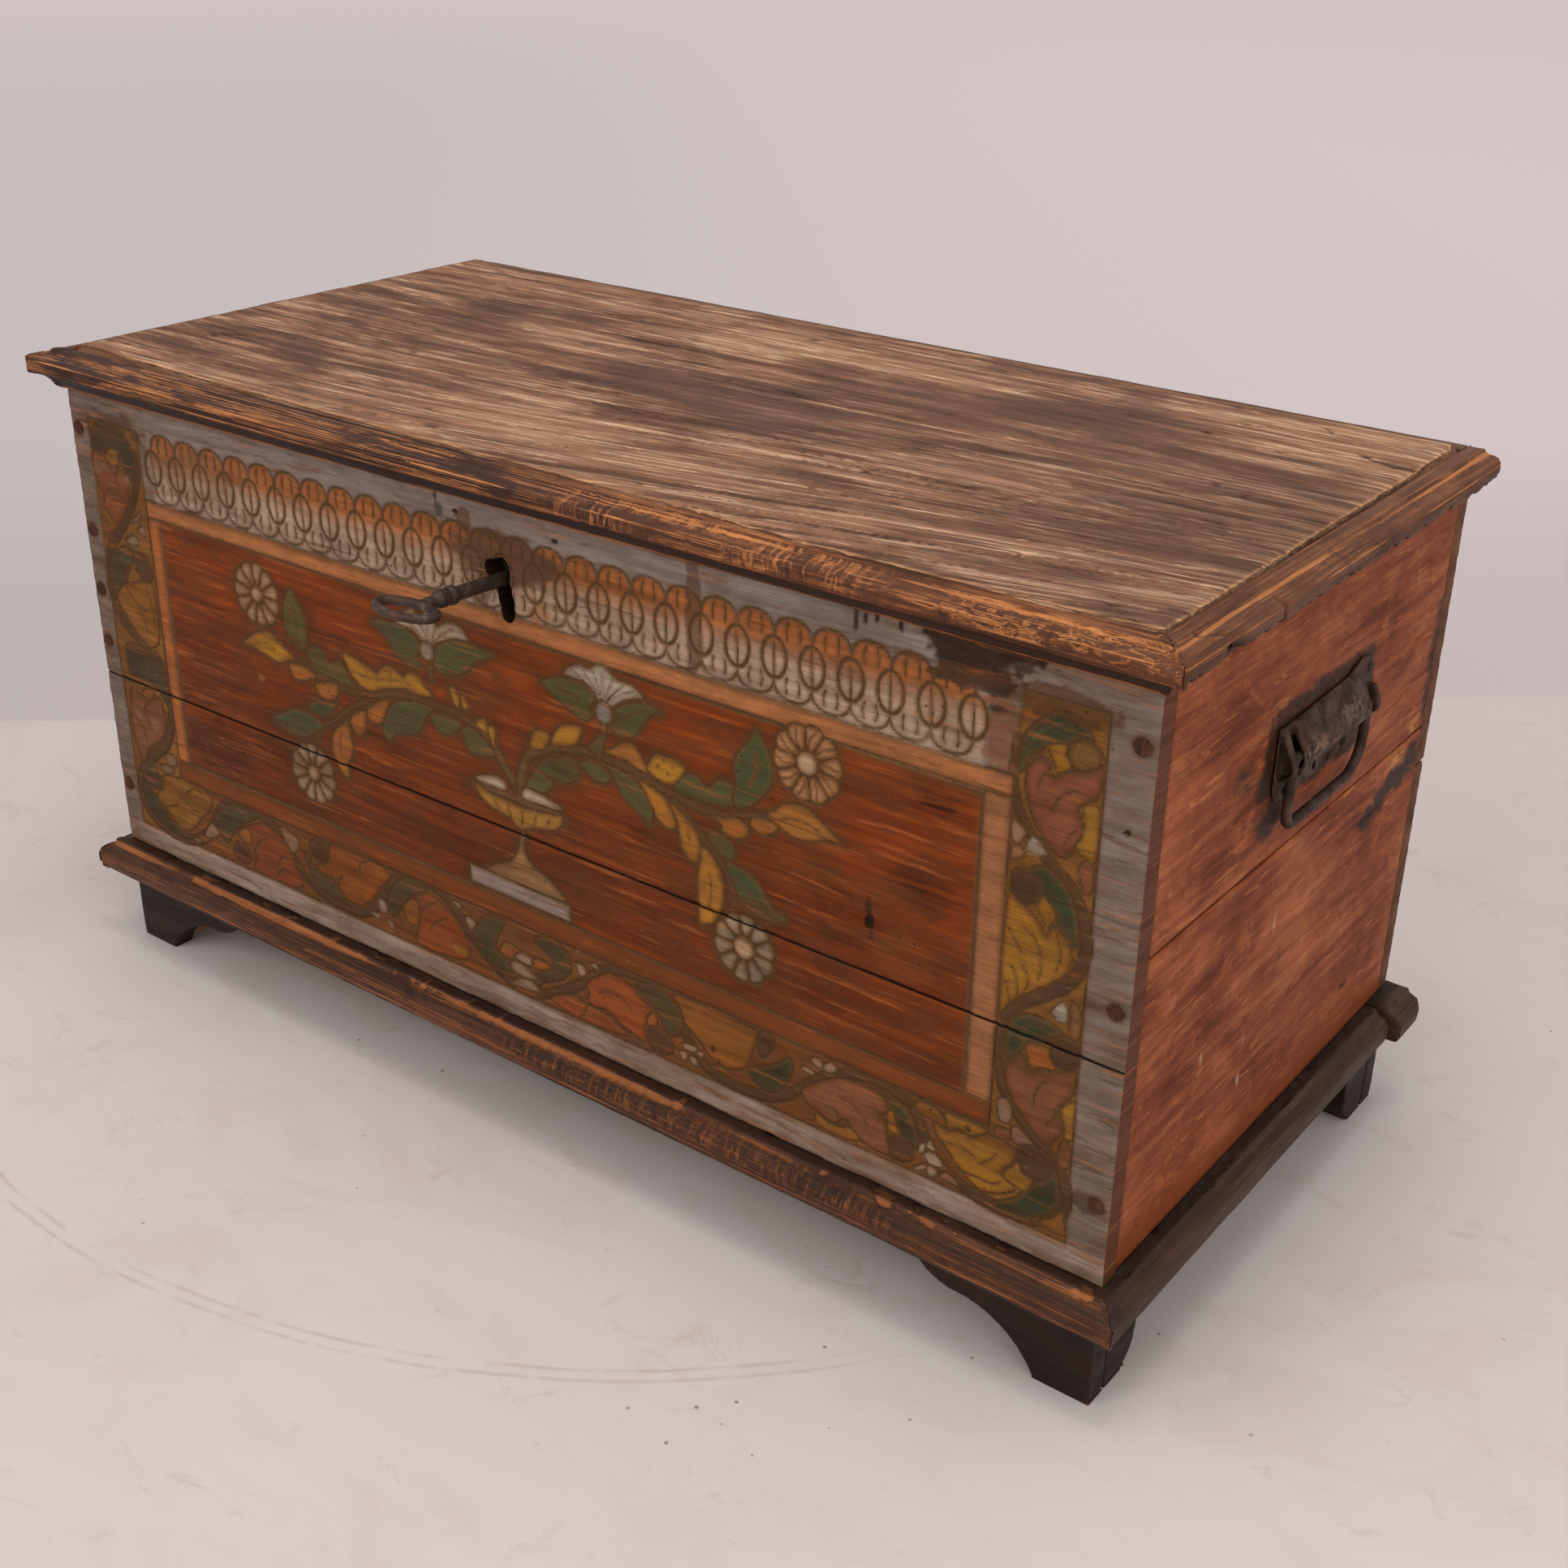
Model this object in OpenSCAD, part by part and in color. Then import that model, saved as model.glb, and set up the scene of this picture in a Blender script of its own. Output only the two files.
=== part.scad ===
// Plank blanket chest on bracket feet: moulded lid on two strap hinges, chest lock with its key,
// and a drop handle at each end. Millimetres, front towards -Y, floor at Z = 0.

/* [Carcase] */
// Length of the front, over the end grain of its planks
body_w = 850; // [760:1:1000]
// Depth over the front and back planks
body_d = 404; // [360:1:480]
// Height of the planked carcase
body_h = 366; // [330:1:420]
// Thickness of the wall planks
board_t = 16; // [14:0.5:20]
// Thickness of the bottom planks
bottom_t = 16; // [12:0.5:22]
// Height of the lower front plank
front_seam = 139; // [110:1:180]
// Height of the lower back plank
back_seam = 170; // [120:1:220]
// Height of the lower plank of each end
side_seam = 199; // [170:1:230]
// Distance of the joint in the bottom from its front edge
bottom_seam = 196; // [120:1:230]
// Shrinkage gap between neighbouring planks
plank_gap = 0.4; // [0.2:0.1:1]
// Diameter of the wooden pegs
peg_d = 9.5; // [8:0.5:11]
// Length of the pegs
peg_l = 36; // [26:1:60]

/* [Lid] */
// Thickness of the lid plank
lid_t = 17; // [14:0.5:24]
// How far the lid plank stops short of the carcase faces
lid_inset = 5.7; // [3:0.1:8]
// How far the lid mouldings stand out from the carcase faces
lid_out = 19; // [15:0.1:22]
// How far the lid mouldings hang below the lid plank
lid_hang = 13; // [11:0.5:20]
// How much lower the mouldings lie than the top of the lid plank
lid_proud = 2.2; // [1:0.1:4]
// Width of the rail along the back of the lid
rail_w = 12; // [10:0.5:40]
// How far the lid stands out behind the back planks
lid_back_out = 1; // [0.5:0.5:3]
// Radius of the rear corners of the lid
lid_corner_r = 13; // [6:1:16]
// Radius of the worn front corners of the lid
lid_front_r = 8; // [2:1:12]
// Clearance between the hanging mouldings and the carcase
hang_gap = 0.4; // [0.3:0.1:1]

/* [Base] */
// Thickness of the base planks
base_t = 25; // [20:1:32]
// How far the base mouldings stand out
base_out = 18; // [14:0.5:24]
// How far the base planks reach in under the carcase
base_in = 30; // [24:1:60]
// Width of the plank under the back
base_rear_w = 38; // [26:1:60]
// How far the rear base plank stands out behind the back
base_rear_out = 5; // [2:0.5:7]
// How far its ends stand out beyond the end planks
base_end_out = 25; // [18:0.5:26]
// Radius of their corners
base_corner_r = 5; // [2:1:12]
// Open joint between the side mouldings and the rear base plank
base_crack = 1.5; // [0.3:0.1:2]

/* [Feet] */
// Height of the feet under the base
foot_h = 60; // [50:1:80]
// Thickness of the foot boards
foot_t = 18; // [14:1:24]
// Width of the face board where it stands on the floor
face_floor_w = 38; // [32:1:60]
// Radius of the hollow in the face board
face_cove_r = 60; // [50:1:80]
// Radius of the swelling above the hollow
face_swell_r = 40; // [36:1:50]
// Height of the face board where the hollow meets the swelling
face_throat_h = 34; // [28:1:40]
// Width of the return board under the base
return_w = 54; // [46:1:80]
// Width of the return board where it stands on the floor
return_floor_w = 40; // [30:1:44]
// Height of the rounded lower corner of the return board
return_round_h = 23; // [14:1:40]
// Side of the glue block inside each foot
block_w = 20; // [12:1:26]
// How far the glue blocks stay off the floor
block_lift = 4; // [2:1:10]
// How far the rear feet stand outside the ends of the carcase
rear_foot_out = 5; // [0:0.5:8]
// How far the rear feet stand in from the back
rear_foot_in = 10; // [0:0.5:14]

/* [Hinges] */
// Distance of the hinges from the middle of the chest
hinge_x = 285; // [200:1:340]
// Radius of the hinge knuckles
knuckle_r = 4.6; // [4:0.1:6]
// Radius of the hinge pins
hinge_pin_r = 2.5; // [2:0.1:3]
// Running clearance round the hinge pins
pin_gap = 0.05; // [0.03:0.01:0.1]
// Length of the middle knuckle, which belongs to the strap
knuckle_mid = 16; // [12:1:24]
// Length of each outer knuckle, which belongs to the leaf
knuckle_end = 8; // [6:1:14]
// Side clearance between the knuckles
knuckle_gap = 0.4; // [0.2:0.1:0.8]
// Clearance between the knuckles and the back planks
knuckle_off = 0.4; // [0.3:0.1:1]
// Thickness of the hinge straps and leaves
strap_t = 3; // [2:0.1:3.5]
// Reach of each strap from the back face of the chest
strap_l = 230; // [160:1:300]
// Width of each strap
strap_w = 28; // [22:1:36]
// Height of each leaf on the back
leaf_h = 66; // [50:1:100]

/* [Handles] */
// Distance of the handle centre behind the middle of the end
handle_y = 6; // [-30:1:30]
// Depth of the handle pivot below the top of the carcase
handle_drop = 103; // [85:1:130]
// Distance of the handle pivot from the end planks
pivot_out = 6.6; // [6.4:0.1:9]
// Half width of the bail between its leg centres
bail_half = 51; // [46:1:60]
// Distance from the pivot to the middle of the bail's grip
bail_drop = 41.5; // [38:0.5:60]
// Radius of the bail's iron
bail_r = 3.2; // [2.6:0.1:3.5]
// Radius of the bail's lower rear corner, opened by wear
bail_bend = 22; // [12:1:24]
// Radius of the bail's lower front corner
bail_bend_front = 8; // [6:1:16]
// Radius of the bends between the bail's legs and its turned-in ends
pin_bend = 4; // [3.6:0.1:6]
// Length of the bail's turned-in ends
bail_pin_l = 32; // [24:1:38]
// Clearance of the bail in its plate
bail_gap = 0.35; // [0.3:0.05:0.6]
// Clearance between the bail's legs and the ridge of its plate
hood_gap = 0.6; // [0.5:0.1:2]
// Thickness of the handle plates
plate_t = 1.8; // [1.5:0.1:2]

/* [Lock] */
// Distance of the keyhole from the middle of the front
key_x = -11; // [-40:0.5:40]
// Depth of the keyhole below the top of the carcase
key_drop = 58.8; // [56:0.1:64]
// Upward tilt of the key in the worn keyhole, in degrees
key_tilt = 2.6; // [0:0.1:3]
// Radius of the key's shank
shank_r = 4.5; // [4:0.1:5]
// Radius of the round part of the keyhole in the front
keyhole_r = 6.2; // [5.6:0.1:7]
// Width of the slot of the keyhole
slot_w = 9.5; // [9:0.1:11]
// How far the worn slot stands to the right of the key's axis
slot_off = 2.5; // [0:0.1:2.5]
// Depth of the slot below the keyhole's centre
slot_l = 25.5; // [23.5:0.5:28]
// Distance from the key's axis to the tip of its bit
bit_r = 22; // [20:0.5:22]
// Thickness of the key's bit
bit_t = 4; // [3:0.5:4]
// Width of the key's bit along the shank
bit_w = 10; // [8:0.5:10]
// Distance of the middle of the bow from the front
bow_out = 73; // [68:1:90]
// Half width of the bow at the middle of its iron
bow_a = 21.4; // [20:0.2:26]
// Half length of the bow at the middle of its iron
bow_b = 11.1; // [10.6:0.1:12]
// Radius of the bow's iron
bow_r = 3; // [2:0.1:3.2]
// Travel of the bolt in half a turn of the key
bolt_throw = 9; // [8:0.5:9]
// Height of the bolt
bolt_h = 10; // [8:0.5:10]
// Thickness of the bolt
bolt_t = 5; // [4:0.5:5]
// Depth of the bolt's centre below the top of the carcase
bolt_drop = 26; // [25.8:0.1:27]
// Thickness of the lock's back plate and case
case_t = 2; // [1.5:0.1:2]
// Depth inside the lock case
case_room = 14; // [14:0.5:20]
// Length of the lock's iron nails
nail_l = 11; // [8:0.5:12]

/* [Hidden] */
$fn = 48;
E = 0.5;

half_w = body_w / 2;
half_d = body_d / 2;
base_z = foot_h + base_t;
top_z = base_z + body_h;
lid_z = top_z + lid_t;

hinge_y = half_d + knuckle_off + knuckle_r;
hinge_z = top_z - knuckle_r;
front_reach = half_d + (bow_out + bow_b) * cos(key_tilt) + bow_r;
rear_reach = hinge_y + knuckle_r;
shift_y = (front_reach - rear_reach) / 2;

lid_half_w = half_w - lid_inset;
lid_front_y = half_d - lid_inset;
lid_back_y = half_d + lid_back_out;
mould_h = lid_t - lid_proud;

key_z = top_z - key_drop;
bolt_z = top_z - bolt_drop;
plate_in = half_d - board_t;
case_in = plate_in - case_t;
case_back = case_in - case_room;
lock_top = top_z - 3;
lock_low = key_z - 38;
case_left = key_x - 52;
case_right = key_x + 46;
notch_left = key_x - bolt_throw / 2 - 10;
notch_right = key_x - bolt_throw / 2 + 10.5;
lug_w = 7;
lug_grip = 2.6;
tongue_x = key_x + 33;
tongue_t = 5;
tongue_low = bolt_z - bolt_h / 2 - 6.5;
bolt_end = tongue_x + tongue_t + 1 - bolt_throw;
eye_gap = 1.7;
bolt_y0 = -case_in + 4;
bit_y0 = 1.5;
lug_low = key_axis_z(bolt_y0 + bolt_t / 2) + bit_r - lug_grip;

plate_half = bail_half + 11;
ridge_half = bail_half - pin_bend - hood_gap;
cheek_in = bail_half + bail_r + hood_gap;
torn_holes = [[-27, -17.5], [-6, -21.5]];
handle_nail_head = 2.6;

right_peg_drops = [43, 192, 314];
left_peg_drops = [40, 115, 160, 200, 317];
back_peg_drops = [43, 150, 250, 317];
peg_inset = board_t / 2;

nail_r = 1.3;
nail_head_r = 4;
nail_head_h = 1.8;
hole_gap = 0.05;
strap_nail_parts = [0.09, 0.34, 0.66, 1];
leaf_nail_drops = [22, 38, 54];
leaf_nail_dx = 7;
staple_plate_t = 2.5;
staple_nail_dx = 6;

// Height of the front of the key's axis at a place y, since the key tilts about the front face
function key_axis_z(y) = key_z - (y + half_d) * tan(key_tilt);

// Points of an arc about a centre, from one angle to another
function arc(cx, cy, r, a0, a1, n) =
    [for (i = [0:n]) let (a = a0 + (a1 - a0) * i / n) [cx + r * cos(a), cy + r * sin(a)]];

// A block between two opposite corners
module block(lo, hi) {
    translate(lo)
        cube(hi - lo);
}

// A rod along Y between two places
module rod_y(r, x, y0, y1, z) {
    translate([x, y0, z])
        rotate([-90, 0, 0])
            cylinder(r = r, h = y1 - y0);
}

// A rod along X between two places
module rod_x(r, x0, x1, y, z) {
    translate([x0, y, z])
        rotate([0, 90, 0])
            cylinder(r = r, h = x1 - x0);
}

// A hand-made nail: a low faceted head on the surface and a round shank below it
module nail(l, r = nail_head_r) {
    h = nail_head_h * r / nail_head_r;
    rotate_extrude($fn = 24)
        polygon([[0, -l], [nail_r * 0.5, -l], [nail_r, -l * 0.6], [nail_r, 0], [r, 0],
                 [r * 0.85, h * 0.45], [r * 0.35, h], [0, h]]);
}

// The hole that such a nail fills
module nail_hole(l) {
    translate([0, 0, -l - E])
        cylinder(r = nail_r + hole_gap, h = l + 2 * E, $fn = 24);
}

// The nails' places: every child is drawn at each, with +Z along the outward direction of its head
module at_handle_nails(side) {
    for (p = [[-bail_half + 5, -22], [plate_half - 2, 17], [14, -23], [plate_half - 29, -21]])
        translate([side * (half_w + plate_t), handle_y + p[0], top_z - handle_drop + p[1]])
            rotate([0, side * 90, 0])
                children();
}

module at_leaf_nails() {
    for (x = [-hinge_x, hinge_x], i = [0:2])
        translate([x + leaf_nail_dx * (i - 1), half_d + strap_t, top_z - leaf_nail_drops[i]])
            rotate([-90, 0, 0])
                children();
}

module at_strap_nails() {
    reach = strap_l - board_t - strap_w / 2;
    for (x = [-hinge_x, hinge_x], part = strap_nail_parts)
        translate([x, half_d - board_t - reach * part, top_z - strap_t])
            rotate([180, 0, 0])
                children();
}

module at_lock_nails() {
    for (x = [case_left - 5, case_right + 5], z = [lock_low + 8, lock_top - 8])
        translate([x, -case_in, z])
            rotate([-90, 0, 0])
                children();
}

module at_staple_nails() {
    for (x = [tongue_x - staple_nail_dx, tongue_x + tongue_t + staple_nail_dx])
        translate([x, -case_back + 12, top_z - staple_plate_t])
            rotate([180, 0, 0])
                children();
}

// Peg holes of one pair of corners: y_dir is -1 at the front and 1 at the back
module pegs(side, y_dir, drops, r) {
    for (d = drops)
        rod_y(r, side * (half_w - peg_inset), min(y_dir * half_d, y_dir * (half_d - peg_l)),
              max(y_dir * half_d, y_dir * (half_d - peg_l)), top_z - d);
}

module peg_holes(side) {
    pegs(side, -1, side > 0 ? right_peg_drops : left_peg_drops, peg_d / 2 + hole_gap);
    pegs(side, 1, back_peg_drops, peg_d / 2 + hole_gap);
}

// Keyhole through the front, made from a round hole and a slot below it
module keyhole(r, w, y0, y1) {
    z = key_axis_z((y0 + y1) / 2);
    x = key_x + slot_off;
    rod_y(r, key_x, y0, y1, z);
    block([x - w / 2, y0, z - slot_l], [x + w / 2, y1, z]);
}

// Planks of the carcase

module front_plank(z0, z1) {
    difference() {
        block([-half_w, -half_d, z0], [half_w, -half_d + board_t, z1]);
        for (side = [-1, 1])
            peg_holes(side);
    }
}

module front_board_upper() {
    color("#8a4326")
        translate([0, shift_y, 0])
            difference() {
                front_plank(base_z + front_seam + plank_gap, top_z);
                keyhole(keyhole_r, slot_w, -half_d - E, -half_d + board_t + E);
                at_lock_nails()
                    nail_hole(nail_l);
            }
}

module front_board_lower() {
    color("#8a4326")
        translate([0, shift_y, 0])
            front_plank(base_z, base_z + front_seam);
}

module back_plank(z0, z1) {
    difference() {
        block([-half_w, half_d - board_t, z0], [half_w, half_d, z1]);
        for (side = [-1, 1])
            peg_holes(side);
        at_leaf_nails()
            nail_hole(nail_l);
    }
}

module back_board_upper() {
    color("#6e4a33")
        translate([0, shift_y, 0])
            difference() {
                back_plank(base_z + back_seam + plank_gap, top_z);
                for (x = [-hinge_x, hinge_x])
                    block([x - strap_w / 2 - E, half_d - board_t - E, top_z - strap_t - plank_gap],
                          [x + strap_w / 2 + E, half_d + E, top_z + E]);
            }
}

module back_board_lower() {
    color("#6e4a33")
        translate([0, shift_y, 0])
            back_plank(base_z, base_z + back_seam);
}

module side_plank(side, z0, z1) {
    x0 = side > 0 ? half_w - board_t : -half_w;
    difference() {
        block([x0, -half_d + board_t, z0], [x0 + board_t, half_d - board_t, z1]);
        peg_holes(side);
        at_handle_nails(side)
            nail_hole(nail_l);
    }
}

module side_upper(side) {
    color("#93492b")
        translate([0, shift_y, 0])
            side_plank(side, base_z + side_seam + plank_gap, top_z);
}

module side_lower(side) {
    color("#93492b")
        translate([0, shift_y, 0])
            side_plank(side, base_z, base_z + side_seam);
}

module right_board_upper() { side_upper(1); }
module right_board_lower() { side_lower(1); }
module left_board_upper() { side_upper(-1); }
module left_board_lower() { side_lower(-1); }

module bottom_plank(y0, y1) {
    color("#7a5a3e")
        translate([0, shift_y, 0])
            block([-half_w + board_t, y0, base_z], [half_w - board_t, y1, base_z + bottom_t]);
}

module bottom_board_front() {
    bottom_plank(-half_d + board_t, -half_d + board_t + bottom_seam);
}

module bottom_board_rear() {
    bottom_plank(-half_d + board_t + bottom_seam + plank_gap, half_d - board_t);
}

module front_pegs() {
    color("#3c2018")
        translate([0, shift_y, 0]) {
            pegs(1, -1, right_peg_drops, peg_d / 2);
            pegs(-1, -1, left_peg_drops, peg_d / 2);
        }
}

module back_pegs() {
    color("#3c2018")
        translate([0, shift_y, 0])
            for (side = [-1, 1])
                pegs(side, 1, back_peg_drops, peg_d / 2);
}

// Mouldings: profiles have X outwards from the carcase face and Y up

// Lid moulding, with Y = 0 at the underside of the lid plank
module lid_profile() {
    top = mould_h;
    polygon(concat(
        [[-lid_inset, 0], [-lid_inset, top], [4, top], [4.6, top - 1.8], [7, top - 2.4]],
        arc(7, top - 2.4 - 22, 22, 88, 60, 4),
        [[lid_out, top - 5.8], [lid_out, 1.5], [lid_out - 1.6, -1.4], [lid_out - 4, -2.4]],
        arc(lid_out - 4, -lid_hang + 0.6, lid_hang - 3, 90, 170, 4),
        [[2, -lid_hang], [hang_gap, -lid_hang], [hang_gap, 0]]
    ));
}

// Base moulding, with Y = 0 at the bottom of the carcase
module base_profile(out) {
    polygon(concat(
        [[-base_in, -base_t], [-base_in, 0], [out - 10.5, 0], [out - 9.8, -3.4]],
        arc(out - 9.6, -13, 9.6, 88, 10, 5),
        [[out, -13], [out, -base_t + 5.2], [out - 1.2, -base_t + 4.4], [out - 0.8, -base_t + 2.4],
         [out - 2.6, -base_t]]
    ));
}

// A moulding along the front between -len and len
module front_run(len) {
    translate([-len, -half_d, 0])
        rotate([90, 0, 90])
            mirror([1, 0, 0])
                linear_extrude(2 * len)
                    children();
}

// A moulding along one end between y0 and y1
module side_run(side, y0, y1) {
    mirror([side > 0 ? 0 : 1, 0, 0])
        translate([half_w, y1, 0])
            rotate([90, 0, 0])
                linear_extrude(y1 - y0)
                    children();
}

// Plan of a front moulding, mitred at both ends and rounded at its corners
module front_mitre(inner, outer, corner_r, z0, z1) {
    translate([0, 0, z0])
        linear_extrude(z1 - z0)
            difference() {
                polygon([[-half_w - outer, -half_d - outer], [half_w + outer, -half_d - outer],
                         [half_w - inner, -half_d + inner], [-half_w + inner, -half_d + inner]]);
                for (side = [0, 1])
                    mirror([side, 0, 0])
                        mirror([0, 1, 0])
                            corner_cut(half_w + outer, half_d + outer, corner_r);
            }
}

// Plan of an end moulding: mitred in front and rounded at its corners
module side_mitre(side, inner, outer, front_r, y_end, corner_r, z0, z1) {
    mirror([side > 0 ? 0 : 1, 0, 0])
        translate([0, 0, z0])
            linear_extrude(z1 - z0)
                difference() {
                    polygon([[half_w - inner, -half_d + inner], [half_w + outer, -half_d - outer],
                             [half_w + outer, y_end], [half_w - inner, y_end]]);
                    corner_cut(half_w + outer, y_end, corner_r);
                    mirror([0, 1, 0])
                        corner_cut(half_w + outer, half_d + outer, front_r);
                }
}

// The waste of a rounded plan corner
module corner_cut(x, y, r) {
    if (r > 0)
        translate([x - r, y - r])
            difference() {
                square(r + E);
                circle(r = r);
            }
}

module lid_board() {
    color("#8d7460")
        translate([0, shift_y, 0])
            difference() {
                block([-lid_half_w, -lid_front_y, top_z], [lid_half_w, lid_back_y - rail_w, lid_z]);
                at_strap_nails()
                    nail_hole(nail_l);
                at_staple_nails()
                    nail_hole(nail_l);
            }
}

module lid_moulding_front() {
    color("#5a3523")
        translate([0, shift_y, 0])
            intersection() {
                translate([0, 0, top_z])
                    front_run(half_w + lid_out)
                        lid_profile();
                front_mitre(lid_inset, lid_out, lid_front_r, top_z - lid_hang, lid_z);
            }
}

module lid_moulding_side(side) {
    color("#6b3d26")
        translate([0, shift_y, 0])
            intersection() {
                translate([0, 0, top_z])
                    side_run(side, -half_d - lid_out, lid_back_y)
                        lid_profile();
                side_mitre(side, lid_inset, lid_out, lid_front_r, lid_back_y, lid_corner_r,
                           top_z - lid_hang, lid_z);
            }
}

module lid_moulding_right() { lid_moulding_side(1); }
module lid_moulding_left() { lid_moulding_side(-1); }

module lid_rear_rail() {
    color("#6a4a38")
        translate([0, shift_y, 0])
            block([-lid_half_w, lid_back_y - rail_w, top_z], [lid_half_w, lid_back_y, top_z + mould_h]);
}

module base_moulding_front() {
    color("#4a2c22")
        translate([0, shift_y, 0])
            intersection() {
                translate([0, 0, base_z])
                    front_run(half_w + base_out)
                        base_profile(base_out);
                front_mitre(base_in, base_out, 0, foot_h, base_z);
            }
}

module base_moulding_side(side) {
    y_end = half_d + base_rear_out - base_rear_w - base_crack;
    color("#46302a")
        translate([0, shift_y, 0])
            intersection() {
                translate([0, 0, base_z])
                    side_run(side, -half_d - base_out, y_end)
                        base_profile(base_out);
                side_mitre(side, base_in, base_out, 0, y_end, 0, foot_h, base_z);
            }
}

module base_moulding_right() { base_moulding_side(1); }
module base_moulding_left() { base_moulding_side(-1); }

module base_rear_plank() {
    y1 = half_d + base_rear_out;
    y0 = y1 - base_rear_w;
    x1 = half_w + base_end_out;
    color("#46302a")
        translate([0, shift_y, 0])
            difference() {
                union() {
                    block([-half_w, y0, foot_h], [half_w, y1, base_z]);
                    translate([0, 0, base_z])
                        for (side = [-1, 1])
                            side_run(side, y0, y1)
                                base_profile(base_end_out);
                }
                for (side = [0, 1])
                    mirror([side, 0, 0])
                        translate([0, 0, foot_h - E])
                            linear_extrude(base_t + 2 * E)
                                corner_cut(x1, y1, base_corner_r);
            }
}

// Feet: an outline has X inwards from the corner of the carcase and Y up from the floor

// Face board: a hollow rising from the floor, then a swelling up to the base
module face_outline() {
    drop = face_cove_r - face_throat_h;
    throat_x = face_floor_w + sqrt(face_cove_r * face_cove_r - drop * drop);
    swell_z = face_throat_h + face_swell_r;
    swell_a = -asin((swell_z - foot_h) / face_swell_r);
    polygon(concat(
        [[0, 0], [0, foot_h]],
        arc(throat_x, swell_z, face_swell_r, swell_a, -90, 8),
        arc(throat_x, -drop, face_cove_r, 85, 180 - asin(drop / face_cove_r), 8)
    ));
}

// Return board: straight, with its lower corner rounded off
module return_outline() {
    inset = return_w - return_floor_w;
    r = (return_round_h * return_round_h + inset * inset) / (2 * inset);
    polygon(concat(
        [[0, 0], [0, foot_h], [return_w, foot_h]],
        arc(return_w - r, return_round_h, r, 0, -asin(return_round_h / r), 6)
    ));
}

// Puts a foot part, drawn for the front right corner, at one of the four corners
module at_corner(x_dir, y_dir) {
    rear = y_dir > 0 ? 1 : 0;
    translate([0, shift_y, 0])
        mirror([x_dir > 0 ? 0 : 1, 0, 0])
            mirror([0, rear, 0])
                translate([rear * rear_foot_out, rear * rear_foot_in, 0])
                    children();
}

module foot_face(x_dir, y_dir) {
    color("#2e1d1a")
        at_corner(x_dir, y_dir)
            translate([half_w, -half_d + foot_t, 0])
                rotate([90, 0, 0])
                    mirror([1, 0, 0])
                        linear_extrude(foot_t)
                            face_outline();
}

module foot_return(x_dir, y_dir) {
    color("#2e1d1a")
        at_corner(x_dir, y_dir)
            difference() {
                translate([half_w - foot_t, -half_d, 0])
                    rotate([90, 0, 90])
                        linear_extrude(foot_t)
                            return_outline();
                block([half_w - foot_t - E, -half_d - E, -E], [half_w + E, -half_d + foot_t, foot_h + E]);
            }
}

module glue_block(x_dir, y_dir) {
    color("#5c4333")
        at_corner(x_dir, y_dir)
            block([half_w - foot_t - block_w, -half_d + foot_t, block_lift],
                  [half_w - foot_t, -half_d + foot_t + block_w, foot_h]);
}

module foot_face_front_right() { foot_face(1, -1); }
module foot_face_front_left() { foot_face(-1, -1); }
module foot_face_rear_right() { foot_face(1, 1); }
module foot_face_rear_left() { foot_face(-1, 1); }
module foot_return_front_right() { foot_return(1, -1); }
module foot_return_front_left() { foot_return(-1, -1); }
module foot_return_rear_right() { foot_return(1, 1); }
module foot_return_rear_left() { foot_return(-1, 1); }
module glue_block_front_right() { glue_block(1, -1); }
module glue_block_front_left() { glue_block(-1, -1); }
module glue_block_rear_right() { glue_block(1, 1); }
module glue_block_rear_left() { glue_block(-1, 1); }

// Hinges

module hinge_leaf(side) {
    x = side * hinge_x;
    far = knuckle_mid / 2 + knuckle_gap + knuckle_end;
    y0 = half_d;
    eye_z = hinge_z - knuckle_r - knuckle_gap;
    color("#3f3734")
        translate([0, shift_y, 0])
            difference() {
                union() {
                    block([x - far, y0, top_z - leaf_h], [x + far, y0 + strap_t, eye_z]);
                    for (s = [-1, 1]) {
                        x0 = s > 0 ? x + far - knuckle_end : x - far;
                        rod_x(knuckle_r, x0, x0 + knuckle_end, hinge_y, hinge_z);
                        block([x0, y0, eye_z - E], [x0 + knuckle_end, y0 + strap_t, hinge_z]);
                    }
                }
                rod_x(hinge_pin_r + pin_gap, x - far - E, x + far + E, hinge_y, hinge_z);
                at_leaf_nails()
                    nail_hole(nail_l);
            }
}

module hinge_leaf_right() { hinge_leaf(1); }
module hinge_leaf_left() { hinge_leaf(-1); }

module hinge_strap(side) {
    x = side * hinge_x;
    neck = knuckle_mid / 2;
    wide_y = half_d - 2;
    tip_y = half_d - strap_l;
    color("#3f3734")
        translate([0, shift_y, 0])
            difference() {
                union() {
                    rod_x(knuckle_r, x - neck, x + neck, hinge_y, hinge_z);
                    translate([x, 0, top_z - strap_t])
                        linear_extrude(strap_t) {
                            translate([-neck, wide_y])
                                square([2 * neck, hinge_y - wide_y]);
                            polygon([[-neck, wide_y + E], [neck, wide_y + E], [strap_w / 2, wide_y - 6],
                                     [strap_w / 2 - 5, tip_y + 26], [-strap_w / 2 + 5, tip_y + 26],
                                     [-strap_w / 2, wide_y - 6]]);
                            translate([0, tip_y + strap_w / 2])
                                circle(r = strap_w / 2);
                        }
                }
                rod_x(hinge_pin_r + pin_gap, x - neck - E, x + neck + E, hinge_y, hinge_z);
                at_strap_nails()
                    nail_hole(nail_l);
            }
}

module hinge_strap_right() { hinge_strap(1); }
module hinge_strap_left() { hinge_strap(-1); }

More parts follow.
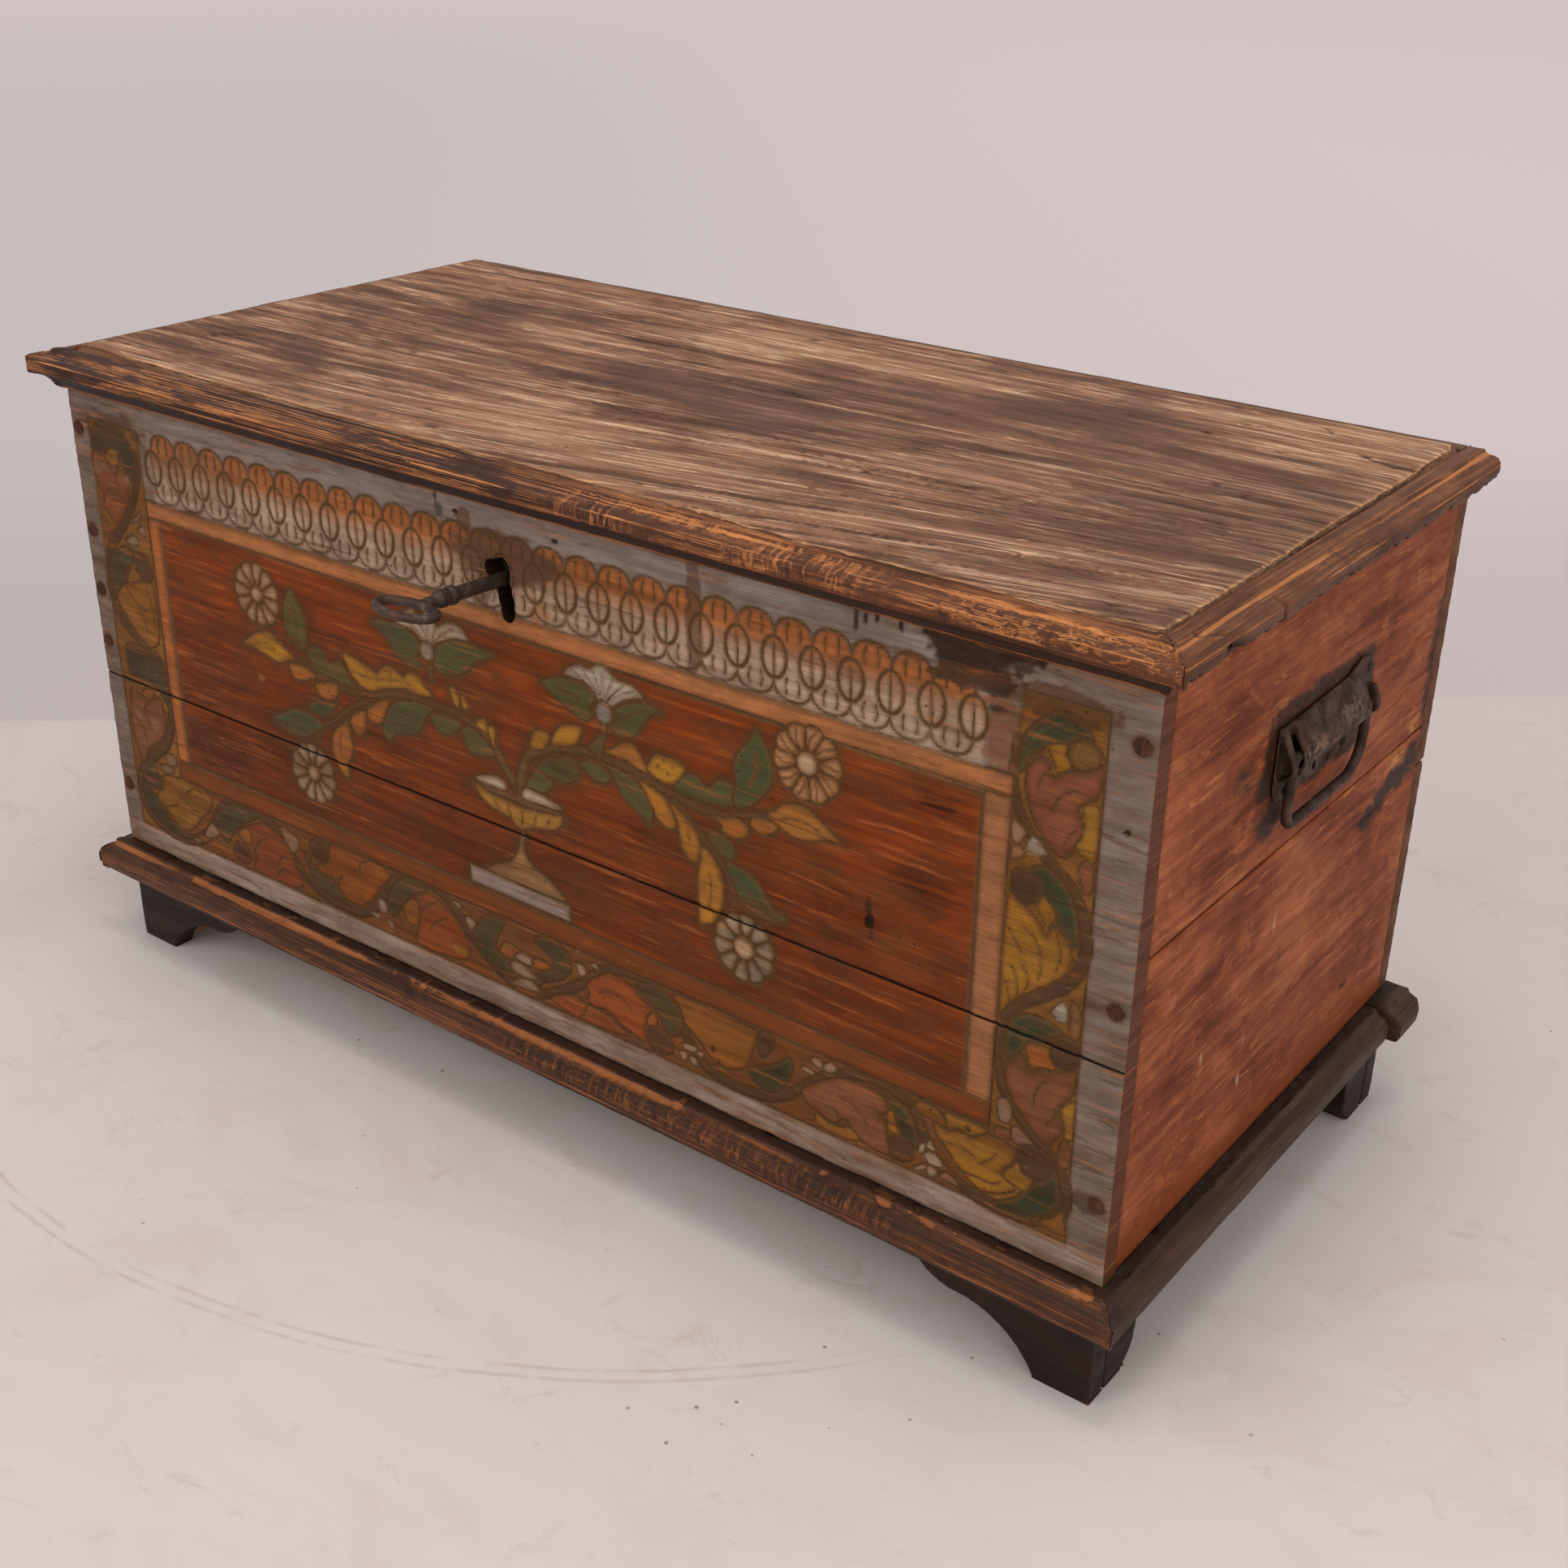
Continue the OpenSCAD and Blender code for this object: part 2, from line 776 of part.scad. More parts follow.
module hinge_pin(side) {
    far = knuckle_mid / 2 + knuckle_gap + knuckle_end;
    x = side * hinge_x;
    color("#5a504b")
        translate([0, shift_y, 0]) {
            rod_x(hinge_pin_r, x - far - 1.5, x + far + 1.5, hinge_y, hinge_z);
            rod_x(hinge_pin_r + 0.8, x + far + 0.3, x + far + 1.5, hinge_y, hinge_z);
            rod_x(hinge_pin_r + 0.8, x - far - 1.5, x - far - 0.3, hinge_y, hinge_z);
        }
}

module hinge_pin_right() { hinge_pin(1); }
module hinge_pin_left() { hinge_pin(-1); }

module hinge_leaf_nails() {
    color("#2c2624")
        translate([0, shift_y, 0])
            at_leaf_nails()
                nail(nail_l);
}

module hinge_strap_nails() {
    color("#2c2624")
        translate([0, shift_y, 0])
            at_strap_nails()
                nail(nail_l);
}

// Handles, drawn for the right end with X outwards from the end planks and Z from the pivot

module at_end(side) {
    translate([0, shift_y, 0])
        mirror([side > 0 ? 0 : 1, 0, 0])
            translate([half_w, handle_y, top_z - handle_drop])
                children();
}

// Section through the folded ridge of the plate: X outwards, Y up
module ridge_section() {
    front_x = pivot_out + bail_r + bail_gap + plate_t;
    polygon([[0, 20], [plate_t, 20], [plate_t + 1.4, 19], [front_x - 1.6, 3], [front_x, -2],
             [front_x - 0.8, -6.5], [plate_t + 2.2, -13], [plate_t, -14], [0, -14]]);
}

// Section through the hollow at each end of the ridge and of its cheeks
module pocket_section() {
    inner_x = pivot_out + bail_r + bail_gap;
    polygon([[plate_t, 14], [inner_x - 1.6, 3], [inner_x, -1.5], [inner_x - 0.8, -5], [plate_t, -10.5]]);
}

// A length of the ridge between two places along Y
module ridge_part(y0, y1) {
    translate([0, y1, 0])
        rotate([90, 0, 0])
            linear_extrude(y1 - y0)
                children();
}

module handle_plate(side) {
    h = ridge_half;
    w = plate_half;
    pocket_l = 10;
    color("#4b423e")
        at_end(side)
            difference() {
                union() {
                    rotate([90, 0, 90])
                        linear_extrude(plate_t)
                            polygon([[-w, -18], [-w, 15], [-w + 2, 19.5], [w - 33, 21.5], [w - 23, 25],
                                     [w - 12, 27.5], [w + 1, 23.5], [w + 7, 16.5], [w + 4, 9.5], [w - 4, 5],
                                     [w - 2, -3], [w - 6, -10], [w - 12, -14], [w - 26, -24.5], [10, -27],
                                     [-24, -27.5], [-w + 5, -26]]);
                    ridge_part(-h, h)
                        ridge_section();
                    ridge_part(-w, -cheek_in)
                        ridge_section();
                    intersection() {
                        ridge_part(cheek_in, w - 2)
                            ridge_section();
                        block([0, cheek_in, -10], [half_w, w, 9]);
                    }
                }
                for (y = [-h - E, h - bail_pin_l])
                    rod_y(bail_r + bail_gap, pivot_out, y, y + bail_pin_l + E, 0);
                for (y = [-h - E, h - pocket_l])
                    ridge_part(y, y + pocket_l + E)
                        pocket_section();
                ridge_part(-w - E, -w + 4.5)
                    pocket_section();
                for (p = torn_holes)
                    rod_x(2.2, -E, plate_t + E, p[0], p[1]);
                translate([-half_w, -handle_y, handle_drop - top_z])
                    at_handle_nails(1)
                        nail_hole(nail_l);
            }
}

module handle_plate_right() { handle_plate(1); }
module handle_plate_left() { handle_plate(-1); }

// One quarter of a bend of the bail, in the plane of the bail
module bail_corner(r) {
    rotate_extrude(angle = 90)
        translate([r, 0])
            circle(r = bail_r, $fn = 24);
}

// One leg of the bail towards +Y, with its turned-in end and its lower corner
module bail_leg(bend) {
    straight = bail_drop - pin_bend - bend;
    rod_y(bail_r, 0, bail_half - bail_pin_l, bail_half - pin_bend, 0);
    translate([0, bail_half - pin_bend, -pin_bend])
        rotate([90, 0, 90])
            bail_corner(pin_bend);
    translate([0, bail_half, -pin_bend - straight])
        cylinder(r = bail_r, h = straight);
    translate([0, bail_half - bend, -pin_bend - straight])
        rotate([0, 90, 0])
            bail_corner(bend);
}

module handle_bail(side) {
    color("#3b3330")
        at_end(side)
            translate([pivot_out, 0, 0]) {
                bail_leg(bail_bend);
                mirror([0, 1, 0])
                    bail_leg(bail_bend_front);
                rod_y(bail_r, 0, bail_bend_front - bail_half, bail_half - bail_bend, -bail_drop);
            }
}

module handle_bail_right() { handle_bail(1); }
module handle_bail_left() { handle_bail(-1); }

module handle_nails(side) {
    color("#2c2624")
        translate([0, shift_y, 0])
            at_handle_nails(side)
                nail(nail_l, handle_nail_head);
}

module handle_nails_right() { handle_nails(1); }
module handle_nails_left() { handle_nails(-1); }

// Lock

module lock_back_plate() {
    guide_y = bolt_y0 + bolt_t + 2;
    color("#4a4441")
        translate([0, shift_y, 0]) {
            difference() {
                block([case_left - 10, -plate_in, lock_low], [case_right + 10, -case_in, lock_top]);
                keyhole(shank_r + 0.3, slot_w, -plate_in - E, -case_in + E);
                at_lock_nails()
                    nail_hole(nail_l);
            }
            for (x = [case_left + 10, tongue_x - 8]) {
                block([x, -case_in - E, bolt_z - bolt_h / 2 - 2.6], [x + 5, guide_y, bolt_z - bolt_h / 2 - 0.3]);
                block([x, -case_in - E, bolt_z + bolt_h / 2 + 0.3], [x + 5, guide_y, bolt_z + bolt_h / 2 + 2.6]);
            }
        }
}

module lock_case() {
    back_y = -case_back;
    color("#4f4845")
        translate([0, shift_y, 0])
            difference() {
                block([case_left, -case_in, lock_low + 4], [case_right, back_y + case_t, lock_top]);
                block([case_left + case_t, -case_in - E, lock_low + 4 + case_t],
                      [case_right - case_t, back_y, lock_top - case_t]);
                block([tongue_x - 1, -case_in - E, lock_top - case_t - E],
                      [tongue_x + tongue_t + 1, back_y - 0.1, lock_top + E]);
                rod_y(3, key_x, back_y - E, back_y + case_t + E, key_axis_z(back_y + case_t / 2));
            }
}

module lock_bolt() {
    low = bolt_z - bolt_h / 2;
    color("#6a625e")
        translate([0, shift_y, 0]) {
            block([key_x - 46, bolt_y0, low], [bolt_end, bolt_y0 + bolt_t, low + bolt_h]);
            block([notch_left - lug_w, bolt_y0, lug_low], [notch_left, bolt_y0 + bolt_t, low + E]);
            block([notch_right, bolt_y0, lug_low], [notch_right + lug_w, bolt_y0 + bolt_t, low + E]);
        }
}

// A bowed leaf that presses on the bolt, held by a stud on the back plate
module lock_spring() {
    leaf_t = 0.8;
    low = bolt_z + bolt_h / 2 + 0.3;
    half_l = 18;
    rise = 4;
    r = (half_l * half_l + rise * rise) / (2 * rise);
    a = asin(half_l / r);
    color("#7a7370")
        translate([0, shift_y, 0])
            translate([key_x, bolt_y0 + bolt_t, low + r]) {
                rotate([90, 0, 0])
                    linear_extrude(bolt_t)
                        polygon(concat(arc(0, 0, r, -90 - a, -90 + a, 12),
                                       arc(0, 0, r - leaf_t, -90 + a, -90 - a, 12)));
                translate([-half_l, -bolt_t - (bolt_y0 + case_in), rise - r])
                    cube([4, bolt_t + (bolt_y0 + case_in), 3]);
            }
}

module lock_nails() {
    color("#2c2624")
        translate([0, shift_y, 0])
            at_lock_nails()
                nail(nail_l);
}

module lock_staple() {
    side_w = 11;
    y0 = -case_in + 1.5;
    color("#4f4845")
        translate([0, shift_y, 0])
            difference() {
                union() {
                    block([tongue_x - side_w, y0, top_z - staple_plate_t],
                          [tongue_x + tongue_t + side_w, -case_back + 20, top_z]);
                    block([tongue_x, y0, tongue_low], [tongue_x + tongue_t, -case_back - 0.6, top_z]);
                }
                block([tongue_x - E, bolt_y0 - 1, bolt_z - bolt_h / 2 - eye_gap],
                      [tongue_x + tongue_t + E, bolt_y0 + bolt_t + 1, bolt_z + bolt_h / 2 + eye_gap]);
                at_staple_nails()
                    nail_hole(nail_l);
            }
}

module staple_nails() {
    color("#2c2624")
        translate([0, shift_y, 0])
            at_staple_nails()
                nail(nail_l);
}

// Key, drawn with Z outwards from the front face along the shank and the bow in the X-Z plane

// One arc of the bow's iron, swept about a point of its plane
module bow_arc(x, z, r, a0, a1) {
    translate([x, 0, z])
        rotate([90, 0, 0])
            rotate([0, 0, a0])
                rotate_extrude(angle = a1 - a0)
                    translate([r, 0])
                        circle(r = bow_r, $fn = 24);
}

module bow() {
    end_r = bow_b * 0.68;
    end_x = bow_a - end_r;
    rise = bow_b - end_r;
    side_c = (end_x * end_x - rise * rise) / (2 * rise);
    side_r = bow_b + side_c;
    side_a = atan(end_x / side_c);
    for (s = [-1, 1]) {
        bow_arc(s * end_x, 0, end_r, s > 0 ? -90 + side_a : 90 + side_a, s > 0 ? 90 - side_a : 270 - side_a);
        bow_arc(0, -s * side_c, side_r, s * 90 - side_a, s * 90 + side_a);
        for (t = [-1, 1])
            translate([s * (end_x + end_r * sin(side_a)), 0, t * end_r * cos(side_a)])
                sphere(r = bow_r + 0.15, $fn = 24);
    }
}

module key() {
    bit_z = -board_t - case_t - bit_y0;
    end_z = -board_t - case_t - case_room + 1;
    tip_z = -board_t - 2 * case_t - case_room;
    neck_z = bow_out - bow_b;
    color("#36302e")
        translate([0, shift_y, 0])
            translate([key_x, -half_d, key_z])
                rotate([90 - key_tilt, 0, 0])
                    difference() {
                        union() {
                            translate([0, 0, end_z])
                                cylinder(r = shank_r, h = neck_z - 26 - end_z);
                            translate([0, 0, tip_z])
                                cylinder(r = 2.6, h = end_z - tip_z + E);
                            rotate_extrude()
                                polygon([[0, neck_z - 28], [shank_r, neck_z - 28], [shank_r + 1.6, neck_z - 26],
                                         [shank_r + 1.6, neck_z - 22.5], [shank_r, neck_z - 21],
                                         [shank_r + 1.2, neck_z - 19], [shank_r + 1.2, neck_z - 14],
                                         [shank_r - 1, neck_z - 10.5], [shank_r - 0.8, neck_z - 5],
                                         [shank_r - 1.8, neck_z], [0, neck_z]]);
                            translate([0, 0, bow_out])
                                bow();
                            translate([-bit_r, -bit_t / 2, bit_z - bit_w])
                                cube([bit_r - shank_r + 1.5, bit_t, bit_w]);
                        }
                        translate([-bit_r + 6, -bit_t, bit_z - 3])
                            cube([2, 2 * bit_t, 4]);
                        translate([-bit_r + 9, -bit_t, bit_z - bit_w - 1])
                            cube([2, 2 * bit_t, 4.5]);
                    }
}

front_board_upper();
front_board_lower();
back_board_upper();
back_board_lower();
right_board_upper();
right_board_lower();
left_board_upper();
left_board_lower();
bottom_board_front();
bottom_board_rear();
front_pegs();
back_pegs();
lid_board();
lid_moulding_front();
lid_moulding_right();
lid_moulding_left();
lid_rear_rail();
base_moulding_front();
base_moulding_right();
base_moulding_left();
base_rear_plank();
foot_face_front_right();
foot_face_front_left();
foot_face_rear_right();
foot_face_rear_left();
foot_return_front_right();
foot_return_front_left();
foot_return_rear_right();
foot_return_rear_left();
glue_block_front_right();
glue_block_front_left();
glue_block_rear_right();
glue_block_rear_left();
hinge_leaf_right();
hinge_leaf_left();
hinge_strap_right();
hinge_strap_left();
hinge_pin_right();
hinge_pin_left();
hinge_leaf_nails();
hinge_strap_nails();
handle_plate_right();
handle_plate_left();
handle_bail_right();
handle_bail_left();
handle_nails_right();
handle_nails_left();
lock_back_plate();
lock_case();
lock_bolt();
lock_spring();
lock_nails();
lock_staple();
staple_nails();
key();
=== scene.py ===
import math

import bmesh
import bpy
import numpy as np
from mathutils import Matrix, Vector
from mathutils.bvhtree import BVHTree
from mathutils.geometry import tessellate_polygon


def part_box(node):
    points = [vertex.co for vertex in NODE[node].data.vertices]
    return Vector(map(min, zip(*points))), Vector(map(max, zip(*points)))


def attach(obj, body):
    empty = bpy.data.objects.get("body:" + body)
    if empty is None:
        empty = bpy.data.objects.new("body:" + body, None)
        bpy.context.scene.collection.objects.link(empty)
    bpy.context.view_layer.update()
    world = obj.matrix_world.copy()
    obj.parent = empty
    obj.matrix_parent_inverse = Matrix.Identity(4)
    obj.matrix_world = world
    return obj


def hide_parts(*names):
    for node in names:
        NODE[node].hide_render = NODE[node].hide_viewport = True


# An old plank chest. Its visible pieces are worn copies of CAD nodes, or dense faces that lie inside them.
# Lengths are in mm until they are written to a mesh. Heights count from the carcase's lower edge.

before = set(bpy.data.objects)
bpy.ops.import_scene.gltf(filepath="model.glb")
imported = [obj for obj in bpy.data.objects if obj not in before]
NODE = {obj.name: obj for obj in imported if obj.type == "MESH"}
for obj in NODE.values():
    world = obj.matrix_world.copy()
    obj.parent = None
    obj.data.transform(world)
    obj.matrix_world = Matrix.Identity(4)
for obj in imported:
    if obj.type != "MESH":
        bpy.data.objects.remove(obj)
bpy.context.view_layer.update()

BASE = 85.0  # height of the carcase's lower edge above the floor
HALF_W = 425.0  # half the carcase's width
HALF_D = 202.0  # half its depth
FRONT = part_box("front_board_upper")[0][1] * 1000  # y of the painted face
FRONT_THICK = 16
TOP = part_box("front_board_upper")[1][2] * 1000 - BASE
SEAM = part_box("front_board_lower")[1][2] * 1000 - BASE
SHIFT = FRONT + HALF_D  # the carcase's middle in frame y
NO_GROOVE = 9.0  # a distance to the nearest groove that leaves no mark
NO_SHAPE = 30.0  # the same for the nearest painted shape
HASH_FACTORS = (374761393, 668265263, 1442695041, 982451653)
HASH_STIR = 1274126177
HASH_BITS = 0x7FFFFFFF


# Numbers


def lin(r, g, b):
    """A colour written in sRGB, 0 to 255, as the linear numbers the nodes take."""
    shares = [c / 255 for c in (r, g, b)]
    return tuple(v / 12.92 if v <= 0.04045 else ((v + 0.055) / 1.055) ** 2.4 for v in shares)


def hashed(ix, iy, iz, seed):
    """A fixed number from 0 to 1 for each whole place and seed."""
    fx, fy, fz, fs = HASH_FACTORS
    h = (ix * fx + iy * fy + iz * fz + seed * fs) & HASH_BITS
    h = ((h ^ (h >> 13)) * HASH_STIR) & HASH_BITS
    return ((h ^ (h >> 16)) & 0xFFFF) / 65535.0


def vnoise(x, y, z=0.0, seed=0):
    """Smooth value noise from 0 to 1."""
    x, y, z = np.broadcast_arrays(np.asarray(x, float), np.asarray(y, float), np.asarray(z, float))
    i = [np.floor(a).astype(np.int64) for a in (x, y, z)]
    f = [a - b for a, b in zip((x, y, z), i)]
    s = [a * a * (3 - 2 * a) for a in f]
    out = 0
    for dx in (0, 1):
        for dy in (0, 1):
            for dz in (0, 1):
                w = (s[0] if dx else 1 - s[0]) * (s[1] if dy else 1 - s[1]) * (s[2] if dz else 1 - s[2])
                out = out + w * hashed(i[0] + dx, i[1] + dy, i[2] + dz, seed)
    return out


def fbm(x, y, z=0.0, seed=0, octaves=4, gain=0.5):
    """Value noise in layers, each twice as fine as the last."""
    total, amp, norm = 0, 1.0, 0.0
    for k in range(octaves):
        fx, fy, fz = (np.asarray(a) * 2**k for a in (x, y, z))
        total = total + amp * vnoise(fx, fy, fz, seed + 17 * k)
        norm += amp
        amp *= gain
    return total / norm


def step(a, b, v):
    """A soft step of v, from 0 at a to 1 at b."""
    t = np.clip((v - a) / (b - a), 0, 1)
    return t * t * (3 - 2 * t)


def curve(points, closed=True, n=6):
    """A smooth line through the points, closed or open."""
    p = np.array(points, float)
    count = len(p)
    if count < 3:
        return np.array([p[0] + (p[-1] - p[0]) * k / n for k in range(n + 1)])
    out = []
    spans = range(count if closed else count - 1)
    for i in spans:
        if closed:
            a, b, c, d = p[i - 1], p[i], p[(i + 1) % count], p[(i + 2) % count]
        else:
            a, b, c, d = p[max(i - 1, 0)], p[i], p[i + 1], p[min(i + 2, count - 1)]
        for k in range(n):
            t = k / n
            square, cube = 2 * a - 5 * b + 4 * c - d, 3 * b - a - 3 * c + d
            out.append(0.5 * (2 * b + (c - a) * t + square * t * t + cube * t**3))
    if not closed:
        out.append(p[-1])
    return np.array(out)


def line_distance(x, z, pts, closed):
    """Distance from each place to a line, and where it lies inside a closed one."""
    a = pts
    b = np.roll(pts, -1, 0) if closed else pts[1:]
    a = a if closed else pts[:-1]
    best = np.full(x.shape, 1e9)
    inside = np.zeros(x.shape, bool)
    for (ax, az), (bx, bz) in zip(a, b):
        dx, dz = bx - ax, bz - az
        long = dx * dx + dz * dz
        if long < 1e-9:
            continue
        t = np.clip(((x - ax) * dx + (z - az) * dz) / long, 0, 1)
        best = np.minimum(best, (x - ax - t * dx) ** 2 + (z - az - t * dz) ** 2)
        if closed and az != bz:
            cross = (az > z) != (bz > z)
            inside ^= cross & (x < ax + (z - az) * dx / dz)
    return np.sqrt(best), inside


# The painted front, from its middle and its lower edge


class Canvas:
    """Colour, groove distance and depth of the carved front at given places."""

    def __init__(self, x, z):
        self.x, self.z = x, z
        self.col = np.zeros(x.shape + (3,))
        self.line = np.full(x.shape, NO_GROOVE)
        self.sunk = np.zeros(x.shape)
        self.ground = np.full(x.shape, NO_SHAPE)  # distance to the nearest painted shape
        self.worn = np.zeros(x.shape)

    def near(self, pts, pad):
        """Which places lie in the box round the points."""
        lo, hi = pts.min(0) - pad, pts.max(0) + pad
        return (self.x > lo[0]) & (self.x < hi[0]) & (self.z > lo[1]) & (self.z < hi[1])

    def fill(self, points, colour, outline=True, soft=0.8, dome=1.1, smooth=True, mark=True, mix=1.0,
            edge=None):
        """A painted shape, often with a darker border and a groove round it."""
        pts = curve(points, n=4) if smooth else np.array(points, float)
        m = self.near(pts, 12)
        if not m.any():
            return
        x, z = self.x[m], self.z[m]
        d, inside = line_distance(x, z, pts, True)
        sd = np.where(inside, d, -d)
        a = (step(-soft, soft, sd) * mix)[:, None]
        tone = np.array(lin(*colour))
        if edge is not None:
            k = step(0.5, 4.5, sd)[:, None]
            tone = np.array(lin(*edge)) * (1 - k) + tone * k
        self.col[m] = self.col[m] * (1 - a) + tone * a
        if mark:
            self.ground[m] = np.minimum(self.ground[m], np.maximum(-sd, 0))
        if outline:
            old = np.where(sd > 0.6, NO_GROOVE, self.line[m])
            self.line[m] = np.minimum(old, np.abs(sd))
            lift = np.where(sd > 0, 0.35 * np.exp(-sd / dome), 0)
            self.sunk[m] = np.where(sd > 0, lift, self.sunk[m])

    def stroke(self, points, width=0.9, colour=None, mix=0.9, smooth=True, groove=True, closed=False):
        """A cut or painted line."""
        pts = curve(points, closed=closed, n=6) if smooth else np.array(points, float)
        m = self.near(pts, 8)
        if not m.any():
            return
        d, _ = line_distance(self.x[m], self.z[m], pts, closed)
        if colour is not None:
            a = (step(width + 0.7, width - 0.4, d) * mix)[:, None]
            self.col[m] = self.col[m] * (1 - a) + np.array(lin(*colour)) * a
        if groove:
            self.line[m] = np.minimum(self.line[m], np.maximum(d - width + 0.9, 0))

    def ribbon(self, points, widths, colour, edge):
        """A stem: a band of changing width along a line."""
        pts = curve(points, closed=False, n=6)
        w = np.interp(np.linspace(0, 1, len(pts)), np.linspace(0, 1, len(widths)), widths)
        t = np.gradient(pts, axis=0)
        t /= np.linalg.norm(t, axis=1)[:, None] + 1e-9
        nrm = np.c_[-t[:, 1], t[:, 0]] * (w / 2)[:, None]
        self.fill(np.r_[pts + nrm, (pts - nrm)[::-1]], colour, smooth=False, edge=edge, dome=1.6)

    def blot(self, cx, cz, rx, rz, colour, mix=0.8, rag=0.35, seed=0):
        """A ragged patch of stain or bare wood."""
        q = np.hypot((self.x - cx) / rx, (self.z - cz) / rz)
        q = q + (fbm(self.x / 9, self.z / 5, 0, seed) - 0.5) * 2 * rag
        a = (step(1.15, 0.85, q) * mix)[..., None]
        self.col[:] = self.col * (1 - a) + np.array(lin(*colour)) * a


IVORY = (190, 168, 146)
YELLOW = (180, 124, 38)
OLIVE = (88, 80, 45)
BROWN = (104, 74, 48)
LEAF_YELLOW = (178, 124, 40)
LEAF_ORANGE = (172, 102, 46)
GREEN_EDGE = (92, 84, 52)  # border of a green leaf
WARM_EDGE = (146, 96, 40)  # border of a yellow or orange one

STRIP_STEM_RIGHT = [(349, 310), (347.6, 292), (349, 278), (354, 265), (363, 254), (374, 244), (385, 235),
    (393, 222), (396.5, 206), (394.5, 190), (387, 178), (374, 167), (361, 157), (352, 146), (350, 134),
    (351, 118), (355, 103), (363, 91), (374, 81), (386, 71), (395, 60), (398.6, 48), (396.5, 36), (388, 27),
    (372, 22.5), (352, 22), (334, 25), (318, 32), (308, 44), (302, 58), (292, 67), (276, 70.5), (258, 68),
    (240, 60), (226, 49), (214, 37), (200, 28)]
STRIP_STEM_LEFT = [(-357, 320), (-356, 304), (-361, 290), (-369, 276), (-380, 262), (-391, 250), (-400, 237),
    (-404, 222), (-404.5, 207), (-400, 193), (-390, 182), (-376, 174), (-362, 167), (-353, 155),
    (-350.5, 140), (-352, 124), (-357, 108), (-365, 95), (-378, 84), (-390, 74), (-399, 62), (-402.5, 48),
    (-398, 35), (-387, 26), (-370, 21.5), (-350, 22), (-334, 28), (-322, 38), (-312, 52), (-302, 65),
    (-288, 71.5), (-268, 71.5), (-250, 67), (-238, 57), (-228, 45), (-216, 34), (-200, 27)]
BOTTOM_STEM_RIGHT = [(214, 37), (196, 26.5), (176, 23.5), (156, 25), (143, 31), (132, 44), (124, 57),
    (112, 67), (96, 71.5), (78, 70), (62, 62), (48, 50), (34, 39), (18, 30), (6, 24)]
BOTTOM_STEM_LEFT = [(-216, 34), (-200, 26.5), (-180, 24), (-162, 26), (-148, 34), (-138, 46), (-128, 60),
    (-114, 71), (-96, 74), (-80, 71), (-64, 60), (-52, 47), (-40, 36), (-26, 28), (-14, 23.5)]


def oval(cx, cz, rx, rz, n):
    """Points on an oval, from its top."""
    turns = np.linspace(0, 2 * math.pi, n, endpoint=False)
    return [(cx + rx * math.sin(t), cz + rz * math.cos(t)) for t in turns]


def paint_strips(c):
    """Vine scrolls down both sides and along the bottom."""
    ground = (150, 104, 48)
    c.fill([(345.5, 18.5), (400.5, 18.5), (399, 120), (398.6, 335), (350, 335), (346.5, 200)], ground,
        smooth=False, dome=1)
    c.fill([(-405, 19), (-350.6, 19), (-350.6, 335), (-404.5, 335), (-406, 180)], ground, smooth=False,
        dome=1)
    c.fill([(-352, 20), (348, 20), (348, 71.5), (160, 72.5), (-100, 76), (-352, 74)], (132, 82, 44),
        smooth=False, dome=1)
    for stem, w in ((STRIP_STEM_RIGHT, [4, 6.5, 7.5, 7, 7.5, 8, 7.5, 8.5, 7.5, 7, 5.5]),
            (STRIP_STEM_LEFT, [6, 7, 8, 7.5, 8, 8, 9, 8, 6]), (BOTTOM_STEM_RIGHT, [8, 7.5, 7, 7.5, 6]),
            (BOTTOM_STEM_LEFT, [7, 7.5, 8, 7, 6])):
        c.ribbon(stem, w, (104, 76, 50), (84, 60, 40))
    for part in (right_strip, lower_right_corner, bottom_right, bottom_middle, bottom_left, left_strip):
        part(c)


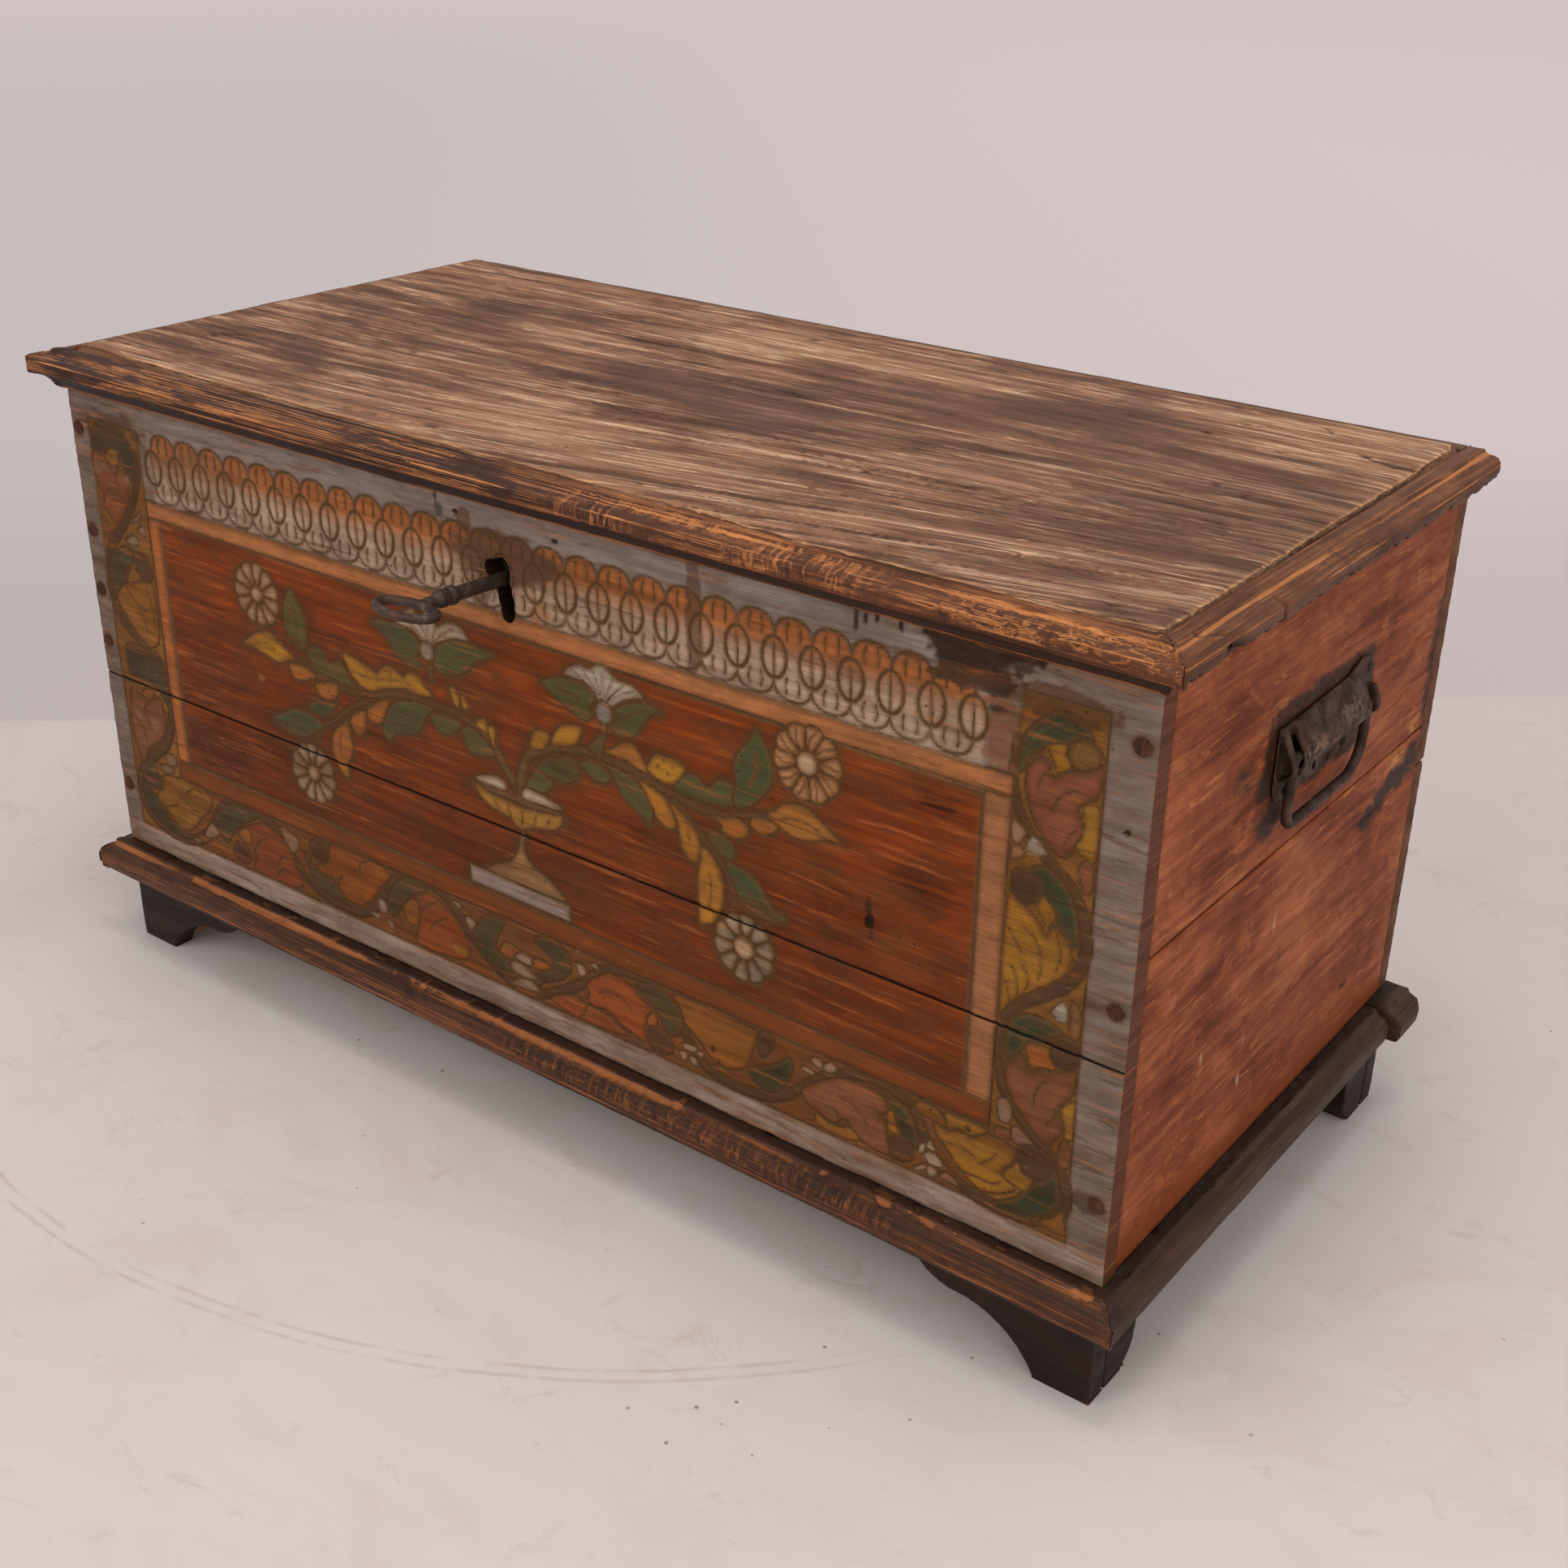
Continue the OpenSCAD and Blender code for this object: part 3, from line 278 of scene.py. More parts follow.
def right_strip(c):
    """The right strip, from its top."""
    f, s = c.fill, c.stroke
    f([(351, 290), (350.5, 300), (352, 310), (357, 318), (363, 324), (371, 329), (380, 329), (387, 325),
        (391, 318), (384, 317), (378, 313), (374, 310.5), (366, 309), (362, 303.5), (357, 301), (354, 292)],
        (66, 76, 50), edge=(92, 82, 52))
    s([(356, 306), (362, 316), (371, 321.5), (381, 322)], 0.5, (110, 104, 74), 0.5, groove=False)
    f([(377, 308.5), (379, 314), (386, 317.5), (394, 315), (397, 308), (393, 301.5), (385, 299.5),
        (379, 303)], (140, 104, 56), edge=(104, 76, 42))
    f([(366, 309.5), (376, 312), (377, 306), (380, 300.5), (373, 296), (370.5, 300), (368, 304)], YELLOW)
    f([(354.5, 290), (357, 297), (362, 301.5), (367, 301), (370, 292.5), (376, 297), (384, 300),
        (391, 302.5), (397.5, 306), (397.6, 296), (395, 288), (388, 283), (386, 279), (388, 273),
        (389.5, 266), (387, 259), (383, 253), (378, 250), (368, 257), (360, 268), (355.5, 280)],
        (152, 92, 68), edge=(124, 74, 50))
    s([(370.5, 273.5), (373, 280), (378, 286), (385, 289.5)], 0.8)
    s([(362, 285), (364, 291), (366, 295)], 0.7)
    s([(379.5, 258), (382, 264), (386, 268)], 0.7)
    f([(388, 282.5), (397, 284), (398, 268), (397, 252), (390, 255), (385, 258), (389, 266), (389.5, 273)],
        (170, 122, 46))
    f([(390, 240), (389, 248), (392, 253), (397, 250), (397.5, 238), (394, 234)], (146, 92, 62))
    f([(349, 263), (357, 258), (354, 250), (349, 252)], (170, 134, 108))
    f([(358, 252), (362, 257), (370.5, 250), (366, 247), (359, 248)], (186, 176, 156))
    f([(349.5, 248), (356, 248), (357, 244), (350, 240.5)], (172, 120, 90))
    f([(350, 228), (352.5, 235), (360, 237), (366, 234), (369, 228), (366.5, 220), (360, 217), (353, 218)],
        (92, 68, 48), edge=(80, 58, 40))
    f([(361, 238), (369, 242), (378, 239), (385, 232), (390, 221), (392, 210), (391, 201.5), (386, 207),
        (380, 211), (378, 218), (373, 222), (369, 226), (367, 232)], (62, 76, 48), edge=(94, 82, 54))
    f([(367, 217), (370, 225.5), (377, 219), (378, 214), (374, 208.5), (370, 213)], YELLOW)
    f([(349, 216), (357, 217), (364, 213), (370, 208), (373.5, 202.5), (377, 210), (383, 206.5), (388, 201),
        (389.5, 193), (386.5, 184), (380, 177), (370, 169), (360, 160), (353, 152), (349, 148)],
        (176, 126, 44), edge=(160, 104, 38))
    for v in ([(361, 203.5), (367, 199), (371, 192), (372, 183), (371, 176)],
            [(378, 209), (381, 202), (383, 194), (381, 185)], [(351, 201), (355, 195), (360, 188)],
            [(361, 181), (364, 177), (365, 170), (362.5, 165)], [(354, 179), (358, 172), (359, 163),
            (357, 155)], [(350, 166.5), (354, 168), (359, 168)], [(353, 164), (354.6, 158), (353.4, 151)]):
        s(v, 0.75)
    c.blot(384.5, 176, 6, 4.2, (78, 60, 58), 0.9, seed=3)
    f([(380, 160), (386, 168), (390, 164), (390, 157), (384, 156)], (188, 180, 164))
    f([(391, 170), (397, 166), (398, 152), (393, 146)], (146, 104, 66))
    f([(357, 118), (354.5, 128), (354.5, 138), (358, 147), (366, 153), (376, 154), (386, 151), (393, 146),
        (388, 146), (382, 145.5), (379, 140), (376, 137.5), (369, 136.5), (366, 132), (364, 127),
        (360, 124)], (62, 72, 46), edge=(96, 84, 56))
    s([(362, 140), (367, 146.5), (376, 149)], 0.6)
    f([(381, 138), (384, 145), (391, 148), (398, 145), (399, 136), (396, 129.5), (389, 127), (383, 130)],
        (94, 68, 46), edge=(84, 60, 40))
    f([(366.5, 131), (368, 134.5), (380, 136.5), (382, 131), (386, 125.5), (379, 123.5), (374, 121.5),
        (371, 118.5), (369, 124)], (176, 104, 50))
    f([(356, 117), (361, 123), (365, 126.5), (368, 122), (370.5, 117.5), (376, 121.5), (384, 124),
        (392, 127), (398, 128), (398, 117), (395, 110), (390, 103), (389, 99), (392, 94), (393, 88),
        (389, 82), (385, 76), (379, 78), (371, 85), (363, 93), (357.5, 102), (355.5, 110)], (148, 94, 66),
        edge=(122, 76, 52))
    s([(374, 96), (374.5, 104), (377, 112), (382, 117)], 0.7)
    s([(383, 88), (385.5, 93), (389, 98)], 0.7)
    f([(391, 103.5), (398.6, 110), (399.4, 98), (399.4, 86), (394, 85), (393.6, 92)], (172, 124, 48))
    f([(394, 84), (399, 78), (399, 68), (393, 66), (391, 74)], (146, 98, 62))
    f([(352, 92), (358, 95), (362, 88), (360, 80), (354, 80)], (168, 138, 116))
    f([(362, 78), (366, 80), (378, 72), (372, 69), (363, 70)], (172, 134, 116))
    f([(352, 74), (360, 76), (362, 70), (353, 68)], (160, 104, 78))


def lower_right_corner(c):
    """The corner where the right strip and the bottom one meet."""
    f, s = c.fill, c.stroke
    f([(366, 66), (372, 71), (381, 72.5), (389, 68), (391.5, 60), (387, 53), (380, 50), (372, 52),
        (367, 58)], (92, 66, 46), edge=(78, 56, 40))
    f([(353, 23), (361, 29), (368, 34), (372, 40), (375, 45), (380, 50), (386, 55), (390, 62), (393.5, 56),
        (394.6, 46), (392, 36), (385, 28.5), (374, 24), (362, 22)], (55, 69, 46), edge=(84, 76, 50))
    f([(313, 60), (321, 58), (330, 61), (337, 60), (342, 64), (350, 67), (359, 67), (366, 64), (365, 57),
        (362, 52), (359, 47), (367, 39), (362, 34), (354, 30), (346, 28), (338, 31), (330, 37), (322, 45),
        (314, 53)], (174, 122, 44), edge=(156, 100, 38))
    f([(359, 47), (364, 53), (368, 57.5), (371, 52), (378, 50), (374, 41), (366, 41.5), (360, 43.5)],
        (176, 126, 44))
    for v in ([(344, 46), (350, 51), (354, 57)], [(332, 35.5), (342, 36), (352, 36), (358, 40)],
            [(318, 50), (330, 51), (340, 49)], [(355, 45), (360, 43.5)]):
        s(v, 0.7)
    f([(300, 64), (302, 69.5), (312, 70), (319, 66), (321, 60), (310, 60.5)], (160, 104, 46))
    f([(322, 70), (347, 70), (345, 66), (336, 61), (330, 62.5), (322, 60.5), (320, 66)], (176, 126, 44))
    c.blot(335, 66, 2.2, 2.4, (84, 56, 30), 0.9, seed=5)
    f([(383, 24), (391, 31), (397, 38), (399, 30), (399.5, 22)], (164, 112, 46))
    for p in ([(311, 47), (308, 41), (315, 40)], [(304, 41), (303, 35), (307, 36), (308, 43)],
            [(307, 36), (313, 39), (320, 35), (319, 31), (311, 30)], [(300, 22.5), (309, 29.5), (308, 24)],
            [(310, 29), (316.5, 28), (315, 22.5), (310, 22.5)]):
        f(p, IVORY)
    f([(318, 24), (322, 29.5), (330, 27), (331, 23)], (172, 132, 110))


def bottom_right(c):
    """The bottom strip's right half."""
    f, s = c.fill, c.stroke
    f([(272, 65), (283, 65), (292, 61), (299, 54), (303, 45), (302, 36), (296, 36), (291, 40), (288, 46),
        (285, 54), (281, 59)], (71, 71, 43), edge=(98, 80, 52))
    f([(281, 53), (285, 55), (288, 47), (290, 41), (283, 40.5), (281, 46)], (176, 120, 48))
    f([(282, 31), (284, 37), (291, 40), (299, 36), (300, 28), (292, 23), (284, 24)], (96, 68, 48),
        edge=(84, 58, 40))
    f([(220, 41), (231, 52), (245, 61), (258, 64.5), (270, 64.5), (279, 60), (281, 52), (277, 48), (281, 42),
        (282.5, 34), (284, 24.5), (275, 22.5), (263, 25), (256, 31), (251, 34), (246, 29), (240, 28.5),
        (232, 32), (226, 33)], (154, 98, 70), edge=(132, 78, 50))
    for v in ([(248, 49), (257, 47.5), (264, 43), (268, 37.5)], [(238, 38), (245, 38.5), (247, 35)],
            [(254, 35), (251, 30), (245, 28), (238, 29.5)], [(222, 32.5), (229, 33), (231, 26), (225, 22.5)],
            [(272, 51), (278, 47), (280, 41)]):
        s(v, 0.75)
    f([(231, 31), (240, 27.5), (249, 28), (256, 31), (263, 25), (252, 21.5), (233, 22.5)], (168, 112, 50))
    for p in ([(226, 67), (233, 69), (236, 64), (230, 62)], [(235, 64), (240, 70), (246, 67), (241, 62)],
            [(220.5, 59.5), (229, 58.5), (228, 55.5), (221, 56)]):
        f(p, (180, 148, 122))
    f([(200, 31), (207, 38), (212, 47), (214, 56), (211.5, 61), (207, 58), (203, 54), (196, 49), (188, 45),
        (180, 40), (184, 33), (192, 30)], (66, 71, 43), edge=(90, 78, 50))
    f([(190, 52), (195, 56), (200, 64), (198, 70), (189, 70), (187, 60)], (98, 70, 48))
    f([(122, 70), (140, 71), (160, 72), (175, 70), (187, 69.5), (186, 60), (183, 52), (181, 44), (176, 38),
        (168, 34), (158, 33), (150, 37), (140, 46), (131, 52), (127, 61)], (164, 104, 44),
        edge=(150, 88, 40))
    for v in ([(188, 70), (186, 62), (188, 56)], [(168, 68), (172, 70), (176, 70.5)],
            [(150, 30), (157, 33), (158, 37)], [(143, 32), (150, 28.5), (158, 33)]):
        s(v, 0.8)
    c.blot(153.5, 43.5, 2.6, 2.6, (84, 56, 38), 0.95, seed=6)
    for p in ([(130, 38), (140, 39), (139, 34), (130, 34)], [(141, 37), (146, 37), (145, 33), (141, 34)],
            [(126, 31), (133, 31), (130, 23)], [(134, 30), (140, 31), (141, 25), (136, 25)]):
        f(p, (178, 146, 122))
    f([(91, 64), (100, 70), (112, 70.5), (121, 66), (128, 59), (130, 51), (127, 43), (121, 39), (115, 42),
        (110, 50), (104, 56), (97, 60)], (92, 80, 50), edge=(102, 78, 48))
    f([(50, 50), (58, 58), (68, 64.5), (78, 65.5), (88, 62), (96, 57), (103, 53.5), (109, 51), (104, 45),
        (99, 38), (99.5, 30), (98, 25.5), (89, 27), (80, 30), (73, 34), (66, 36.5), (58, 35), (50, 37),
        (52, 44)], (164, 88, 48), edge=(146, 76, 42))
    s([(60, 47), (70, 51), (80, 50), (88, 45)], 0.7)
    s([(50, 36.5), (58, 34.5), (66, 36)], 1.0)
    s([(71, 35), (77, 30), (86, 27)], 0.9)
    f([(100, 44), (106, 51), (109, 42), (102, 39)], (176, 112, 50))
    f([(102, 38), (110, 41), (119, 37), (122, 28), (114, 22.5), (103, 23)], (98, 68, 46))
    f([(18, 27), (30, 34), (40, 36.5), (48, 35), (60, 34), (70, 33), (76, 29), (86, 25), (70, 21.5),
        (50, 21), (30, 22)], (158, 84, 44))
    s([(50, 35), (48, 28), (44, 22)], 0.8)
    c.blot(92, 24.5, 6, 2.2, (96, 74, 64), 0.8, seed=9)
    for p in ([(41, 62), (48, 63), (50, 57), (46, 53.5), (43, 56)], [(53, 65), (58, 68), (61, 63)],
            [(40, 70), (44, 74), (45, 70)]):
        f(p, (182, 158, 136))


def bottom_middle(c):
    """The middle of the bottom strip."""
    f = c.fill
    f([(5, 66), (15, 72), (28, 71), (36, 64), (37, 54), (30, 46), (22, 40), (12, 36), (8, 30), (4, 34),
        (8, 42), (15, 46), (22, 50), (20, 57), (12, 61)], (86, 78, 50), edge=(98, 76, 46))
    f([(-20, 69), (-28, 72.5), (-38, 68), (-47, 58), (-50, 46), (-44, 36), (-34, 31), (-22, 32), (-14, 34),
        (-14, 42), (-22, 43), (-29, 45), (-29, 52), (-25, 61)], (84, 78, 50), edge=(96, 76, 46))
    f([(-27, 46), (-20, 55), (-8, 52), (-12, 45), (-20, 42.5)], (160, 96, 48))
    f([(2, 50), (12, 53), (20, 50), (12, 45), (4, 44)], (160, 94, 48))
    for p in ([(-14, 46), (-7, 52), (2, 51), (2, 44), (-8, 44)],
            [(-18, 40), (-10, 44), (0, 41), (7, 36), (-4, 33), (-14, 34)],
            [(-17, 25), (-9, 32), (2, 33), (9, 27), (-4, 24.5)]):
        f(p, (176, 148, 126), edge=(150, 122, 98))


def bottom_left(c):
    """The bottom strip's left half."""
    f, s = c.fill, c.stroke
    f([(-118, 47), (-111, 56), (-100, 62), (-90, 66.5), (-80, 63), (-70, 58), (-62, 50), (-56, 42),
        (-55, 33), (-60, 26), (-80, 22), (-105, 21.5), (-105, 32), (-102, 40), (-106, 36), (-114, 36),
        (-118, 40)], (158, 84, 42), edge=(146, 76, 40))
    f([(-118, 47), (-111, 55), (-103, 56), (-102, 46), (-106, 36), (-114, 36)], (170, 108, 46))
    for v in ([(-103, 42), (-99, 50), (-92, 57), (-84, 61)], [(-92, 38), (-86, 46), (-76, 52)],
            [(-108, 24), (-104, 34), (-101, 42)]):
        s(v, 0.8)
    c.blot(-63, 32, 7, 4, (166, 120, 56), 0.7, seed=8)
    f([(-134, 42), (-129, 56), (-121, 66), (-110, 71.5), (-98, 71), (-93, 67), (-104, 61), (-112, 54),
        (-119, 46), (-124, 38), (-130, 34)], (90, 78, 50), edge=(100, 76, 48))
    for p in ([(-70, 68.5), (-61, 69), (-62, 64)], [(-58, 60), (-50, 62), (-48, 56), (-53, 51)],
            [(-46, 73), (-36, 74), (-44, 70)], [(-143, 44), (-136, 44), (-134, 36), (-141, 34)],
            [(-152, 30), (-143, 32), (-144, 27)], [(-136, 31), (-128, 29), (-132, 24)]):
        f(p, (172, 142, 120))
    f([(-205, 50), (-195, 54), (-190, 62), (-189, 71), (-170, 75), (-150, 73), (-136, 71), (-128, 66),
        (-135, 58), (-142, 50), (-148, 42), (-154, 36), (-162, 31.5), (-172, 31), (-180, 35), (-186, 41),
        (-193, 44), (-200, 44)], (160, 92, 42), edge=(148, 82, 38))
    for v in ([(-159, 57), (-159, 65), (-152, 70), (-146, 72)], [(-191, 45), (-183, 45), (-178, 50)],
            [(-182, 45), (-184, 39)]):
        s(v, 0.8)
    f([(-191, 62), (-196, 70), (-206, 70), (-211, 62), (-206, 54), (-196, 54)], (96, 66, 48))
    f([(-217, 54), (-214, 42), (-206, 33), (-196, 28.5), (-185, 28), (-177, 31), (-184, 37), (-192, 43),
        (-201, 43), (-208, 48), (-212, 56)], (88, 78, 48), edge=(98, 76, 46))
    f([(-290, 47), (-282, 54), (-272, 60), (-258, 64.5), (-246, 62), (-236, 56), (-230, 48), (-228, 38),
        (-222, 30), (-226, 23), (-240, 21), (-262, 20.5), (-275, 23), (-272, 34), (-276, 41), (-284, 43)],
        (150, 80, 46), edge=(132, 70, 42))
    for v in ([(-272, 40), (-266, 48), (-258, 53)], [(-248, 34), (-244, 42), (-236, 44)],
            [(-250, 24), (-247, 30), (-240, 34)]):
        s(v, 0.8)
    f([(-290, 47), (-284, 53), (-276, 52), (-276, 42), (-284, 42)], (164, 104, 48))
    f([(-316, 50), (-308, 60), (-300, 67), (-288, 71.5), (-272, 72.5), (-262, 70.5), (-270, 64), (-280, 58),
        (-290, 50), (-298, 42), (-303, 34), (-312, 40)], (84, 76, 50), edge=(94, 72, 46))
    f([(-297, 33), (-292, 40), (-284, 40), (-278, 34), (-280, 26), (-289, 22.5), (-296, 26)], (90, 60, 46))
    for p in ([(-242, 68), (-222, 64), (-230, 50)], [(-322, 45), (-313, 40), (-318, 34), (-331, 31)],
            [(-345, 26), (-334, 27), (-340, 22)]):
        f(p, (158, 126, 104))
    f([(-383, 51), (-376, 56), (-373, 62), (-372, 69), (-350, 72), (-335, 73), (-320, 69), (-317, 62),
        (-322, 54), (-330, 47), (-338, 38), (-346, 31), (-356, 28.5), (-364, 31), (-371, 38), (-376, 43),
        (-382, 45)], (160, 112, 48), edge=(148, 98, 44))
    for v in ([(-373, 42.5), (-366, 45), (-359, 48)], [(-356, 56), (-348, 54), (-342, 50), (-334, 50)],
            [(-346, 62), (-338, 68), (-328, 68)]):
        s(v, 0.9)
    f([(-399, 58), (-400, 44), (-394, 34), (-384, 26), (-370, 21.5), (-352, 21), (-346, 26), (-358, 27.5),
        (-368, 32), (-376, 40), (-384, 46), (-390, 56), (-395, 61)], (78, 72, 52), edge=(86, 68, 46))
    f([(-376, 64), (-380, 73), (-388, 77), (-396, 74), (-399, 66), (-394, 57), (-384, 54), (-377, 57)],
        (98, 74, 56))


def left_strip(c):
    """The left strip, from its top."""
    f, s = c.fill, c.stroke
    f([(-404, 312), (-403, 324), (-398, 332), (-388, 336), (-376, 335.5), (-366, 330), (-359, 320),
        (-356.5, 308), (-359, 297), (-364, 298), (-369, 304), (-375, 310), (-383, 313), (-392, 311)],
        (86, 72, 54), edge=(80, 62, 46))
    c.blot(-363, 316, 7, 12, (66, 65, 43), 0.7, seed=11)
    f([(-390, 311), (-383, 317.5), (-376, 316), (-376.5, 307), (-382, 302.5)], (164, 120, 52))
    f([(-406, 308), (-398, 309.5), (-390, 306.5), (-383, 299), (-377, 302.5), (-370, 302), (-365, 298),
        (-368, 290), (-370, 282), (-376, 272), (-383, 263.5), (-389, 261), (-395, 267), (-401, 274),
        (-399, 282), (-404, 291)], (154, 94, 60), edge=(140, 84, 54))
    c.blot(-401, 301, 6, 5, (164, 134, 108), 0.8, seed=12)
    c.blot(-388, 303, 9, 3.5, (166, 132, 108), 0.7, seed=13)
    c.blot(-367, 297, 3.6, 4, (172, 134, 108), 0.8, seed=14)
    s([(-399, 275), (-394, 284), (-386, 288)], 0.8)
    s([(-383, 299), (-380, 292), (-382, 284)], 0.7)
    for p in ([(-371, 266), (-363, 273), (-357, 277), (-360, 270)],
            [(-380, 250), (-371, 256.5), (-365, 255), (-367, 249)], [(-364, 262), (-357, 266), (-356, 258)]):
        f(p, (164, 134, 114))
    f([(-405, 262), (-399, 262), (-396, 252), (-404, 249)], (150, 98, 60))
    f([(-404, 213), (-403, 228), (-396, 238), (-386, 244.5), (-376, 247), (-370, 243), (-373, 236),
        (-379, 232), (-384, 226), (-385, 218), (-391, 211), (-397, 205)], (96, 84, 54), edge=(96, 78, 50))
    f([(-384, 220), (-378, 230.5), (-371, 229), (-367, 223.5), (-376, 219.5)], (164, 118, 52))
    f([(-373, 236), (-372, 243), (-362, 245), (-354.5, 240), (-353.5, 228), (-360, 223.5), (-368, 226)],
        (98, 70, 50))
    f([(-399, 204), (-392, 213.5), (-385, 218), (-376, 220), (-366, 223.5), (-356, 223), (-353.5, 214),
        (-353.5, 190), (-357, 178), (-366, 172.5), (-375, 176), (-385, 184), (-393, 194)], (160, 108, 48),
        edge=(150, 96, 44))
    for v in ([(-386, 214), (-378, 206), (-366, 200)], [(-376, 204), (-370, 194), (-368, 184)],
            [(-362, 218), (-358, 206), (-358, 192)]):
        s(v, 0.8)
    f([(-398, 160), (-396, 168), (-386, 171), (-372, 168), (-360, 161), (-353, 150), (-351, 138),
        (-356, 130), (-361, 136), (-368, 141), (-376, 144), (-387, 144), (-397, 146)], (84, 74, 52),
        edge=(84, 66, 46))
    f([(-385, 133), (-378, 138), (-370, 136.5), (-373, 130), (-382, 129)], (166, 106, 54))
    f([(-398, 132), (-388, 130.5), (-380, 126), (-373, 130), (-364, 133), (-360.5, 124), (-360.5, 112),
        (-366, 101), (-374, 94), (-384, 87), (-394, 72.5), (-398, 80), (-402, 92), (-402, 112)],
        (146, 96, 66), edge=(130, 82, 56))
    for v in ([(-380, 126), (-384, 118), (-380, 108)], [(-398, 112), (-390, 104), (-386, 94)]):
        s(v, 0.8)
    c.blot(-392, 115, 4, 4, (170, 130, 104), 0.7, seed=15)
    c.blot(-374, 110, 5, 6, (160, 124, 98), 0.6, seed=16)
    for p in ([(-366, 88), (-356, 90), (-354, 82), (-364, 80)],
            [(-376, 76), (-366, 79), (-358, 76), (-368, 71)]):
        f(p, (150, 118, 96))


# Stains and worn places, and in the frieze's table also painted shadow: centre x, z, half sizes, colour,
# strength, raggedness, seed
FRIEZE_MARKS_AND_SHADOW = (
    (-6, 322, 42, 18, (100, 70, 52), 0.93, 0.3, 21),
    (-58, 343, 4.2, 4.6, (84, 84, 80), 0.95, 0.5, 22),
    (-37, 340, 6, 8, (112, 80, 64), 0.9, 0.4, 23),
    (139.5, 326, 5.5, 44, (98, 70, 50), 0.75, 0.35, 24),
    (-374, 334, 34, 9, (98, 68, 42), 0.75, 0.9, 56),
    (374, 334, 34, 9, (98, 68, 42), 0.75, 0.9, 56),
    (339, 306, 9, 24, (146, 98, 70), 0.75, 1.0, 49),
    # These two rows: a stain at the top right, darkened further as painted shadow cast by the lid moulding
    # above
    (325, 350, 31, 12, (38, 27, 22), 0.95, 1.0, 37),
    (317, 338, 20, 12, (44, 31, 25), 0.9, 1.0, 37),
    (334, 334, 8, 14, (58, 40, 32), 0.8, 1.0, 39),
    (347, 353, 16, 7, (62, 46, 38), 0.8, 1.0, 32),
    (320, 330, 13, 6, (80, 56, 44), 0.8, 1.0, 38),
    (249, 347, 1.3, 7, (38, 27, 23), 0.95, 0.3, 37),
    (255, 349, 1.3, 4, (38, 27, 23), 0.95, 0.3, 37),
    (262, 351, 1.3, 3.5, (38, 27, 23), 0.95, 0.3, 37),
    (277, 350, 1.3, 4, (38, 27, 23), 0.95, 0.3, 37),
    (-60, 350, 1.3, 3, (38, 27, 23), 0.95, 0.3, 37),
    (13, 302, 11, 5, (196, 160, 130), 0.85, 0.6, 51),
    (24, 294, 9, 7, (182, 112, 66), 0.6, 0.6, 52),
    (-26, 296, 9, 12, (104, 76, 56), 0.8, 0.5, 53),
    (-300, 316, 42, 18, (132, 96, 70), 0.45, 0.5, 26),
)
PANEL_BLOTS = (
    (305.6, 256.7, 22, 7, (96, 46, 30), 0.7, 0.4, 41),
    (304.5, 256.9, 12, 2.8, (34, 24, 20), 0.97, 0.5, 40),
    (294, 202, 22, 15, (96, 44, 26), 0.6, 0.5, 42),
    (292, 203, 8, 7, (74, 38, 26), 0.7, 0.3, 49),
    (264, 172, 3.6, 6, (32, 22, 18), 0.97, 0.5, 43),
    (263, 180.5, 2.0, 5, (36, 24, 20), 0.95, 0.4, 44),
    (266, 163, 2.2, 3.5, (46, 30, 24), 0.9, 0.4, 39),
    (-244, 182, 3.4, 2, (188, 130, 110), 0.85, 0.4, 45),
    (287, 158, 20, 17, (160, 94, 58), 0.5, 0.5, 46),
    (-302, 115, 34, 20, (88, 48, 36), 0.6, 0.4, 47),
    (40, 150, 290, 9, (150, 84, 50), 0.25, 0.7, 48),
)


def paint_frieze(c):
    """Ovals between scallops along the top."""
    c.fill([(-337, 288), (329, 286.5), (330, 323), (-337, 323)], (184, 158, 134), smooth=False,
        outline=False)
    centres = [-159.1 + 25.35 * k for k in range(-7, 20)]
    for cx in centres:
        mid, far = cx + 12.7, cx + 25.4
        if far > 331:
            break
        arch = [(cx, 325), (cx + 1.4, 331), (cx + 5.5, 335.2), (mid, 336.6), (cx + 19.9, 335.2),
            (cx + 24, 331), (far, 325)]
        c.fill([(cx, 320)] + arch + [(far, 320)], (176, 106, 58), outline=False, soft=0.5, smooth=False)
        c.stroke(arch, 1.1)
        for e in (-1, 1):
            c.stroke([(mid + 3.6 * e, 333.4), (mid + 4.6 * e, 329), (mid + 4.2 * e, 324)], 1.0)
            c.stroke([(mid + 3.7 * e, 301.5), (mid + 4.8 * e, 297), (mid + 3.9 * e, 293)], 1.0)
        c.stroke([(cx, 297.5), (cx + 2, 292.6), (cx + 6.4, 289.6), (mid, 288.6), (cx + 19, 289.6),
            (cx + 23.4, 292.6), (far, 297.5)], 1.1)
    for cx in centres:
        if cx > 326:
            break
        ring = oval(cx, 311.8, 8.2, 12, 12)
        c.fill(ring, (190, 164, 140), outline=False, mix=0.35)
        c.stroke(ring, 1.15, (112, 88, 58), 0.85, closed=True)
        c.stroke([(cx - 0.6, 321.5), (cx, 312), (cx + 0.4, 302)], 0.8, (120, 94, 64), 0.8)
    m = (c.z > 300) & (c.z < 323) & (np.abs(c.x + 4) < 334)
    fade = np.where(m, 0.8 * step(306, 322, c.z + 7 * (fbm(c.x / 12, c.z / 5, 0, 27) - 0.5)), 0)[..., None]
    c.col[:] = c.col * (1 - fade) + np.array(lin(178, 112, 66)) * fade
    for row in FRIEZE_MARKS_AND_SHADOW:
        c.blot(*row)


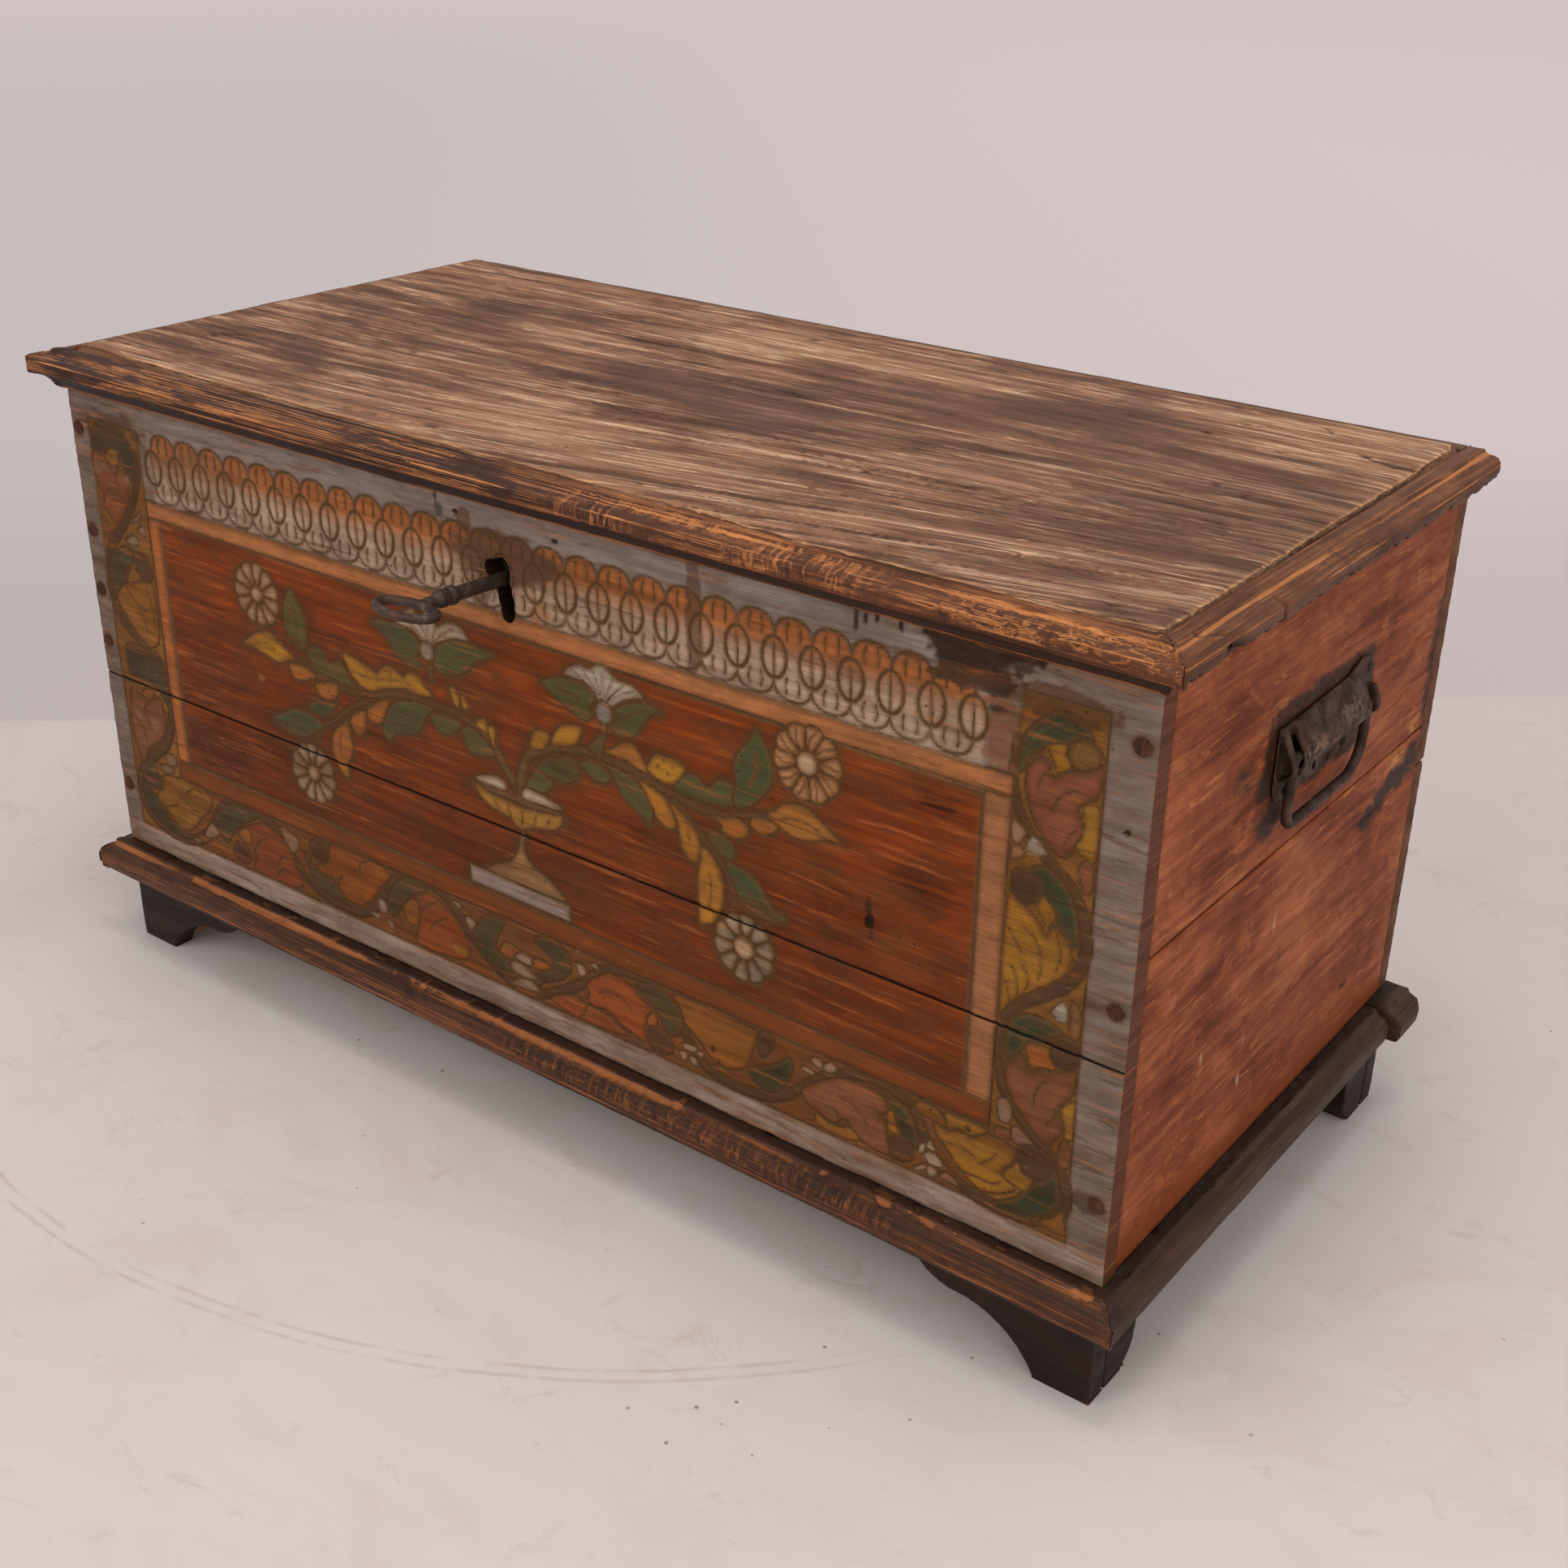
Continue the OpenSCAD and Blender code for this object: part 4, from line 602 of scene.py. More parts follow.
def rosette(c, cx, cz, r, button, n, colour, edge, turn=0.0, comma=None):
    """A flower of n petals round a button; comma is the colour of a line in each petal."""
    for k in range(n):
        a = turn + 2 * math.pi * k / n
        w = math.pi / n * 1.06
        pts = []
        for out, q in ((button * 0.92, 0), (r * 0.62, -w), (r * 0.9, -w * 0.92), (r, -w * 0.35),
                (r, w * 0.35), (r * 0.9, w * 0.92), (r * 0.62, w)):
            pts.append((cx + out * math.sin(a + q), cz + out * math.cos(a + q)))
        c.fill(pts, colour, edge=edge, dome=2.2)
        if comma:
            bent = ((0.45, -0.1), (0.68, -0.05), (0.9, 0.08))
            c.stroke([(cx + r * k * math.sin(a + q), cz + r * k * math.cos(a + q)) for k, q in bent],
                     0.8, comma, 0.9, groove=False)
    c.fill(oval(cx, cz, button, button, 10), (182, 152, 120), edge=(140, 104, 72), dome=2.5)
    m = c.near(np.array([[cx - r, cz - r], [cx + r, cz + r]]), 2)
    d = np.hypot(c.x[m] - cx, c.z[m] - cz)
    bowl = np.where(d < r, 0.55 * np.exp(-((d - button - 1.2) / 3.5) ** 2) + 0.4 * step(r * 0.75, r, d), 0)
    c.sunk[m] += np.where(d > button, bowl, 0)


def paint_panel(c):
    """The framed panel: two branches with lilies and rosettes that grow from an urn."""
    for part in (panel_frame, branch_stems, left_branch, lilies, right_branch, urn, rosettes, panel_wear):
        part(c)


def panel_frame(c):
    """The frame round the panel, and its ground."""
    f = c.fill
    for box, tone in (((-350.6, 72, -338, 287), (178, 104, 54)), ((331, 71, 348, 287), (170, 112, 74)),
            ((-350.6, 273.5, 348, 286.5), (188, 120, 72)), ((-350.6, 72.5, 348, 88), (146, 82, 44))):
        x0, z0, x1, z1 = box
        f([(x0, z0), (x1, z0), (x1, z1), (x0, z1)], tone, smooth=False, dome=1.4,
            edge=tuple(int(v * 0.86) for v in tone), mark=False)
    panel = [(-337, 89.5), (330, 87.5), (330.5, 271.5), (-337, 274.5)]
    f(panel, (132, 66, 38), smooth=False, mark=False, dome=0.8)
    c.ground[:] = np.where((c.x > -337) & (c.x < 330) & (c.z > 88) & (c.z < 273), NO_SHAPE, c.ground)


def branch_stems(c):
    """The stems of both branches."""
    c.ribbon([(-2, 160), (-4, 170), (-9, 179), (-15.6, 187), (-22, 195), (-31, 202), (-44.4, 206.7),
        (-59, 208.5), (-75.6, 208.3), (-92, 207.8), (-110, 206.2), (-125.6, 201.5), (-142, 197.5),
        (-159, 196), (-176, 199), (-192, 205), (-206, 207.5)], [8, 7.5, 7, 6, 5.5, 5, 4.5, 4, 3],
        (112, 84, 48), (92, 66, 40))
    c.ribbon([(-136.7, 194), (-147.8, 188), (-158.9, 180), (-170, 171), (-180, 165), (-187, 158),
        (-192, 149)], [4.5, 4, 3.5, 3], (108, 82, 48), (90, 66, 40))
    c.ribbon([(-1, 160), (0, 172), (1.5, 184), (6, 195), (14, 202), (26, 208), (39, 211.5), (50, 213.3),
        (62.2, 214.2), (77.8, 213.3), (94.4, 211.6), (111, 208.6), (127.8, 205.4), (144.4, 203.3),
        (161, 205), (178, 210), (191, 214)], [8, 8, 8, 7.5, 6.5, 6, 5, 4, 3.5], (112, 84, 48), (92, 66, 40))
    c.ribbon([(122, 204), (133.3, 196), (144.4, 186), (155.6, 176), (163.3, 168), (168.5, 156), (169, 147)],
        [5, 5, 4.5, 4], (108, 82, 48), (90, 66, 40))
    c.ribbon([(-74.4, 236), (-75, 230), (-74.6, 224)], [5, 4, 5], OLIVE, BROWN)
    c.ribbon([(70.5, 237), (70, 230), (66, 222), (62, 214)], [5, 5, 8, 15], OLIVE, BROWN)


def left_branch(c):
    """Leaves of the left branch."""
    f, s = c.fill, c.stroke
    f([(-204.4, 256.5), (-198.3, 248.5), (-192.2, 238.5), (-191.5, 226.7), (-193.9, 215.6), (-201.7, 213),
        (-208.3, 217.8), (-213.4, 226.7), (-214.4, 236), (-211.7, 247)], (103, 92, 48), edge=GREEN_EDGE)
    s([(-203.5, 247), (-202, 236), (-202, 224)], 0.6)
    f([(-194, 212.5), (-188.3, 219), (-179.4, 219.8), (-173.9, 214.4), (-170, 212), (-161, 216),
        (-155.6, 211), (-152, 204.4), (-148, 200), (-180.6, 202)], (94, 82, 44), edge=GREEN_EDGE)
    f([(-260.5, 203.3), (-251.7, 211), (-241.7, 217), (-230.6, 219), (-221.7, 216), (-212.8, 210),
        (-206, 205.6), (-213.9, 202), (-221.7, 198.3), (-231.7, 199), (-240.6, 201), (-249.4, 203)],
        LEAF_YELLOW, edge=WARM_EDGE)
    s([(-247, 207), (-237, 209.5), (-226, 208)], 0.6)
    f([(-213, 201), (-205, 202.4), (-196, 201.9), (-185.5, 198), (-190.6, 195), (-197, 192), (-205, 190.3),
        (-211, 193.3)], LEAF_ORANGE, edge=WARM_EDGE)
    f([(-188, 192.2), (-178.3, 196.2), (-171.7, 198), (-164.5, 196.7), (-168.6, 186.5), (-179.4, 183),
        (-186.5, 186.7)], LEAF_ORANGE, edge=WARM_EDGE)
    f([(-237, 154.4), (-227, 159.5), (-219.4, 164.3), (-211.7, 168), (-199.4, 168.6), (-189.4, 166),
        (-182.5, 163.3), (-187, 158.6), (-195, 153), (-204, 148.7), (-217, 147.4), (-228.3, 149.2)],
        (69, 78, 48), edge=GREEN_EDGE)
    s([(-226, 153.5), (-212, 158), (-198, 161)], 0.6)
    f([(-198, 172), (-192.8, 178), (-185, 181.3), (-174, 182.5), (-165.5, 186), (-178.4, 171),
        (-189.4, 170)], (69, 78, 46), edge=GREEN_EDGE)
    f([(-158.3, 222.3), (-147.8, 222.8), (-136.7, 220.3), (-126, 217), (-122.2, 221.4), (-116.7, 224.8),
        (-109, 224.3), (-101, 221.2), (-97.8, 224.8), (-92.2, 226.2), (-85.6, 224.3), (-81, 219.8),
        (-75, 216), (-76.7, 212.4), (-87.8, 211.4), (-99, 212.5), (-110, 209.7), (-121, 206.3), (-130, 202),
        (-140, 202), (-147.8, 206.3), (-152.6, 211), (-156, 216.7)], LEAF_YELLOW, edge=WARM_EDGE)
    s([(-148, 212), (-134, 211), (-120, 214), (-106, 217), (-94, 217)], 0.6)
    s([(-138, 219.5), (-134, 214)], 0.5)
    s([(-113, 223.6), (-112, 217)], 0.5)
    f([(-116.7, 198.8), (-123.3, 198.3), (-132.2, 192.6), (-138.2, 187), (-137, 180.6), (-130, 179),
        (-123.6, 182.2), (-120, 189), (-116, 195.6)], LEAF_ORANGE, edge=WARM_EDGE)
    f([(-139.5, 186), (-145.6, 184.6), (-153.6, 179.2), (-156, 172.2), (-150, 166.4), (-143, 168.6),
        (-140.4, 175.6)], LEAF_ORANGE, edge=WARM_EDGE)
    f([(-158.9, 173.6), (-165, 169.2), (-171.9, 163.5), (-176.4, 154.4), (-176.4, 146.7), (-174.3, 141),
        (-170.4, 134), (-163.3, 129), (-161, 133.3), (-161.8, 140.6), (-157.4, 146.7), (-155.2, 155.6),
        (-156.4, 164)], (164, 98, 48), edge=WARM_EDGE)
    s([(-165, 164), (-168, 154), (-167, 143)], 0.6)
    f([(-118.5, 170), (-124, 176.7), (-121.4, 184.6), (-118, 192.4), (-111.3, 200.4), (-103.3, 203.6),
        (-92.2, 206), (-75, 205.8), (-81.6, 197.8), (-86, 190), (-91.8, 183), (-103.3, 179.6),
        (-111, 177.4)], (81, 82, 48), edge=GREEN_EDGE)
    s([(-112, 184), (-104, 192), (-92, 199)], 0.6)
    f([(-78, 201), (-70, 203.6), (-59, 204.7), (-50.6, 202.3), (-50, 199), (-58.6, 192), (-66.7, 190.2),
        (-73.6, 193)], (90, 86, 48), edge=GREEN_EDGE)
    f([(-50.4, 197.8), (-44.4, 202.5), (-36.7, 201.2), (-27.8, 195.8), (-20.6, 189), (-30, 185.2),
        (-41, 184), (-47, 189)], (90, 86, 48), edge=GREEN_EDGE)
    for p in ([(-59.4, 224.6), (-54.4, 226.4), (-52, 223.3), (-49.6, 217.8), (-51.4, 212), (-55.8, 214.2)],
            [(-50, 221.3), (-46.7, 222.5), (-42, 217.9), (-43, 212.6), (-47.8, 213)],
            [(-48, 211), (-37.8, 205.4), (-36.5, 209), (-30, 212), (-27, 209), (-27, 202), (-32.4, 202.6)],
            [(-27, 208), (-20.4, 208), (-20.4, 200), (-19.8, 194.2), (-24, 195.4)]):
        f(p, (181, 131, 49), edge=WARM_EDGE)


def lilies(c):
    """The two lilies on their leaves."""
    f, s = c.fill, c.stroke
    f([(-111, 253), (-103, 259), (-97, 266), (-88, 270.5), (-82, 264), (-78, 271), (-71, 271.5), (-67, 264),
        (-60, 268), (-52, 270), (-45, 268.5), (-39, 261), (-52, 258), (-64, 254), (-72, 250), (-80, 250),
        (-92, 256)], (186, 164, 140), edge=(158, 132, 104))
    for v in ([(-76, 252), (-82, 264)], [(-72, 252), (-67, 264)], [(-80, 253), (-93, 262), (-99, 264)],
            [(-70, 253), (-60, 261), (-52, 266)], [(-75, 252), (-75, 262)]):
        s(v, 0.6)
    f([(-128.5, 251), (-122, 255.4), (-114.4, 256.4), (-99, 256.3), (-92, 253.5), (-84, 249.6), (-83, 243.3),
        (-86.4, 237.8), (-80.6, 234), (-90, 230.6), (-99, 231.3), (-104.7, 233), (-108, 238.3),
        (-114.6, 244.4), (-120.4, 248.2)], (78, 84, 48), edge=GREEN_EDGE)
    f([(-69.4, 248), (-65.6, 252.6), (-56.7, 257), (-47.8, 259.4), (-36.7, 259.4), (-25.6, 258.6),
        (-17, 257.8), (-22, 254), (-31, 249.6), (-36.5, 245.2), (-41, 240.6), (-49, 235.2), (-59, 232.4),
        (-67.8, 232.4), (-71.4, 237.8)], (78, 84, 48), edge=GREEN_EDGE)
    s([(-112, 251), (-102, 246), (-92, 240)], 0.6)
    s([(-60, 240), (-50, 247), (-36, 253)], 0.6)
    f(oval(-77.2, 244.4, 6.9, 6.9, 10), (150, 132, 108), edge=(118, 100, 78), dome=2.4)
    f([(39, 261), (44.4, 266.3), (52.2, 269.8), (60, 269.2), (64.4, 272.4), (71, 274.3), (76.7, 271),
        (82.2, 268), (89, 268.1), (96.7, 266.2), (102.5, 261.7), (94.4, 258.8), (86.7, 255.4), (80, 250.4),
        (73, 249), (66.7, 249.8), (62, 254.4), (55.6, 258.8), (46.7, 259.2)], (180, 164, 144),
        edge=(154, 130, 104))
    for e in (-24, -15, -7, 0, 8, 17, 25):
        s([(71 + e * 0.12, 252), (71 + e * 0.6, 261 - abs(e) * 0.05), (71 + e, 269 - abs(e) * 0.16)], 0.55)
    f([(20, 250), (27.8, 254.6), (37.8, 257.5), (47.8, 258.6), (57.8, 257), (64.6, 252.4), (61.2, 244.4),
        (62.4, 239), (59, 235.6), (53.3, 234), (47.8, 236.3), (40, 239.6), (30, 244), (24, 247.6)],
        (87, 88, 49), edge=GREEN_EDGE)
    f([(79.6, 247.8), (84.2, 252.5), (91, 256), (100, 258.2), (109, 258.7), (117.6, 255), (111, 254),
        (106.9, 250.7), (102.4, 245.3), (99.2, 239.8), (94.6, 235.2), (87.8, 232.4), (80, 232.9),
        (75, 235.6), (78.6, 240)], (83, 86, 49), edge=GREEN_EDGE)
    s([(32, 249), (44, 249), (54, 246)], 0.6)
    s([(84, 240), (92, 248), (104, 254.5)], 0.6)
    f(oval(71, 243.8, 7.3, 7.3, 10), (158, 150, 136), edge=(124, 112, 96), dome=2.4)


def right_branch(c):
    """Leaves of the right branch."""
    f, s = c.fill, c.stroke
    f([(10.6, 203), (9.6, 209), (12, 214.7), (17.8, 217.6), (27, 216.2), (23.6, 207.8), (19.2, 204)],
        LEAF_YELLOW, edge=WARM_EDGE)
    f([(26.2, 210.4), (29.8, 219), (34.2, 224.7), (42.2, 228.6), (52.6, 229.3), (51.2, 221), (45.8, 214.8),
        (37.8, 211.8)], LEAF_YELLOW, edge=WARM_EDGE)
    f([(70.8, 217.6), (77.6, 223.6), (85.4, 229.3), (93.3, 230.3), (98, 226.8), (102.5, 220), (107, 214.2),
        (97.8, 214), (86.7, 217.4)], (168, 106, 48), edge=WARM_EDGE)
    f([(103, 217.8), (106.5, 224.6), (111, 229.3), (122.2, 229.8), (132.6, 227), (131.3, 220),
        (126.9, 214.2), (119, 211.8), (109, 213)], (181, 127, 39), edge=WARM_EDGE)
    for p in ((113, 222), (120, 219), (124, 224), (117, 226)):
        c.blot(p[0], p[1], 1.5, 1.3, (104, 76, 40), 0.8, 0.5, seed=31)
    f([(124.4, 211.5), (129, 218), (133.3, 223), (141, 224.3), (147.8, 219.8), (152.2, 221.4),
        (155.4, 225.9), (162.2, 227.6), (168, 225.8), (169.3, 217.8), (167, 212), (150, 208.6),
        (133.3, 208)], (85, 86, 48), edge=GREEN_EDGE)
    f([(183, 266), (188, 261.2), (192.5, 254.5), (196, 246.7), (196, 237.7), (192.5, 229.8), (185.8, 222),
        (179, 215.4), (171, 213), (167.6, 217.8), (169.6, 226.7), (168.7, 235.6), (169, 243.4), (173, 250.2),
        (178.8, 258)], (74, 82, 48), edge=GREEN_EDGE)
    s([(184, 250), (184.5, 242), (180.6, 230)], 0.9, (150, 104, 48), 0.8)
    f([(4.2, 175.6), (9, 183.6), (14.4, 191.2), (22.2, 187), (27.5, 185.6), (26.9, 180.8), (20, 175.2)],
        (87, 86, 48), edge=GREEN_EDGE)
    f([(14, 191.2), (22, 200.3), (33.3, 203.6), (42.2, 207), (50.3, 203.4), (50.3, 197.6), (46.9, 192),
        (40, 188), (29, 187.4)], (85, 86, 48), edge=GREEN_EDGE)
    f([(48.8, 204.4), (60, 209.3), (70, 208.1), (75.3, 202.2), (71, 196.9), (63.3, 196.4), (57.6, 199.2)],
        (90, 86, 48), edge=GREEN_EDGE)
    f([(70.6, 211.3), (82.2, 210.3), (92.2, 208), (100.2, 202.4), (107, 195.6), (108.2, 186.7),
        (104.4, 179.6), (99.8, 184.2), (92, 188.7), (84.2, 193), (79.7, 200), (75, 206.7)], (83, 84, 48),
        edge=GREEN_EDGE)
    s([(80, 206), (90, 199), (99, 190)], 0.6)
    f([(97.4, 207.8), (109, 205.9), (116.9, 202.5), (122.5, 195.8), (126, 189), (124.6, 184.2),
        (117.8, 182.9), (110.8, 186.5), (107.4, 192.2), (103, 199)], (181, 116, 40), edge=WARM_EDGE)
    f([(119.6, 202.4), (131, 196), (140.2, 189.3), (143.6, 182.3), (144.7, 174.4), (141, 167.4),
        (133.1, 168.7), (128.7, 175.4), (127.4, 183.3), (125.2, 191)], (178, 116, 40), edge=WARM_EDGE)
    f([(145.2, 180.3), (153.4, 176), (158.2, 169.2), (161.4, 160), (162, 152.2), (160.4, 143.2),
        (155.9, 135.4), (152.4, 129.8), (143, 126.3), (141.8, 135.6), (141.3, 146.7), (141.3, 157.8),
        (142.9, 169)], (181, 123, 40), edge=WARM_EDGE)
    s([(150.6, 163), (152.2, 152), (150, 140)], 0.7)
    s([(135, 188), (136, 180)], 0.6)
    f([(148.6, 187.8), (153.2, 192.5), (161, 191.4), (168, 189.3), (169.8, 183.3), (167, 177.5),
        (157.6, 178.7)], (94, 84, 44), edge=GREEN_EDGE)
    f([(162, 174.6), (173.3, 175.3), (182.4, 172.4), (189.2, 167), (193.5, 160.2), (199.2, 155.8),
        (208.4, 153.3), (202.2, 149), (191, 146.8), (180, 149), (173, 154.2), (168.6, 162.2)], (72, 80, 48),
        edge=GREEN_EDGE)
    s([(172, 168), (182, 160), (196, 152.5)], 0.6)
    f([(151.8, 202.2), (161, 203.7), (170, 206), (178.2, 203.5), (178.7, 198), (174.6, 194.1),
        (167.8, 191.8), (159.7, 194.7), (158.6, 199)], (166, 98, 46), edge=WARM_EDGE)
    f([(179.6, 206), (182, 210.3), (189, 212), (200, 210.8), (198, 205.4), (190, 201.3), (183, 202.5)],
        (162, 96, 48), edge=WARM_EDGE)
    f([(190.6, 213.8), (197.6, 220.2), (204.2, 226), (215.6, 228.7), (223.4, 227), (231.2, 222.4),
        (239.2, 217), (244, 213.9), (232.2, 211.8), (224.4, 208.6), (215.6, 206.8), (206.5, 207.9),
        (198.8, 211.4)], (168, 108, 46), edge=WARM_EDGE)
    s([(202, 216), (216, 219), (230, 216)], 0.7)


def urn(c):
    """The urn that the branches grow from."""
    f, s = c.fill, c.stroke
    f([(-40.4, 168.6), (-32, 172.6), (-21, 174.8), (-14.2, 173), (-11.6, 169), (-16.7, 165.6),
        (-33.3, 165.6)], IVORY, edge=(156, 124, 92))
    f([(0.6, 166.3), (3, 174.2), (13.3, 174.4), (22.2, 173), (35, 169), (27.8, 166.3), (11, 165.2)], IVORY,
        edge=(156, 124, 92))
    f([(-45, 163), (-38, 166.4), (-16, 166), (2, 165), (26, 166.2), (38, 164), (36, 160.6), (10, 160.4),
        (-20, 161.4), (-42, 160.6)], (112, 82, 54))
    f([(-41.4, 164.2), (-25.6, 161.5), (-3.3, 159.8), (16.7, 161.5), (33.6, 163.8), (34.8, 160),
        (32.5, 155.4), (25.8, 150.7), (13.5, 148), (7, 146.3), (0, 143.2), (-5.8, 144), (-11, 148),
        (-22, 149.6), (-32.3, 153), (-38.2, 157.8)], (174, 128, 54), edge=(144, 98, 46))
    f([(-3, 142), (-3.6, 135.6), (-4.8, 130), (-9.4, 121), (-16, 115.2), (-26, 110.6), (-31.5, 106.5),
        (-31.5, 103), (31.5, 102.8), (28.2, 110.2), (21.2, 114.7), (14.6, 118), (7, 120.4), (1.4, 127),
        (1, 136), (1.4, 142)], (150, 110, 70), edge=(124, 90, 58))
    f([(-50, 90), (38, 90), (38, 102.2), (-50, 103.4)], (156, 138, 126), smooth=False, edge=(140, 116, 98))
    for v in ([(-24, 158), (-20, 152.5)], [(-12, 157), (-10, 150)], [(0, 156.5), (0, 147)],
            [(12, 157), (10, 150)], [(24, 158), (20, 152.5)], [(-18, 112), (0, 114.5), (18, 112.5)]):
        s(v, 0.6)


def rosettes(c):
    """Four rosettes at the ends of the branches."""
    rosette(c, -240.2, 243.4, 22.7, 6.2, 11, (172, 136, 100), (142, 102, 68), 0.15)
    rosette(c, -198.8, 122.8, 22.5, 6.2, 11, (152, 124, 98), (124, 96, 70), 0.0)
    rosette(c, 219.1, 254.8, 23.7, 7.7, 10, (186, 138, 94), (152, 100, 60), 0.2, comma=(118, 74, 44))
    rosette(c, 176.2, 122.5, 22.8, 8.0, 10, (158, 138, 112), (120, 98, 74), 0.1)


def panel_wear(c):
    """Stains, worn places and two pits."""
    for row in PANEL_BLOTS:
        c.blot(*row)
    for cx, cz, rx, rz in ((304.5, 256.9, 9, 2), (264, 173, 2.4, 7)):
        c.sunk += 1.2 * np.exp(-((c.x - cx) / rx) ** 2 - ((c.z - cz) / rz) ** 2)


def paint_front(x, z):
    """The whole front: grey border, strips, panel and frieze, then dirt, wear, carving and peg rings."""
    c = Canvas(x, z)
    wood = np.array(lin(136, 104, 82)) * (0.75 + 0.5 * fbm(x / 60, z / 3.5, 0, 5))[..., None]
    grey = np.array(lin(148, 133, 124)) * (0.86 + 0.28 * fbm(x / 28, z / 6, 0, 6))[..., None]
    rim = np.minimum(np.minimum(HALF_W - np.abs(x), TOP - z), z)
    loss = fbm(x / 30, z / 3.2, 0, 7, 6, 0.6) + 0.10 * np.exp(-rim / 2.5)
    loss = loss + 0.06 * step(-60, -420, x) * (z > 250) + 0.05 * (z < 19)
    a = (step(0.64, 0.74, loss) * 0.8)[..., None]
    c.col[:] = grey * (1 - a) + wood * a
    c.worn[:] = a[..., 0]
    low = step(-200, 100, x) * (z < 19)
    patch = (step(0.54, 0.66, fbm(x / 40, z / 4, 0, 9)) * low * 0.7)[..., None]
    c.col[:] = c.col * (1 - patch) + wood * patch
    paint_strips(c)
    paint_panel(c)
    paint_frieze(c)
    # Brown smear round the carved shapes of the panel
    inside = (c.x > -336.5) & (c.x < 329.5) & (c.z > 89) & (c.z < 273.5)
    far = c.ground
    body = inside & (far > 0)
    k = np.where(body, 0.62 * np.exp(-np.maximum(far - 1, 0) / 3.2), 0)[..., None]
    c.col[:] = c.col * (1 - k) + np.array(lin(88, 62, 38)) * k
    streak = fbm(c.x / 70, c.z / 2.6, 0, 33, 5)
    glow = np.where(body, step(0.45, 0.75, streak) * 0.5 * (1 - np.exp(-far / 6)), 0)[..., None]
    c.col[:] = c.col * (1 - glow) + np.array(lin(176, 98, 44)) * glow
    high = step(150, 250, c.z + 40 * (fbm(c.x / 90, c.z / 30, 0, 35) - 0.5))
    brown = step(0.5, 0.7, fbm(c.x / 34, c.z / 12, 0, 36, 5))
    red, green = (0.74 + 0.28 * high) * (1 - 0.28 * brown), (0.58 + 0.18 * high) * (1 - 0.2 * brown)
    tint = np.stack([red, green, 0.30 + 0.03 * high], -1)
    c.col[:] = np.where(body[..., None], c.col * tint, c.col)
    framed = (c.x > -351) & (c.x < 348.5) & (c.z > 71) & (c.z < 287)
    lowest = framed & ~inside & (c.z < 89.5)
    c.col[:] = np.where(lowest[..., None], c.col * np.array((0.74, 0.64, 0.48)), c.col)
    border = ~framed & ~((c.z > 287) & (np.abs(c.x + 4) < 336))
    grimy = step(0.5, 0.68, fbm(c.x / 40, c.z / 16, 0, 34, 5)) * 0.4
    shade = (1 - 0.12 * step(-340, -425, x)) * (1 + 0.5 * (z < 19))
    c.col[:] = np.where(border[..., None], c.col * shade[..., None], c.col)
    dull = c.col * (1 - grimy[..., None] * np.array((0.45, 0.55, 0.65))) * np.array((0.83, 0.78, 0.72))
    c.col[:] = np.where(border[..., None], dull, c.col)
    c.sunk += np.where(inside, 0.75 * step(0, 1.6, far) * (0.45 + 0.55 * np.exp(-far / 9)), 0)
    c.sunk += 0.7 * np.exp(-((c.line / 0.95) ** 2))
    # A ring round each peg, listed by its distance below the top
    for cx, drops in ((417, (43, 192, 314)), (-417, (40, 115, 160, 200, 317))):
        for dz in drops:
            d = np.hypot(x - cx, z - (TOP - dz))
            c.line = np.minimum(c.line, np.abs(d - 5.2) + 0.45)
            c.sunk += 0.5 * np.exp(-(((d - 5.2) / 1.1) ** 2))
            dirt = (0.4 * np.exp(-np.maximum(d - 5, 0) / 1.6))[..., None]
            c.col[:] = c.col * (1 - dirt) + np.array(lin(92, 62, 50)) * dirt
    c.blot(411, 51, 10, 6.5, (76, 54, 44), 0.75, 0.5, seed=54)
    c.blot(404, 174, 7, 4, (104, 78, 66), 0.6, 0.5, seed=55)
    # Three holes, each a shallow dip coloured near black as painted shade inside it
    for hx, hz in ((413.5, 275.5), (-44, 343), (37, 342)):
        c.blot(hx, hz, 2.2, 1.8, (30, 20, 18), 1.0, 0.2, seed=50)
        c.sunk += 2.0 * np.exp(-(((x - hx) ** 2 + (z - hz) ** 2) / 2.2))
    return c


# Meshes


def store(mesh, values):
    """Writes one number for each vertex under each name."""
    for key, v in values.items():
        mesh.attributes.new(key, "FLOAT", "POINT").data.foreach_set("value", np.asarray(v, np.float32))


def vertex_vectors(mesh, what):
    flat = np.empty(len(mesh.vertices) * 3)
    mesh.vertices.foreach_get(what, flat)
    return flat.reshape(-1, 3)


def new_object(name, verts, faces, values, colours):
    me = bpy.data.meshes.new(name)
    me.from_pydata([tuple(v) for v in verts], [], faces)
    me.validate()
    store(me, values)
    rgba = np.c_[np.asarray(colours), np.ones(len(colours))].astype(np.float32)
    me.attributes.new("paint", "FLOAT_COLOR", "POINT").data.foreach_set("color", rgba.ravel())
    ob = bpy.data.objects.new(name, me)
    bpy.context.collection.objects.link(ob)
    return ob


def recalc(ob):
    """Turns all faces outwards."""
    bm = bmesh.new()
    bm.from_mesh(ob.data)
    bmesh.ops.recalc_face_normals(bm, faces=bm.faces)
    bm.to_mesh(ob.data)
    bm.free()


# Painted shade: the walls of a hole right through a board are coloured near black
HOLE_SHADE_TONE = lin(26, 19, 16)
LIP = 0.04  # the first ring of a board's side, as a share of its depth


